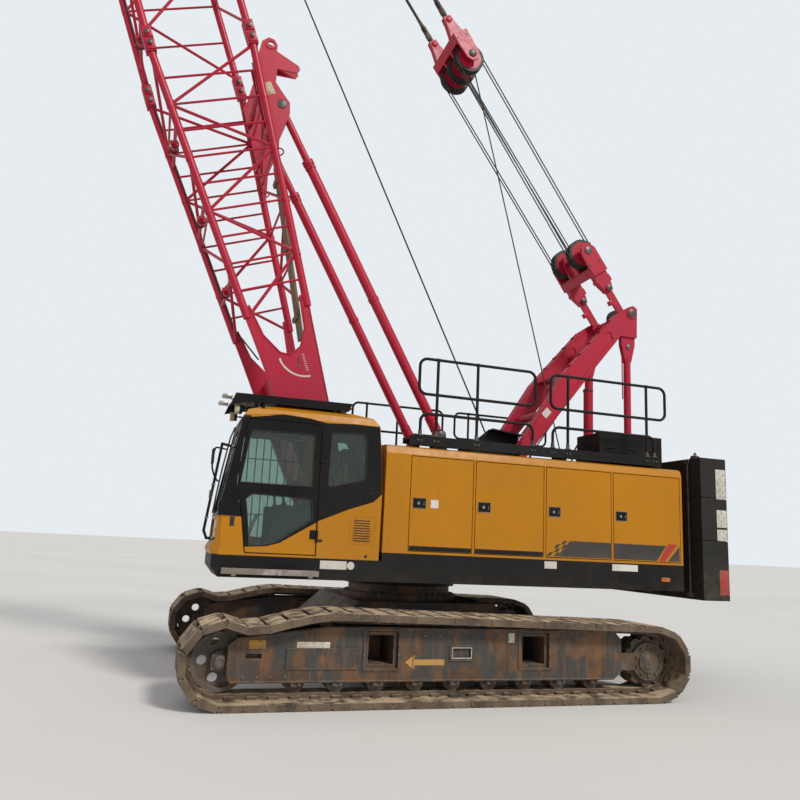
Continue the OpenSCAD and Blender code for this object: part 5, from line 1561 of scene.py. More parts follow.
@dataclass
class CabFittings:
    """Pillar strip, roof cap edge, lamps, mirrors, wipers, handles and stickers of the cab."""

    def build(self) -> None:
        """Makes the outside fittings."""
        strip = Piece("pillar_strip", "upper", GREY_STEEL, "step_alloy")
        line = [(2.283, 2.757), (2.325, 2.640), (2.384, 2.293), (2.426, 1.981), (2.446, 1.790)]
        for y in (SIDE_Y - 0.055, 0.815):
            strip.tube([(x + 0.004, y, z) for x, z in line], 0.010, 8)
        strip.done()
        cap = Piece("roof_cap_edge", "upper", YELLOW)
        under = [(2.262, 2.792), (1.866, 2.831), (1.594, 2.814), (1.398, 2.781), (1.103, 2.798),
                 (0.830, 2.793)]
        cap.tube(at_y(SIDE_Y - 0.0035, under), 0.005, 8)
        cap.done()
        self.lamps()
        self.mirrors()
        self.wipers()
        self.bars()
        label = Piece("cab_base_sticker", "upper", LABEL)
        label.block((1.098, SIDE_Y - 0.002, 1.263), (1.380, SIDE_Y + 0.0008, 1.348))
        label.turned((1.054, SIDE_Y, 1.305), Axis.Y,
                     [(0.0, -0.002), (0.040, -0.002), (0.040, 0.0008), (0.0, 0.0008)],
                     24)
        label.done()
        handle = Piece("door_latch", "cab_door", CAB_BLACK)
        handle.tube([(2.205, SIDE_Y - 0.002, 1.76), (2.208, SIDE_Y + 0.011, 1.785),
                     (2.226, SIDE_Y + 0.012, 1.90), (2.236, SIDE_Y - 0.002, 1.93)], 0.008, 10, True)
        handle.done()
        inner = Piece("door_inner_rail", "cab_door", TRIM)
        inner.tube([(1.56, 1.533, 2.035), (1.58, 1.505, 2.035), (2.10, 1.505, 2.035), (2.12, 1.533, 2.035)],
                   0.011, 10, True)
        inner.tube([(1.52, 1.5445, 2.030), (2.20, 1.5445, 2.030)], 0.012, 8)
        inner.done()

    def lamps(self) -> None:
        """Adds lenses and rims of the work lamps and the amber beacon."""
        rims = Piece("work_lamp_rims", "upper", CREAM, "black_paint")
        lenses = Piece("work_lamp_lenses", "upper", LAMP_LENS)
        for y in (1.43, 0.91):
            rims.turned((2.348, y, 2.860), Axis.X,
                        [(0.034, -0.034), (0.050, -0.028), (0.0525, 0.0), (0.0515, 0.012),
                                                    (0.046, 0.016), (0.040, 0.014), (0.038, -0.020),
                                                    (0.034, -0.034)], 28)
            lenses.turned((2.349, y, 2.860), Axis.X,
                          [(0.0, 0.002), (0.041, 0.002), (0.041, 0.006), (0.030, 0.012),
                                                      (0.0, 0.016)], 28)
            rims.bolts([(2.255, y, 2.864)], Axis.Z, 0.008, 0.010)
        high = Piece("guard_lamps", "upper", ALLOY)
        for y in (1.40, 0.94):
            high.block((2.400, y - 0.060, 2.975), (2.500, y + 0.060, 3.012), 0.012)
            high.tube([(2.385, y, 2.975), (2.40, y, 2.962), (2.42, y, 2.980)], 0.010, 8, True)
            lenses.block((2.499, y - 0.050, 2.981), (2.505, y + 0.050, 3.006), 0.002)
        high.done()
        rims.done()
        lenses.done()
        post = Piece("roof_aerial", "upper", CAB_BLACK)
        post.turned((2.08, 1.53, 2.876), Axis.Z, [(0.0, 0.0), (0.022, 0.0), (0.014, 0.030), (0.006, 0.040),
                                                  (0.003, 0.120), (0.0, 0.122)], 16)
        post.rod((1.10, 0.86, 2.90), (1.10, 0.86, 2.935), 0.035, 20)
        post.done()
        beacon = Piece("roof_beacon", "upper", AMBER)
        beacon.turned((1.10, 0.86, 2.934), Axis.Z, [(0.0, 0.0), (0.034, 0.0), (0.034, 0.050), (0.026, 0.064),
                                                    (0.0, 0.068)], 24)
        beacon.done()

    def mirrors(self) -> None:
        """Adds the mirror in front of the far pillar and the small one on the grab tube."""
        arms = Piece("mirror_arms", "upper", CAB_BLACK)
        backs = Piece("mirror_backs", "upper", TRIM)
        glasses = Piece("mirror_glasses", "upper", MIRROR)
        near, far = (2.545, 1.54, 1.955), (2.505, 0.72, 2.42)
        arms.tube([(2.530, near[1], near[2] + 0.03), near], 0.008, 8)
        arms.tube([(2.36, 0.80, 2.50), (2.44, 0.75, 2.52), (far[0] - 0.01, far[1], 2.52),
                   (far[0] - 0.01, far[1], 2.30)], 0.010, 10, True)
        arms.tube([(2.42, 0.80, 2.14), (2.46, 0.76, 2.16), (far[0] - 0.01, far[1], 2.30)], 0.010, 10, True)
        for (x, y, z), half, back, glass in ((near, 0.085 / 2, (0.045, 0.018), (0.039, 0.012)),
                                             (far, 0.17 / 2, (0.075, 0.075), (0.067, 0.067))):
            backs.block((x - 0.020, y - back[0], z - half), (x + 0.004, y + back[1], z + half), 0.008)
            glasses.block((x - 0.0215, y - glass[0], z - half + 0.008),
                          (x - 0.0190, y + glass[1], z + half - 0.008), 0.001)
        for piece in (arms, backs, glasses):
            piece.done()

    def wipers(self) -> None:
        """Adds the wipers of the windscreen and of the lower front window."""
        arms = Piece("wipers", "upper", CAB_BLACK)
        lean = Vector((-0.143, 0.0, 0.85)).normalized()
        foot = Vector((2.437, CAB_MID, 1.80))
        tip = foot + lean * 0.60 + Vector((0.014, -0.16, 0.0))
        arms.tube([foot, foot + Vector((0.020, 0, 0.02)), (foot + tip) / 2 + Vector((0.016, 0, 0)), tip],
                  0.006, 8, True)
        arms.tube([tip - lean * 0.28 + Vector((-0.004, -0.02, 0)),
                   tip + lean * 0.22 + Vector((-0.004, 0.0, 0))], 0.007,
                  8)
        arms.rod(foot - Vector((0.02, 0, 0)), foot + Vector((0.022, 0, 0)), 0.018, 16)
        arms.tube([(2.452, CAB_MID, 1.71), (2.468, 1.10, 1.66), (2.462, 0.98, 1.60)], 0.005, 8, True)
        arms.done()

    def bars(self) -> None:
        """Adds the guard grille inside the far window."""
        grille = Piece("far_window_bars", "upper", CAB_BLACK)
        for i in range(9):
            x = 1.52 + 0.085 * i
            top = 2.655 if x < 2.19 else 2.60
            grille.tube([(x, 0.797, 1.56), (x, 0.797, top)], 0.006, 8)
        for z in (1.80, 2.10, 2.42):
            grille.tube([(1.485, 0.797, z), (2.255, 0.797, z)], 0.006, 8)
        grille.done()


@dataclass
class GrabTube:
    """Clamps of the grab tube and the guard plate's edge rolls on the cab roof."""

    y: float = 1.54

    def build(self) -> None:
        """Makes the clamps and rolls."""
        clamps = Piece("grab_tube_clamps", "upper", GREY_STEEL, "black_paint")
        for a, b in (((2.350, 2.452), (2.372, 2.456)), ((2.496, 1.52), (2.476, 1.52))):
            clamps.rod((a[0], self.y, a[1]), (b[0], self.y, b[1]), 0.022, 16)
        clamps.rod((2.556, self.y, 1.735), (2.5535, self.y, 1.715), 0.0185, 16)
        clamps.rod((2.520, self.y, 2.045), (2.5175, self.y, 2.065), 0.0185, 16)
        clamps.done()
        rolls = Piece("guard_edge_rolls", "upper", CAB_BLACK)
        for y in (0.824, 1.516):
            rolls.tube([(2.418, y, 2.892), (2.370, y, 3.018), (1.122, y, 3.023)], 0.006, 8)
        for x in (1.30, 1.60, 1.90, 2.20):
            rolls.block((x - 0.012, 0.84, 2.964 + 0.008 * (x - 1.12) / 1.25), (x + 0.012, 1.50, 2.973 + 0.01),
                        0.002)
        rolls.done()


@dataclass
class CabStep:
    """Ribs and end caps of the aluminium step beside the cab."""

    def build(self) -> None:
        """Makes the step's ribs."""
        ribs = Piece("cab_step_ribs", "upper", ALLOY)
        for i in range(5):
            y = SIDE_Y + 0.0003 + 0.032 * i
            for k in range(3):
                ribs.tube([(1.425, y + 0.005 + 0.007 * k, 1.2395), (2.370, y + 0.005 + 0.007 * k, 1.2395)],
                          0.002, 6)
        ribs.bolts([(x, SIDE_Y + y, 1.2395) for x in (1.50, 2.26) for y in (0.028, 0.124)], Axis.Z, 0.008,
                   0.006)
        ribs.done()
        plates = Piece("cab_step_ends", "upper", ALLOY)
        for x in (1.4195, 2.3755):
            plates.block((x - 0.002, SIDE_Y + 0.001, 1.188), (x + 0.002, SIDE_Y + 0.151, 1.242), 0.001)
        plates.done()


@dataclass
class CabInterior:
    """Levers' boots, display, pedals, blinds and head lining seen through the windows."""

    mid: float = CAB_MID

    def build(self) -> None:
        """Makes the interior fittings."""
        boots = Piece("lever_boots", "upper", RUBBER, "cab_plastic")
        knobs = Piece("lever_knobs", "upper", TRIM)
        for k in (-1, 1):
            y = self.mid + 0.30 * k
            boots.turned((1.782, y, 1.889), Axis.Z, [(0.0, 0.0), (0.040, 0.0), (0.038, 0.008), (0.030, 0.012),
                                                     (0.032, 0.020), (0.024, 0.026), (0.025, 0.034),
                                                     (0.0, 0.040)], 24)
            knobs.turned((1.804, y, 2.075), Axis.Z,
                         [(0.0, -0.06), (0.026, -0.05), (0.030, -0.02), (0.026, 0.0),
                                                     (0.012, 0.012), (0.0, 0.014)], 20)
            for i in range(4):
                knobs.rod((1.50 + 0.06 * i, y, 1.889), (1.50 + 0.06 * i, y, 1.902), 0.014, 14)
            knobs.block((1.26, y - 0.046, 1.888), (1.46, y + 0.046, 1.925), 0.012)
        boots.done()
        knobs.done()
        screen = Piece("display_screen", "upper", CAB_BLACK, "tinted_glass")
        screen.block((2.2255, self.mid - 0.118, 1.922), (2.2305, self.mid + 0.118, 2.078), 0.002)
        screen.done()
        pedals = Piece("pedals", "upper", RUBBER, "cab_plastic")
        turn = Matrix.Rotation(math.radians(-32), 4, "Y")
        for y in (self.mid - 0.10, self.mid + 0.10):
            pedals.block((2.02, y - 0.045, 1.45), (2.16, y + 0.045, 1.465), 0.004, turn)
            pedals.rod((2.10, y, 1.455), (2.16, y, 1.430), 0.010, 10)
            pedals.tube([(2.10, y, 1.49), (2.08, y, 1.66), (2.00, y, 1.80)], 0.008, 8, True)
        pedals.done()
        lining = Piece("head_lining", "upper", TRIM)
        lining.block((1.00, 0.83, 2.800), (1.46, 1.51, 2.828), 0.008)
        lining.block((0.84, 0.86, 1.45), (0.93, 1.48, 1.94), 0.012)
        lining.tube([(1.52, 0.84, 2.69), (2.20, 0.84, 2.69)], 0.014, 10)
        lining.done()


@dataclass
class OperatorSeat:
    """Padded seat that stands for the plain seat of the frame."""

    mid: float = CAB_MID
    wide: float = 0.46
    recline: float = 8.5

    def build(self) -> None:
        """Makes the cushion, the back, the head rest, the arm rests and their base."""
        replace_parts(self.pad("seat_cushion", self.cushion()), "cab_seat")
        self.pad("seat_back", self.back())
        self.pad("seat_head_rest", self.head_rest())
        for k, name in ((-1, "right"), (1, "left")):
            self.pad(f"seat_arm_{name}", self.arm(k))
        base = Piece("seat_base", "upper", TRIM)
        base.block((1.20, self.mid - 0.16, 1.4145), (1.54, self.mid + 0.16, 1.455), 0.010)
        base.turned((1.37, self.mid, 1.45), Axis.Z,
                    [(0.0, 0.0), (0.15, 0.0), (0.13, 0.03), (0.145, 0.05), (0.12, 0.08),
                                                     (0.135, 0.10), (0.11, 0.13), (0.16, 0.17), (0.0, 0.17)],
                    32)
        base.block((1.15, self.mid - 0.20, 1.605), (1.58, self.mid + 0.20, 1.640), 0.012)
        base.done()

    def pad(self, name: str, made: bmesh.types.BMesh) -> bpy.types.Object:
        """Finishes one padded piece.

        Args:
            name: its name.
            made: its shape.

        Returns:
            The finished object.
        """
        for face in made.faces:
            face.smooth = True
        mesh = bpy.data.meshes.new(name)
        made.to_mesh(mesh)
        made.free()
        piece = bpy.data.objects.new(name, mesh)
        bpy.context.scene.collection.objects.link(piece)
        mesh.materials.append(WARDROBE.of(CLOTH))
        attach(piece, "upper")
        return piece

    @staticmethod
    def cushion_shape(size: Point, crown: float, seams: tuple[float, ...]) -> bmesh.types.BMesh:
        """Shapes a closed cushion lying flat, crowned on top and drawn in along its seams.

        Args:
            size: its length, width and thickness.
            crown: how far its middle stands up.
            seams: places of the seams across its width, from -1 to 1.

        Returns:
            The shape, centred on its underside.
        """
        made = bmesh.new()
        bmesh.ops.create_cube(made, size=2.0)
        bmesh.ops.subdivide_edges(made, edges=list(made.edges), cuts=23, use_grid_fill=True)
        for v in made.verts:
            p = v.co.copy()
            k = (abs(p.x) ** 5 + abs(p.y) ** 5 + abs(p.z) ** 5) ** 0.2
            p /= k
            v.co = Vector((p.x * size[0] / 2, p.y * size[1] / 2, (p.z + 1.0) * size[2] / 2))
            if p.z > 0:
                rise = crown * (1 - p.x ** 2) * (1 - p.y ** 2) * p.z
                draw = sum(math.exp(-((p.y - s) / 0.045) ** 2) for s in seams)
                draw += 0.7 * math.exp(-((p.x + 0.05) / 0.045) ** 2)
                v.co.z += rise - 0.011 * min(1.0, draw) * p.z
        return made

    def leant_back(self, made: bmesh.types.BMesh, place: Point) -> bmesh.types.BMesh:
        """Stands a flat cushion on its end and leans it back.

        Args:
            made: the cushion.
            place: where its middle goes.

        Returns:
            The same cushion.
        """
        upright = Matrix(((0, 0, 1, 0), (0, 1, 0, 0), (1, 0, 0, 0), (0, 0, 0, 1)))
        lean = Matrix.Translation(place) @ Matrix.Rotation(math.radians(-self.recline), 4, "Y")
        bmesh.ops.transform(made, matrix=lean @ upright, verts=made.verts)
        bmesh.ops.recalc_face_normals(made, faces=made.faces)
        return made

    def cushion(self) -> bmesh.types.BMesh:
        """Shapes the seat cushion, its front edge falling away."""
        made = self.cushion_shape((0.50, self.wide, 0.115), 0.022, (-0.62, 0.62))
        for v in made.verts:
            front = max(0.0, v.co.x / 0.25)
            v.co.z -= 0.022 * front ** 3
        bmesh.ops.translate(made, verts=made.verts, vec=(1.37, self.mid, 1.636))
        return made

    def back(self) -> bmesh.types.BMesh:
        """Shapes the back rest, hollow in the middle with raised bolsters."""
        made = self.cushion_shape((0.64, self.wide - 0.02, 0.115), 0.016, (-0.58, 0.58))
        for v in made.verts:
            side = abs(v.co.y) / (self.wide / 2)
            v.co.z += 0.018 * min(1.0, side) ** 2 if v.co.z > 0.05 else 0.0
            v.co.y *= 1.0 - 0.16 * max(0.0, v.co.x / 0.32)
        return self.leant_back(made, (1.140, self.mid, 2.065))

    def head_rest(self) -> bmesh.types.BMesh:
        """Shapes the head rest."""
        return self.leant_back(self.cushion_shape((0.18, 0.24, 0.085), 0.014, ()), (1.058, self.mid, 2.470))

    def arm(self, k: int) -> bmesh.types.BMesh:
        """Shapes one arm rest.

        Args:
            k: 1 for the left one, -1 for the right one.

        Returns:
            The shape.
        """
        made = self.cushion_shape((0.30, 0.065, 0.05), 0.006, ())
        bmesh.ops.translate(made, verts=made.verts, vec=(1.36, self.mid + k * 0.213, 1.90))
        return made


# Boom


def chord_at(u: float) -> Pair:
    """Gives half the width and half the depth of the boom's lattice at u."""
    start, end = SECTIONS[0]
    if u < JOINTS[0]:
        f = (u - start) / (end - start)
        return 0.62 + 0.01 * f, 0.375 + 0.255 * f
    if u < TOP_TAPER:
        return CHORD, CHORD
    f = (u - TOP_TAPER) / (SECTIONS[-1][1] - TOP_TAPER)
    return CHORD - 0.23 * f, CHORD - 0.33 * f


@dataclass
class BoomFootDressing:
    """Foot pin caps, angle scale, pads, plank and blank plates of the boom foot."""

    cheek_y: float = 0.64
    bracket_y: float = 0.576

    def build(self) -> None:
        """Makes the fittings of the boom foot."""
        caps = Piece("boom_foot_pin_caps", "upper", GREY_STEEL)
        for s in (1, -1):
            for y, out in ((s * 0.7155, s), (s * 0.5245, -s)):
                caps.cap((FOOT[0], y, FOOT[1]), Axis.Y, out, (0.078, 0.010), (0.062, 0.016), 32)
                caps.bolts(circle((FOOT[0], FOOT[1]), 0.052, y + out * 0.015, 6), Axis.Y, 0.009, out * 0.010)
        caps.done()
        self.scale()
        self.webs()
        eyes = Piece("bracket_pin_caps", "boom", GREY_STEEL, frame=BOOM)
        rims = Piece("bracket_eye_rims", "boom", RED, frame=BOOM)
        for s in (1, -1):
            for k in (1, -1):
                y = s * 0.5 + k * 0.076
                eyes.cap((5.55, y, 0.8), Axis.Y, k, (0.058, 0.010), (0.040, 0.018), 24)
                rims.turned((6.37, y, 0.88), Axis.Y,
                            [(0.043, -k * 0.004), (0.068, -k * 0.002), (0.068, k * 0.010),
                                                      (0.043, k * 0.010), (0.043, -k * 0.004)], 28)
        eyes.done()
        rims.done()
        for s in (1, -1):
            side = "left" if s > 0 else "right"
            for name, u, w, dw in (("upper", 6.06, 0.60, 0.035), ("lower", 5.777, 0.690, 0.055)):
                plate = Piece(f"{side}_bracket_plate_{name}", "boom", CREAM, frame=BOOM)
                plate.block((u - 0.085, s * self.bracket_y, w - dw),
                            (u + 0.085, s * (self.bracket_y + 0.003), w + dw), 0.0012,
                            Matrix.Rotation(math.radians(8), 4, "Y"))
                plate.done()
        plank = Piece("boom_plank", "boom", WOOD, frame=BOOM)
        (foot_u, foot_w), (end_u, end_w), middle, half = (2.573, 0.249), (4.884, 0.564), 3.7285, 1.166
        tilt = Matrix.Rotation(math.atan2(foot_w - end_w, end_u - foot_u), 4, "Y")
        plank.block((middle - half, 0.18, 0.40), (middle + half, 0.42, 0.436), 0.006, tilt)
        for u, w in ((2.85, 0.285), (3.75, 0.408), (4.65, 0.530)):
            plank.block((u - 0.03, 0.16, w - 0.035), (u + 0.03, 0.44, w - 0.008), 0.004)
        plank.done()

    def scale(self) -> None:
        """Adds the angle scale and its tick column on the near cheek."""
        arc = Piece("angle_scale", "boom", LABEL, "red_paint", BOOM)
        hull = [(2.342, -0.135), (2.235, -0.140), (2.060, -0.030), (2.050, 0.166)]
        fine = []
        for i in range(13):
            f = i / 12
            b = [(1 - f) ** 3, 3 * f * (1 - f) ** 2, 3 * f * f * (1 - f), f ** 3]
            fine.append(tuple(sum(k * p[axis] for k, p in zip(b, hull)) for axis in (0, 1)))
        for a, b in zip(fine, fine[1:]):
            along = Vector((b[0] - a[0], b[1] - a[1])).normalized()
            side = Vector((-along.y, along.x)) * 0.011
            arc.plate([(a[0] + side.x, a[1] + side.y), (b[0] + side.x, b[1] + side.y),
                       (b[0] - side.x, b[1] - side.y), (a[0] - side.x, a[1] - side.y)],
                      self.cheek_y - 0.001, self.cheek_y + 0.0012)
        for i in range(8):
            u = 2.325 - 0.028 * i
            arc.block((u - 0.004, self.cheek_y - 0.001, 0.135), (u + 0.004, self.cheek_y + 0.0012, 0.165))
        arc.done()
        rod = Piece("angle_pointer", "boom", GREY_STEEL, frame=BOOM)
        rod.tube([(2.20, self.cheek_y + 0.004, 0.06), (2.31, self.cheek_y + 0.004, 0.09)], 0.004, 6)
        rod.turned((2.20, self.cheek_y, 0.06), Axis.Y,
                   [(0.0, 0.0), (0.014, 0.0), (0.014, 0.008), (0.0, 0.010)], 16)
        rod.done()

    def webs(self) -> None:
        """Adds weld beads and inner ribs of the cheeks and the pads of the chord arms."""
        beads = Piece("cheek_welds", "boom", RED, frame=BOOM)
        for s in (1, -1):
            for path in ([(0.20, 0.172), (2.70, 0.372), (3.02, 0.402)],
                         [(0.20, -0.172), (2.70, -0.372), (3.02, -0.402)],
                         [(3.02, 0.322), (2.645, 0.268), (2.430, 0.155), (2.350, 0.0), (2.410, -0.112),
                          (2.655, -0.252), (3.02, -0.322)]):
                beads.tube([(u, s * self.cheek_y, w) for u, w in path], 0.009, 8)
            for u in (0.55, 0.86):
                half = 0.150 + u * 0.0855 - 0.02
                beads.block((u, s * 0.6, -half), (u + 0.016, s * 0.52, half), 0.003)
            for t in (1, -1):
                beads.turned((3.02, s * 0.645, t * 0.362), Axis.Y,
                             [(0.0, -s * 0.01), (0.030, -s * 0.01), (0.030, s * 0.004), (0.018, s * 0.010),
                              (0.0, s * 0.010)], 20)
        beads.done()


@dataclass
class LatticeDressing:
    """Node welds, joint pins and clips, rope roller brackets, cable and lifting eyes of the lattice."""

    rollers: tuple[Pair, ...] = ((3.43, -0.428), (4.40, -0.495), (5.44, -0.568), (6.9, -0.63), (9.9, -0.63))

    def build(self) -> None:
        """Makes the fittings of the three lattice sections."""
        self.joints()
        self.roller_brackets()
        self.welds()
        cable = Piece("boom_cable", "boom", RUBBER, "machinery_grey", BOOM)
        clips = Piece("boom_cable_clips", "boom", GREY_STEEL, frame=BOOM)
        path = []
        first, last, steps = 3.1, 17.8, 32
        for i in range(steps + 1):
            u = first + i * (last - first) / steps
            half_width, half_depth = chord_at(u)
            y, w = -(half_width - 0.058), -(half_depth - 0.020)
            path.append((u, y, w))
            if i % 2 == 1 and all(abs(u - joint) > 0.25 for joint in JOINTS):
                clips.rod((u - 0.012, y, w), (u + 0.012, y, w), 0.017, 10)
        cable.tube([(2.6, -0.56, -0.16), *path, (18.5, -0.34, -0.28)], 0.011, 8)
        cable.done()
        clips.done()

    def joints(self) -> None:
        """Adds caps, clips and lifting eyes at the joints between sections."""
        pins = Piece("section_pin_caps", "boom", GREY_STEEL, frame=BOOM)
        lips = Piece("section_lug_plates", "boom", RED, frame=BOOM)
        for joint in JOINTS:
            for s in (1, -1):
                for t in (1, -1):
                    for d in (-1, 1):
                        u, y, w = joint + d * 0.07, s * CHORD, t * CHORD
                        for out in (1, -1):
                            pins.cap((u, y + out * 0.090, w), Axis.Y, out, (0.030, 0.006), (0.022, 0.010), 16)
                        pins.tube([(u - 0.03, y + s * 0.112, w - 0.02), (u + 0.045, y + s * 0.112, w + 0.03)],
                                  0.005, 6)
                        for out in (1, -1):
                            lips.block((u - 0.055 - (0.02 if d < 0 else 0), y + out * 0.062, w - 0.058),
                                       (u + 0.055 + (0.02 if d > 0 else 0), y + out * 0.074, w + 0.058),
                                       0.004)
        for u in (4.9, 8.2, 10.9, 14.0, 16.6):
            y, w = chord_at(u)
            for s in (1, -1):
                lips.tube([(u - 0.05, s * y, w + 0.042), (u - 0.04, s * y, w + 0.090), (u, s * y, w + 0.108),
                           (u + 0.04, s * y, w + 0.090), (u + 0.05, s * y, w + 0.042)], 0.010, 8, True)
        pins.done()
        lips.done()

    def roller_brackets(self) -> None:
        """Adds the end plates and bolts of the rope rollers."""
        plates = Piece("roller_brackets", "boom", RED, frame=BOOM)
        rims = Piece("roller_rims", "boom", SHEAVE, frame=BOOM)
        for u, w in self.rollers:
            for s in (1, -1):
                plates.plate([(u - 0.05, w - 0.055), (u + 0.05, w - 0.055), (u + 0.035, w + 0.05),
                              (u - 0.035, w + 0.05)],
                             s * 0.082, s * 0.092)
                plates.bolts([(u, s * 0.091, w - 0.035)], Axis.Y, 0.010, s * 0.012)
                rims.band((u, s * 0.068, w), Axis.Y, (0.030, 0.057), (-0.008, 0.006), 24)
        plates.done()
        rims.done()

    def welds(self) -> None:
        """Adds the weld collars where laces meet the chords, and the thin posts between the chords."""
        collars = Piece("lace_welds", "boom", RED, frame=BOOM)
        posts = Piece("lattice_posts", "boom", RED, frame=BOOM)
        for start, end in SECTIONS:
            for i in range(1, 5):
                u = start + (end - start) * i / 5
                y, w = chord_at(u)
                for s in (1, -1):
                    for t in (1, -1):
                        collars.rod((u - 0.045, s * y, t * w), (u + 0.045, s * y, t * w), 0.0515, 12)
            for i in range(1, 10):
                u = start + (end - start) * i / 10
                y, w = chord_at(u)
                for s in (1, -1):
                    posts.rod((u, s * y, -w), (u, s * y, w), 0.015, 8)
                    if i % 4 == 0 or (i % 2 == 0 and s > 0):
                        posts.rod((u, -y, s * w), (u, y, s * w), 0.015, 8)
        collars.done()
        posts.done()


@dataclass
class BoomHead:
    """Sheave rims and hubs, axle nuts, rope guards, edge beads and warning lamp of the boom head."""

    nut_y: float = 0.4195

    def build(self) -> None:
        """Makes the fittings of the boom head."""
        rims = Piece("head_sheave_rims", "head_sheaves", SHEAVE, frame=BOOM)
        hubs = Piece("head_sheave_hubs", "head_sheaves", GREY_STEEL, frame=BOOM)
        u, w = HEAD_SHEAVE
        for y in (SHEAVE_Y, -SHEAVE_Y):
            rims.groove_rims((u, y, w), [(0.262, 0.012), (0.282, 0.013), (0.309, 0.020), (0.309, 0.030),
                                         (0.290, 0.046), (0.262, 0.046)], 56)
        for s in (1, -1):
            hubs.turned((u, s * 0.300, w), Axis.Y, [(0.052, 0.0), (0.085, 0.0), (0.085, s * 0.012),
                                                    (0.052, s * 0.016), (0.052, 0.0)], 28)
            hubs.bolts(circle(HEAD_SHEAVE, 0.115, s * 0.300, 6), Axis.Y, 0.011, s * 0.010)
        rims.done()
        hubs.done()
        rim = Piece("guide_sheave_rims", "guide_sheave", SHEAVE, frame=BOOM)
        rim.groove_rims((GUIDE_SHEAVE[0], 0.0, GUIDE_SHEAVE[1]),
                        [(0.165, 0.012), (0.181, 0.013), (0.204, 0.018), (0.204, 0.0285), (0.165, 0.0295)],
                        48)
        rim.done()
        nuts = Piece("head_axle_nuts", "boom", GREY_STEEL, frame=BOOM)
        for s in (1, -1):
            for (u, w), r, sides in ((HEAD_SHEAVE, 0.070, 6), (GUIDE_SHEAVE, 0.050, 20),
                                     (PENDANT_PIN, 0.045, 20)):
                nuts.cap((u, s * self.nut_y, w), Axis.Y, s, (r, 0.014), (r * 0.7, 0.022), sides)
        nuts.done()
        guards = Piece("head_rope_guards", "boom", RED, frame=BOOM)
        guards.tube([(18.50, 0.385, -0.36), (18.50, -0.385, -0.36)], 0.018, 12)
        guards.tube([(18.10, 0.385, 0.36), (18.10, -0.385, 0.36)], 0.024, 12)
        edge = [(17.70, -0.320), (17.70, 0.330), (18.50, 0.420), (18.88, 0.430), (18.91, 0.250)]
        for s in (1, -1):
            guards.tube([(u - 0.004, s * 0.419, w * 0.985) for u, w in edge], 0.006, 6)
        guards.done()
        lamp = Piece("head_warning_lamp", "boom", AMBER, frame=BOOM)
        lamp.turned((18.70, 0.419, 0.30), Axis.Y, [(0.0, 0.0), (0.024, 0.0), (0.024, 0.030), (0.014, 0.045),
                                                   (0.0, 0.047)], 20)
        lamp.done()


LUFF_RIM = [(0.180, 0.010), (0.196, 0.011), (0.222, 0.017), (0.222, 0.0235), (0.180, 0.0245)]


@dataclass
class PendantFittings:
    """Sockets of the pendants, caps of their clevises, and the spreader's sheave rims and nuts."""

    def build(self) -> None:
        """Makes the fittings of both pendants and of the spreader."""
        sockets = Piece("pendant_sockets", "boom", SOCKET_STEEL)
        clips = Piece("pendant_clevises", "boom", RED, frame=LINE)
        for s in (1, -1):
            a = on_line(PENDANT_LINK, s * PENDANT_Y, 0.0)
            b = on_boom(PENDANT_PIN[0], s * PENDANT_Y, PENDANT_PIN[1])
            along = (b - a).normalized()
            for near, sign in ((a, 1), (b, -1)):
                far = near + along * sign * 0.34
                mid = near + along * sign * 0.12
                sockets.rod(mid, far, 0.040, 20, 0.026)
                sockets.rod(far, far + along * sign * 0.05, 0.026, 20, 0.024)
                sockets.rod(near + along * sign * 0.05, mid, 0.043, 20)
            for k in (1, -1):
                y = s * PENDANT_Y + k * 0.0455
                clips.cap((5.02, y, 0.0), Axis.Y, k, (0.048, 0.010), (0.030, 0.018), 20)
        sockets.done()
        clips.done()
        rims = Piece("spreader_sheave_rims", "boom", SHEAVE, frame=LINE)
        for y in (-0.29, -0.23, -0.03, 0.03, 0.23, 0.29):
            rims.groove_rims((SPREADER_AXLE, y, 0.0), LUFF_RIM, 40)
        rims.done()
        nuts = Piece("spreader_axle_nuts", "boom", GREY_STEEL, frame=LINE)
        for s in (1, -1):
            nuts.cap((SPREADER_AXLE, s * AXLE_NUT_Y, 0.0), Axis.Y, s, (0.060, 0.014), (0.040, 0.022), 6)
            nuts.bolts([(4.69, s * 0.418, w) for w in (-0.08, 0.08)], Axis.Y, 0.012, s * 0.012)
        nuts.done()


@dataclass
class BackstopDressing:
    """Collars, lock bolts, foot blocks and pin caps of the backstops."""

    length: float = 3.9

    def build(self) -> None:
        """Makes the fittings of both backstops."""
        frame = side_frame(STOP_FOOT, STOP_LEAN)
        collars = Piece("backstop_collars", "backstop_tubes", RED, frame=frame)
        caps = Piece("backstop_pin_caps", "upper", GREY_STEEL)
        for s in (1, -1):
            y = s * 0.5
            for u in (0.22, 1.9, self.length - 0.12):
                collars.band((u, y, 0.0), Axis.X, (0.060, 0.070), (0.0, 0.05), 24)
            collars.bolts([(self.length - 0.095, y + 0.070, 0.0)], Axis.Y, 0.012, 0.014)
            collars.block((0.07, y - 0.030, -0.066), (0.24, y + 0.030, 0.066), 0.010)
            for k in (1, -1):
                caps.cap((STOP_FOOT[0], y + k * 0.0935, STOP_FOOT[1]), Axis.Y, k, (0.048, 0.010),
                         (0.030, 0.018), 20)
        collars.done()
        caps.done()


# Gantry and ropes


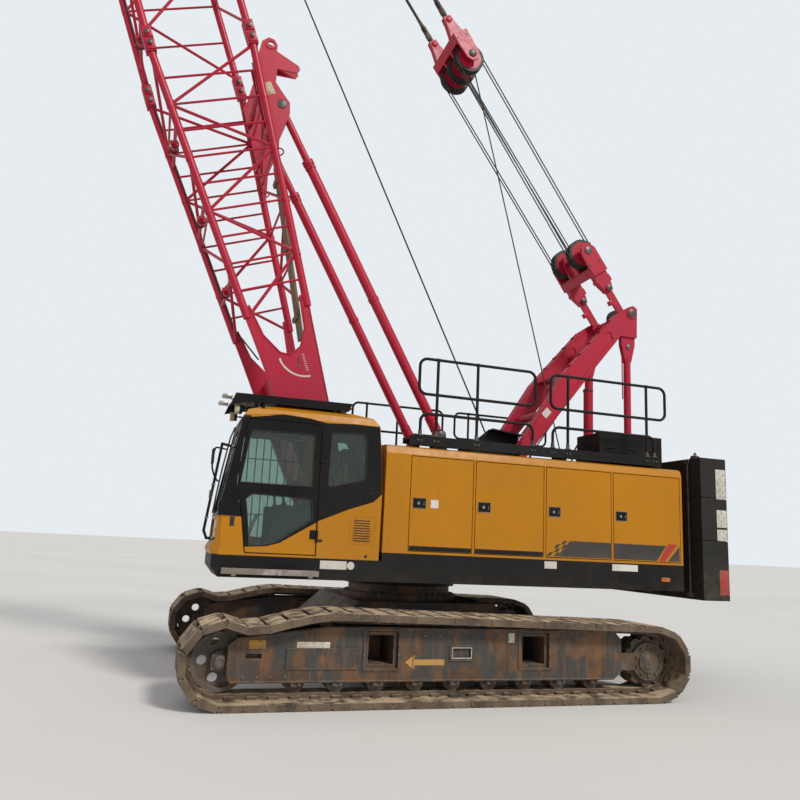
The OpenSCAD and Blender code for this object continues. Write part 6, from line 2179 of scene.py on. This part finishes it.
@dataclass
class GantryDressing:
    """Edge lips, steps, pin caps, hoses and the pale patch of the gantry."""

    y: float = 0.48
    half: float = 0.06
    cylinder_x: float = -2.777

    def build(self) -> None:
        """Makes the fittings of the gantry."""
        lips = Piece("gantry_edge_lips", "upper", RED)
        steps = Piece("gantry_steps", "upper", RED)
        caps = Piece("gantry_pin_caps", "upper", GREY_STEEL)
        for s in (1, -1):
            for face in (s * self.y + self.half, s * self.y - self.half):
                for edge in ([(-1.62, 2.905), (-2.548, 4.086), (-2.972, 4.606)],
                             [(-2.900, 4.896), (-2.083, 3.964), (-1.425, 2.920)]):
                    lips.tube(at_y(face, edge), 0.008, 8)
            for i in range(5):
                f = (i + 0.5) / 5
                x, z = -2.10 - 0.80 * f, 3.975 + 0.91 * f
                steps.block((x - 0.035, s * self.y - 0.055, z + 0.012),
                            (x + 0.020, s * self.y + 0.055, z + 0.022), 0.003)
            for x, z, r, reach in ((-1.15, 2.44, 0.055, 0.0945), (HEAD[0], HEAD[1], 0.062, 0.0715)):
                for k in (1, -1):
                    y = s * self.y + k * reach
                    caps.cap((x, y, z), Axis.Y, k, (r, 0.010), (r * 0.7, 0.018), 24)
            caps.bolts([(-3.11 + a, s * self.y + b, 2.3295) for a in (-0.058, 0.058)
                        for b in (-0.058, 0.058)], Axis.Z,
                       0.011, 0.014)
            caps.cap((-3.11, s * (self.y + 0.034), 4.46), Axis.Y, s, (0.034, 0.012), (0.022, 0.018), 20)
            steps.tube([(-3.028, s * self.y, 4.30), (-3.035, s * self.y, 3.70)], 0.010, 6)
        for piece in (lips, steps, caps):
            piece.done()
        self.hoses()
        pulley = Piece("gantry_head_pulley", "upper", SHEAVE)
        pulley.turned((HEAD[0], 0.15, HEAD[1]), Axis.Y,
                      [(0.045, -0.030), (0.060, -0.030), (0.060, -0.012), (0.110, -0.012), (0.145, -0.026),
                       (0.150, -0.020),
                       (0.128, 0.0), (0.150, 0.020), (0.145, 0.026), (0.110, 0.012), (0.060, 0.012),
                       (0.060, 0.030), (0.045, 0.030), (0.045, -0.030)], 40)
        pulley.rod((HEAD[0], -0.30, HEAD[1]), (HEAD[0], 0.30, HEAD[1]), 0.044, 20)
        pulley.done()
        patch = Piece("gantry_patch", "upper", LABEL, "red_paint")
        patch.plate([(-1.790, 3.290), (-1.870, 3.385), (-1.800, 3.445), (-1.720, 3.350)],
                    self.y + self.half + 0.0065, self.y + self.half + 0.0095)
        patch.done()
        seal = Piece("gantry_cylinder_rings", "upper", GREY_STEEL)
        for z in (3.16, 3.55, 3.86):
            seal.band((self.cylinder_x, 0.0, z), Axis.Z, (0.060, 0.074), (0.0, 0.028), 28)
        seal.bolts([(self.cylinder_x + a, b, 3.089) for a in (-0.085, 0.085) for b in (-0.055, 0.055)],
                   Axis.Z, 0.010, 0.012)
        seal.done()

    def hoses(self) -> None:
        """Leads the hydraulic hoses of the gantry cylinder."""
        hoses = Piece("gantry_hoses", "upper", RUBBER, "machinery_grey")
        for y in (-0.03, 0.03):
            hoses.tube([(-2.71, y, 3.12), (-2.60, y, 3.10), (-2.52, y * 3, 2.70), (-2.55, y * 3, 2.305)],
                       0.012, 10, True)
        for s in (1, -1):
            hoses.tube([(-2.68, s * 0.415, 4.21), (-2.24, s * 0.413, 3.66), (-1.86, s * 0.413, 3.12),
                        (-1.50, s * 0.413, 2.60), (-1.42, s * 0.413, 1.96)], 0.009, 8)
        hoses.done()


@dataclass
class BailDressing:
    """Sheave rims, nuts, lugs and rope guards of the bail."""

    plate_y: float = 0.34

    def build(self) -> None:
        """Makes the fittings of the bail."""
        rims = Piece("bail_sheave_rims", "bail", SHEAVE, frame=LINE)
        for y in (-0.25, -0.19, 0.19, 0.25):
            rims.groove_rims((BAIL_AXLE, y, 0.0), LUFF_RIM, 40)
        rims.done()
        nuts = Piece("bail_nuts", "bail", GREY_STEEL, frame=LINE)
        lugs = Piece("bail_lugs", "bail", RED, frame=LINE)
        for s in (1, -1):
            nuts.cap((BAIL_AXLE, s * AXLE_NUT_Y, 0.0), Axis.Y, s, (0.060, 0.014), (0.040, 0.022), 6)
            for k in (1, -1):
                nuts.cap((0.48, s * self.plate_y + k * 0.0695, 0.0), Axis.Y, k, (0.044, 0.010),
                         (0.030, 0.016), 20)
            nuts.bolts([(u, s * 0.4175, w) for u in (0.90, 1.18) for w in (-0.085, 0.085)], Axis.Y, 0.012,
                       s * 0.013)
            lugs.block((0.24, s * self.plate_y - 0.030, -0.105), (0.31, s * self.plate_y + 0.030, -0.045),
                       0.006)
            lugs.block((0.56, s * self.plate_y - 0.046, 0.108), (0.66, s * self.plate_y + 0.046, 0.135),
                       0.006)
            lugs.block((0.60, s * self.plate_y - 0.046, -0.135), (0.66, s * self.plate_y + 0.046, -0.112),
                       0.006)
        for w in (0.118, -0.118):
            lugs.rod((0.862, -0.40, w), (0.862, 0.40, w), 0.012, 10)
        nuts.done()
        lugs.done()


@dataclass
class LuffingRopes:
    """Eight falls between the bail and the spreader, their wraps and the lead from the luffing drum."""

    rope: float = 0.009
    groove: float = 0.204
    low_u: float = BAIL_AXLE
    high_u: float = SPREADER_AXLE
    steps: int = 24
    turn_over: float = 0.30

    def build(self) -> None:
        """Makes every fall and wrap."""
        low = Piece("bail_rope_wraps", "bail", ROPE, frame=LINE)
        high = Piece("spreader_rope_wraps", "boom", ROPE, frame=LINE)
        for y_low, y_high in ((0.25, 0.29), (0.19, 0.23), (-0.19, -0.23), (-0.25, -0.29)):
            low.tube(arc_points((self.low_u, 0.0), self.groove, y_low, 90, 270), self.rope, 8)
            high.tube(arc_points((self.high_u, 0.0), self.groove, y_high, -90, 90), self.rope, 8)
            for k in (1, -1):
                side = "rear" if k > 0 else "front"
                name = f"luffing_fall_{side}_{round(y_low * 100 + 100)}"
                fall = Piece(name, "boom", ROPE)
                a = on_line(self.low_u, y_low, k * self.groove)
                b = on_line(self.high_u, y_high, k * self.groove)
                fall.tube([a.lerp(b, (i / self.steps) ** 1.4) for i in range(self.steps + 1)], self.rope, 8)
                fall.stretched()
        for y in (0.03, -0.03):
            high.tube(arc_points((self.high_u, 0.0), self.groove, y, -90, 90), self.rope, 8)
        low.done()
        high.done()
        lead = Piece("luffing_lead", "boom", ROPE)
        a = Vector((-2.6545, 0.03, 1.62))
        b = on_line(self.high_u, 0.03, self.groove)
        lead.tube([a.lerp(b, (i / self.steps) ** 1.2) for i in range(self.steps + 1)], self.rope, 8)
        lead.stretched()


@dataclass
class HoistRopes:
    """Hoist rope from the main drum over the guide sheave and the head, with its falls and wraps."""

    rope: float = 0.011
    drum: Pair = WINCHES["main_drum"]
    drum_r: float = 0.205
    guide_r: float = 0.191
    head_r: float = 0.296
    fall_y: float = SHEAVE_Y
    hook: Pair = HOOK
    steps: int = 28

    def build(self) -> None:
        """Makes the rope in its parts."""
        guide = on_boom(GUIDE_SHEAVE[0], 0.0, GUIDE_SHEAVE[1])
        head = on_boom(HEAD_SHEAVE[0], 0.0, HEAD_SHEAVE[1])
        along = Vector((guide.x - self.drum[0], 0.0, guide.z - self.drum[1])).normalized()
        off = Vector((-along.z, 0.0, along.x))
        a = Vector((self.drum[0], 0.0, self.drum[1])) + off * self.drum_r
        b = guide + off * self.guide_r
        line = Piece("hoist_line_lead", "boom", ROPE)
        line.tube([a.lerp(b, (i / self.steps) ** 1.2) for i in range(self.steps + 1)], self.rope, 8)
        line.stretched()
        reach = (head - guide).length
        rise = math.asin((self.head_r - self.guide_r) / reach) + math.atan2(head.z - guide.z,
                                                                            head.x - guide.x)
        top = Piece("hoist_rope_over_head", "boom", ROPE)
        first = math.degrees(math.atan2(off.z, off.x))
        last = 90 + math.degrees(rise)
        wrap = arc_points((guide.x, guide.z), self.guide_r, 0.0, first, last, 12)
        cross = Vector((head.x, self.fall_y, head.z)) + Vector((-math.sin(rise), 0.0,
                                                                math.cos(rise))) * self.head_r
        top.tube([*wrap, cross], self.rope, 8)
        top.done()
        wraps = Piece("head_rope_wraps", "hoist_line", ROPE)
        wraps.tube(arc_points((head.x, head.z), self.head_r, self.fall_y, last, 0, 14), self.rope, 8)
        wraps.tube(arc_points((head.x, head.z), self.head_r, -self.fall_y, 180, 0, 20), self.rope, 8)
        wraps.done()
        self.falls(head)

    def falls(self, head: Vector) -> None:
        """Makes the four falls and their wraps under the hook block's sheaves.

        Args:
            head: centre of the head sheaves.
        """
        low = self.hook[1] - HOOK_SHEAVE_DROP
        made = []
        for y in (self.fall_y, -self.fall_y):
            for k in (1, -1):
                x = self.hook[0] + k * self.head_r
                name = f"hoist_fall_{'left' if y > 0 else 'right'}_{'front' if k > 0 else 'rear'}"
                fall = Piece(name, "hoist_line", ROPE)
                fall.tube([(x, y, head.z + (low - head.z) * i / 12) for i in range(13)], self.rope, 8)
                made.append(fall.stretched())
        for piece in made:
            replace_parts(piece, "hoist_falls")
        under = Piece("hook_rope_wraps", "hook_block", ROPE)
        for y in (self.fall_y, -self.fall_y):
            under.tube(arc_points((self.hook[0], low), self.head_r, y, 180, 360, 20), self.rope, 8)
        under.done()


@dataclass
class HookDressing:
    """Sheave rims, cheek bolts, swivel, latch and warning stripes of the hook block."""

    x: float = HOOK[0]
    z: float = HOOK[1]

    def build(self) -> None:
        """Makes the fittings of the hook block."""
        rims = Piece("hook_sheave_rims", "hook_block", SHEAVE)
        axle_z = self.z - HOOK_SHEAVE_DROP
        for y in (SHEAVE_Y, -SHEAVE_Y):
            rims.groove_rims((self.x, y, axle_z),
                             [(0.270, 0.012), (0.286, 0.013), (0.312, 0.020), (0.312, 0.0285),
                                                   (0.270, 0.0295)], 48)
        rims.done()
        bolts = Piece("hook_bolts", "hook_block", GREY_STEEL)
        stripes = Piece("hook_stripes", "hook_block", CAB_BLACK)
        for s in (1, -1):
            bolts.cap((self.x, s * 0.2395, axle_z), Axis.Y, s, (0.058, 0.012), (0.040, 0.020), 6)
            bolts.bolts([(self.x + dx, s * 0.2195, self.z + dz) for dx, dz in
                         ((-0.20, 0.01), (0.20, 0.01), (-0.27, -0.20), (0.27, -0.20), (-0.16, -0.52),
                          (0.16, -0.52))],
                        Axis.Y, 0.015, s * 0.016)
            for i in range(3):
                z = self.z - 0.30 - 0.085 * i
                half = 0.19 - 0.012 * i
                stripes.plate([(self.x - half, z), (self.x + half, z + 0.05), (self.x + half, z + 0.012),
                               (self.x - half, z - 0.038)], s * 0.2195, s * 0.2210)
        bolts.done()
        stripes.done()
        swivel = Piece("hook_swivel", "hook_block", SOCKET_STEEL)
        swivel.turned((self.x, 0.0, self.z - 0.60), Axis.Z,
                      [(0.0, 0.04), (0.085, 0.04), (0.090, 0.0), (0.080, -0.05), (0.052, -0.07),
                       (0.050, -0.18), (0.060, -0.20), (0.060, -0.23), (0.0, -0.23)], 32)
        swivel.done()
        latch = Piece("hook_latch", "hook_block", GREY_STEEL)
        latch.tube([(self.x + 0.035, 0.0, self.z - 0.845), (self.x + 0.10, 0.0, self.z - 0.90),
                    (self.x + 0.125, 0.0, self.z - 0.985)], 0.010, 8, True)
        latch.turned((self.x + 0.035, 0.0, self.z - 0.845), Axis.Y,
                     [(0.0, -0.03), (0.016, -0.03), (0.016, 0.03),
                                                                     (0.0, 0.03)], 16)
        latch.done()


# Deck, walkways and counterweight


@dataclass
class DrumWinding:
    """Rope lying in turns on one winch drum, with its flange ribs."""

    body: str
    radius: float
    flange: float
    rope: float = 0.012
    half: float = 0.300
    per_turn: int = 28

    def build(self) -> None:
        """Makes both layers of rope and the ribs of the flanges."""
        rope = Piece(f"{self.body}_rope", self.body, ROPE)
        self.coil(rope, self.radius + 0.019, -self.half + 0.012, self.half - 0.012)
        self.coil(rope, self.radius + 0.043, -self.half + 0.012, 0.095)
        rope.done()
        ribs = Piece(f"{self.body}_ribs", self.body, GREY_STEEL)
        centre = WINCHES[self.body]
        x, z = centre
        for s in (1, -1):
            y = s * 0.3245
            ribs.band((x, y, z), Axis.Y, (self.flange - 0.022, self.flange - 0.001), (0.0, s * 0.007), 48)
            for hub, edge in zip(circle(centre, 0.085, y, 8), circle(centre, self.flange - 0.02, y, 8)):
                ribs.rod(hub, edge, 0.006, 6)
            ribs.bolts(circle(centre, 0.078, y, 8, 0.5), Axis.Y, 0.009, s * 0.009)
        ribs.done()

    def coil(self, piece: Piece, radius: float, y0: float, y1: float) -> None:
        """Winds one layer.

        Args:
            piece: piece that takes it.
            radius: radius of the rope's centre line.
            y0: where it starts.
            y1: where it ends.
        """
        steps = int((y1 - y0) / (2 * self.rope)) * self.per_turn
        x, z = WINCHES[self.body]
        angles = [math.tau * i / self.per_turn for i in range(steps + 1)]
        piece.tube([(x + radius * math.cos(a), y0 + (y1 - y0) * i / steps, z + radius * math.sin(a))
                    for i, a in enumerate(angles)], self.rope, 4)


@dataclass
class EngineDressing:
    """What shows of the engine with the right doors open: ribs, covers, manifold, filters and pulleys."""

    rear: float = -2.78
    front: float = -1.52
    face: float = -1.48
    top: float = 2.30

    def build(self) -> None:
        """Makes the fittings of the engine."""
        cast = Piece("engine_castings", "upper", GREY_STEEL)
        for i in range(6):
            x = self.rear + 0.06 + 0.20 * i
            cast.block((x, self.face - 0.022, 1.74), (x + 0.13, self.face + 0.001, 2.20), 0.012)
            cast.block((x, -1.38, self.top - 0.001), (x + 0.15, -1.12, self.top + 0.075), 0.018)
            cast.tube([(x + 0.07, -1.36, self.top + 0.03), (x + 0.07, -1.43, self.top + 0.04),
                       (x + 0.07, -1.44, self.top + 0.10)], 0.024, 12, True)
        cast.block((self.rear, self.face - 0.016, 1.665), (self.front, self.face + 0.001, 1.69), 0.004)
        cast.tube([(self.rear + 0.05, -1.44, self.top + 0.11), (self.front - 0.04, -1.44, self.top + 0.11)],
                  0.034, 16)
        cast.bolts([(self.rear + 0.04 + 0.095 * i, self.face - 0.016, 1.678) for i in range(13)], Axis.Y,
                   0.007, -0.008)
        cast.done()
        filters = Piece("engine_filters", "upper", BLACK, "machinery_grey")
        filters.turned((-2.72, -0.94, self.top + 0.14), Axis.X,
                       [(0.0, 0.0), (0.10, 0.0), (0.115, 0.02), (0.115, 0.40), (0.09, 0.43), (0.0, 0.43)], 32)
        for x in (-2.20, -2.02):
            filters.turned((x, -0.90, self.top - 0.001), Axis.Z,
                           [(0.0, 0.0), (0.055, 0.0), (0.058, 0.02), (0.058, 0.17), (0.040, 0.19),
                            (0.0, 0.19)], 24)
        filters.done()
        hoses = Piece("engine_hoses", "upper", RUBBER, "machinery_grey")
        hoses.tube([(-2.29, -0.94, 2.44), (-1.80, -0.94, 2.47), (-1.66, -1.05, 2.45), (-1.66, -1.20, 2.36)],
                   0.045, 16, True)
        hoses.tube([(-1.60, self.face - 0.018, 2.24), (-1.60, self.face - 0.018, 1.80)], 0.014, 10)
        hoses.done()
        wheels = Piece("engine_pulleys", "upper", SHEAVE, "machinery_grey")
        for y, z, r in ((-1.11, 1.80, 0.12), (-1.11, 2.12, 0.09), (-1.36, 2.02, 0.06)):
            wheels.turned((self.front + 0.02, y, z), Axis.X,
                          [(0.0, 0.0), (r, 0.0), (r, 0.012), (r - 0.012, 0.024), (r, 0.036), (r, 0.048),
                           (0.0, 0.048)], 32)
        wheels.done()


@dataclass
class DeckDressing:
    """Winch cheek bolts, pipes, guard hole rim, tread studs and service fittings of the main deck."""

    def build(self) -> None:
        """Makes the fittings of the deck."""
        bolts = Piece("winch_cheek_bolts", "upper", GREY_STEEL)
        for x, z in WINCHES.values():
            for k in (1, -1):
                bolts.bolts(circle((x, z), 0.085, k * 0.3845, 8), Axis.Y, 0.010, -k * 0.010)
                bolts.bolts([(x + d, k * 0.3845, 1.245) for d in (-0.21, 0.21)], Axis.Y, 0.012, -k * 0.012)
        bolts.done()
        pipes = Piece("deck_pipes", "upper", GREY_STEEL)
        hoses = Piece("deck_hoses", "upper", RUBBER, "machinery_grey")
        for i in range(4):
            y = 0.510 + 0.034 * i
            pipes.tube([(-2.90, y, 1.46), (-0.45, y, 1.46), (-0.35, y, 1.46), (0.38, y, 1.46)], 0.011, 8)
            hoses.tube([(0.38, y, 1.46), (0.50, y, 1.47), (0.56, y, 1.40), (0.56, y, 1.225)], 0.014, 10, True)
            pipes.tube([(-2.90, -y, 1.46), (0.38, -y, 1.46)], 0.011, 8)
        for x in (-2.4, -1.5, -0.6, 0.2):
            for s in (1, -1):
                pipes.block((x, s * 0.4805, 1.440), (x + 0.03, s * 0.63, 1.449))
                pipes.bolts([(x + 0.015, s * 0.49, 1.449), (x + 0.015, s * 0.625, 1.449)], Axis.Z, 0.007,
                            0.010)
        pipes.done()
        hoses.done()
        rim = Piece("guard_hole_rim", "upper", BLACK)
        for y, k in ((0.1755, 1), (0.1495, -1)):
            rim.band((-1.44, y, 2.90), Axis.Y, (0.0605, 0.078), (-k * 0.002, k * 0.005), 28)
        rim.block((-1.535, 0.1745, 2.02), (-1.515, 0.192, 3.04), 0.002)
        rim.block((-0.915, 0.1745, 2.02), (-0.895, 0.192, 2.84), 0.002)
        rim.done()
        studs = Piece("deck_tread_studs", "upper", BLACK)
        for i in range(11):
            for j in range(10):
                x, y = -3.12 + 0.055 * i, -0.50 + 0.11 * j
                if not (x > -2.92 and abs(y) < 0.17) and not (x < -3.02 and abs(abs(y) - 0.48) < 0.10):
                    studs.block((x - 0.018, y - 0.005, 2.2995), (x + 0.018, y + 0.005, 2.304), 0.0,
                                Matrix.Rotation(math.radians(45 if (i + j) % 2 else -45), 4, "Z"))
        studs.done()
        self.service()

    def service(self) -> None:
        """Adds the exhaust outlet, the air inlet and the filler caps on the right housing."""
        stack = Piece("exhaust_outlet", "upper", WHEEL_STEEL, "machinery_grey")
        stack.turned((-2.05, -0.92, HOUSE_ROOF), Axis.Z,
                     [(0.0, 0.0), (0.095, 0.0), (0.095, 0.018), (0.060, 0.028),
                                                     (0.060, 0.26), (0.052, 0.27), (0.052, 0.05),
                                                          (0.0, 0.05)], 32)
        stack.bolts([(-2.05 + 0.08 * math.cos(a), -0.92 + 0.08 * math.sin(a), 2.636) for a in
                     (math.tau * i / 6 for i in range(6))], Axis.Z, 0.007, 0.009)
        stack.done()
        cap = Piece("filler_caps", "upper", BLACK)
        for x in (-0.10, 0.45):
            cap.turned((x, -0.95, HOUSE_ROOF), Axis.Z,
                       [(0.0, 0.0), (0.052, 0.0), (0.052, 0.020), (0.060, 0.024),
                                                   (0.060, 0.050), (0.052, 0.056), (0.0, 0.058)], 12)
        cap.done()
        inlet = Piece("air_box_fittings", "upper", BLACK)
        for i in range(9):
            z = 2.675 + 0.032 * i
            inlet.block((-2.172, 0.76, z), (-2.166, 1.175, z + 0.014), 0.002,
                        Matrix.Rotation(math.radians(25), 4, "Y"))
        inlet.tube([(-3.086, 0.705, 3.049), (-2.174, 0.705, 3.049), (-2.174, 1.231, 3.049),
                    (-3.086, 1.231, 3.049), (-3.086, 0.705, 3.049)], 0.007, 8)
        for x in (-2.95, -2.63, -2.31):
            inlet.tube([(x - 0.05, 1.234, 2.86), (x - 0.05, 1.246, 2.87), (x + 0.05, 1.246, 2.87),
                        (x + 0.05, 1.234, 2.86)],
                       0.006, 8)
        inlet.bolts([(x, y, 3.049) for x in (-3.03, -2.63, -2.23) for y in (0.75, 1.185)], Axis.Z, 0.009,
                    0.010)
        inlet.done()


@dataclass
class WalkwayDressing:
    """Tread studs, brackets' bolts, rail clamps and rail welds of both walkways."""

    rail_y: float = 1.52
    posts: tuple[float, ...] = (-1.075, -0.357, 0.139, 0.330, -2.76, -2.655, -1.544, -1.340)

    def build(self) -> None:
        """Makes the fittings of both walkways."""
        studs = Piece("walkway_studs", "upper", BLACK)
        clamps = Piece("rail_clamps", "upper", GREY_STEEL, "black_paint")
        knots = Piece("rail_welds", "upper", BLACK)
        for s in (1, -1):
            for i in range(58):
                for j in range(3):
                    x, y = -2.80 + 0.0565 * i, s * (1.315 + 0.062 * j)
                    studs.block((x - 0.014, y - 0.004, 2.7348), (x + 0.014, y + 0.004, 2.7385), 0.0,
                                Matrix.Rotation(math.radians(45 if (i + j) % 2 else -45), 4, "Z"))
            for x in self.posts:
                clamps.turned((x, s * self.rail_y, 2.7502), Axis.Z,
                              [(0.0175, 0.0), (0.034, 0.0), (0.034, 0.010),
                                                                     (0.022, 0.016), (0.022, 0.060),
                                                                     (0.0175, 0.060), (0.0175, 0.0)], 20)
                clamps.bolts([(x + d, s * 1.5395, 2.70) for d in (-0.022, 0.022)], Axis.Y, 0.007, s * 0.009)
            for x in (-0.357, 0.139, -2.655, -1.544):
                for z in (3.005, 3.230, 3.640):
                    knots.turned((x, s * self.rail_y, z), Axis.X,
                                 [(0.0173, -0.024), (0.0205, -0.018), (0.0205, 0.018),
                                                                   (0.0173, 0.024), (0.0173, -0.024)], 16)
            knots.bolts([(x, s * 1.5398, 2.655) for x in (-2.75, -2.13, -1.51, -0.89, -0.27, 0.35)], Axis.Y,
                        0.009, s * 0.010)
        for piece in (studs, clamps, knots):
            piece.done()


@dataclass
class CounterweightDressing:
    """Reflective plates, tie rods, scuff strips and lifting rings of the counterweight."""

    def build(self) -> None:
        """Makes the fittings of the counterweight."""
        for s in (1, -1):
            side, face = "left" if s > 0 else "right", s * SIDE_Y
            marks = Piece(f"{side}_reflectors", "upper", LABEL)
            for z0, z1 in ((2.29, 2.665), (1.94, 2.155), (1.775, 1.915)):
                marks.block((-3.776, face - 0.001, z0), (-3.625, face + 0.0012, z1), 0.0003)
                marks.bolts([(x, face + s * 0.0012, z) for x in (-3.765, -3.636)
                             for z in (z0 + 0.012, z1 - 0.012)], Axis.Y,
                            0.004, s * 0.002)
            marks.done()
            foot = Piece(f"{side}_foot_mark", "upper", DECAL_RED)
            foot.block((-3.776, face - 0.001, 1.12), (-3.640, face + 0.0012, 1.42), 0.0003)
            foot.done()
        rods = Piece("ballast_tie_rods", "upper", GREY_STEEL)
        for s in (1, -1):
            for y in (0.55, 1.35):
                rods.rod((-3.388, s * y, 1.10), (-3.388, s * y, 2.78), 0.012, 10)
                rods.block((-3.4005, s * y - 0.04, 2.74), (-3.372, s * y + 0.04, 2.79), 0.004)
                rods.block((-3.4005, s * y - 0.04, 1.08), (-3.372, s * y + 0.04, 1.13), 0.004)
            rods.cap((-3.60, s * 1.10, 2.7995), Axis.Z, 1, (0.045, 0.012), (0.030, 0.020), 6)
        rods.done()
        rings = Piece("ballast_shackles", "upper", SOCKET_STEEL, "machinery_grey")
        for s in (1, -1):
            rings.rod((-3.72, s * 1.075, 2.848), (-3.72, s * 1.125, 2.848), 0.012, 12)
            rings.tube([(-3.72, s * 1.078, 2.848), (-3.72, s * 1.076, 2.90), (-3.72, s * 1.10, 2.935),
                        (-3.72, s * 1.124, 2.90), (-3.72, s * 1.122, 2.848)], 0.010, 10, True)
        rings.done()


ASSEMBLIES = [
    TrackDressing(Side.LEFT), TrackDressing(Side.RIGHT),
    TrackFrameDressing(Side.LEFT), TrackFrameDressing(Side.RIGHT), UndercarriageMarks(), CarbodyDressing(),
    HousingDoors(Side.LEFT), HousingDoors(Side.RIGHT), HousingMarks(), HousingTrim(),
    CabPaint(), CabSeams(), CabFittings(), GrabTube(), CabStep(), CabInterior(), OperatorSeat(),
    BoomFootDressing(), LatticeDressing(), BoomHead(), PendantFittings(), BackstopDressing(),
    GantryDressing(), BailDressing(), LuffingRopes(), HoistRopes(), HookDressing(),
    DrumWinding("main_drum", 0.17, 0.30), DrumWinding("aux_drum", 0.17, 0.30),
    DrumWinding("luff_drum", 0.14, 0.26),
    EngineDressing(), DeckDressing(), WalkwayDressing(), CounterweightDressing(),
]


# Stage


@dataclass
class Studio:
    """Plain pale floor, pale surroundings and soft light."""

    floor_size: float = 400.0
    floor_colour: Colour = (0.78, 0.765, 0.735)
    sky_colour: Colour = (0.80, 0.84, 0.88)
    fill: float = 0.50
    sun_strength: float = 2.0
    sun_width: float = 12.0
    sun_turn: Point = (48.0, 0.0, 205.0)

    def build(self) -> None:
        """Makes the floor, the surroundings and the lamps."""
        piece = bmesh.new()
        bmesh.ops.create_grid(piece, x_segments=1, y_segments=1, size=self.floor_size / 2)
        mesh = bpy.data.meshes.new("floor")
        piece.to_mesh(mesh)
        piece.free()
        floor = bpy.data.objects.new("floor", mesh)
        bpy.context.scene.collection.objects.link(floor)
        mesh.materials.append(self.floor_material())
        self.surroundings()
        lamp = bpy.data.lights.new("sun", "SUN")
        lamp.energy = self.sun_strength
        lamp.angle = math.radians(self.sun_width)
        lamp.color = (1.0, 0.97, 0.92)
        sun = bpy.data.objects.new("sun", lamp)
        sun.rotation_euler = [math.radians(a) for a in self.sun_turn]
        bpy.context.scene.collection.objects.link(sun)

    def floor_material(self) -> bpy.types.Material:
        """Makes the matt floor."""
        w = Wiring("studio_floor")
        pale = tuple(c * 0.93 for c in self.floor_colour)
        return w.shade(Base_Color=w.mix(w.step(w.noise(0.15, 3.0), 0.3, 0.8), self.floor_colour, pale),
                       Roughness=0.9)

    def surroundings(self) -> None:
        """Makes a world that looks pale and lights softly."""
        world = bpy.data.worlds.new("studio")
        bpy.context.scene.world = world
        world.use_nodes = True
        tree = world.node_tree
        tree.nodes.clear()
        out = tree.nodes.new("ShaderNodeOutputWorld")
        seen = tree.nodes.new("ShaderNodeBackground")
        seen.inputs[0].default_value = (*self.sky_colour, 1.0)
        lights = tree.nodes.new("ShaderNodeBackground")
        lights.inputs[0].default_value = (0.93, 0.96, 1.0, 1.0)
        lights.inputs[1].default_value = self.fill
        path = tree.nodes.new("ShaderNodeLightPath")
        either = tree.nodes.new("ShaderNodeMath")
        either.operation = "MAXIMUM"
        tree.links.new(path.outputs["Is Camera Ray"], either.inputs[0])
        tree.links.new(path.outputs["Is Transmission Ray"], either.inputs[1])
        blend = tree.nodes.new("ShaderNodeMixShader")
        tree.links.new(either.outputs[0], blend.inputs[0])
        tree.links.new(lights.outputs[0], blend.inputs[1])
        tree.links.new(seen.outputs[0], blend.inputs[2])
        tree.links.new(blend.outputs[0], out.inputs[0])


@dataclass
class PhotoCamera:
    """The camera at the photograph's place, found from the machine's own edges."""

    place: Point = (3.043, 9.254, 1.554)
    yaw: float = -17.652
    pitch: float = 10.981
    roll: float = 2.742
    lens: float = 33.324

    def build(self) -> None:
        """Makes the camera and sets it as the scene's."""
        yaw, pitch, roll = (math.radians(a) for a in (self.yaw, self.pitch, self.roll))
        ahead = Vector((math.sin(yaw) * math.cos(pitch), -math.cos(yaw) * math.cos(pitch), math.sin(pitch)))
        right = ahead.cross(Vector((0.0, 0.0, 1.0))).normalized()
        up = right.cross(ahead)
        across = right * math.cos(roll) + up * math.sin(roll)
        above = up * math.cos(roll) - right * math.sin(roll)
        data = bpy.data.cameras.new("photo_camera")
        data.lens, data.sensor_width, data.sensor_fit = self.lens, 36.0, "HORIZONTAL"
        data.clip_start, data.clip_end = 0.1, 1000.0
        camera = bpy.data.objects.new("photo_camera", data)
        turn = Matrix((across, above, -ahead)).transposed().to_4x4()
        camera.matrix_world = Matrix.Translation(self.place) @ turn
        bpy.context.scene.collection.objects.link(camera)
        bpy.context.scene.camera = camera


def main() -> None:
    """Builds the scene piece by piece."""
    logging.basicConfig(level=logging.INFO, format="%(name)s: %(message)s")
    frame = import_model()
    bpy.context.scene.view_settings.view_transform = "Standard"
    PhotoCamera().build()
    Studio().build()
    for name, node in frame["nodes"].items():
        WARDROBE.dress(node, NODE_FINISH[name])
    for assembly in ASSEMBLIES:
        before = len(bpy.data.objects)
        assembly.build()
        log.info("%s: %d pieces", type(assembly).__name__, len(bpy.data.objects) - before)


if __name__ == "__main__":
    main()
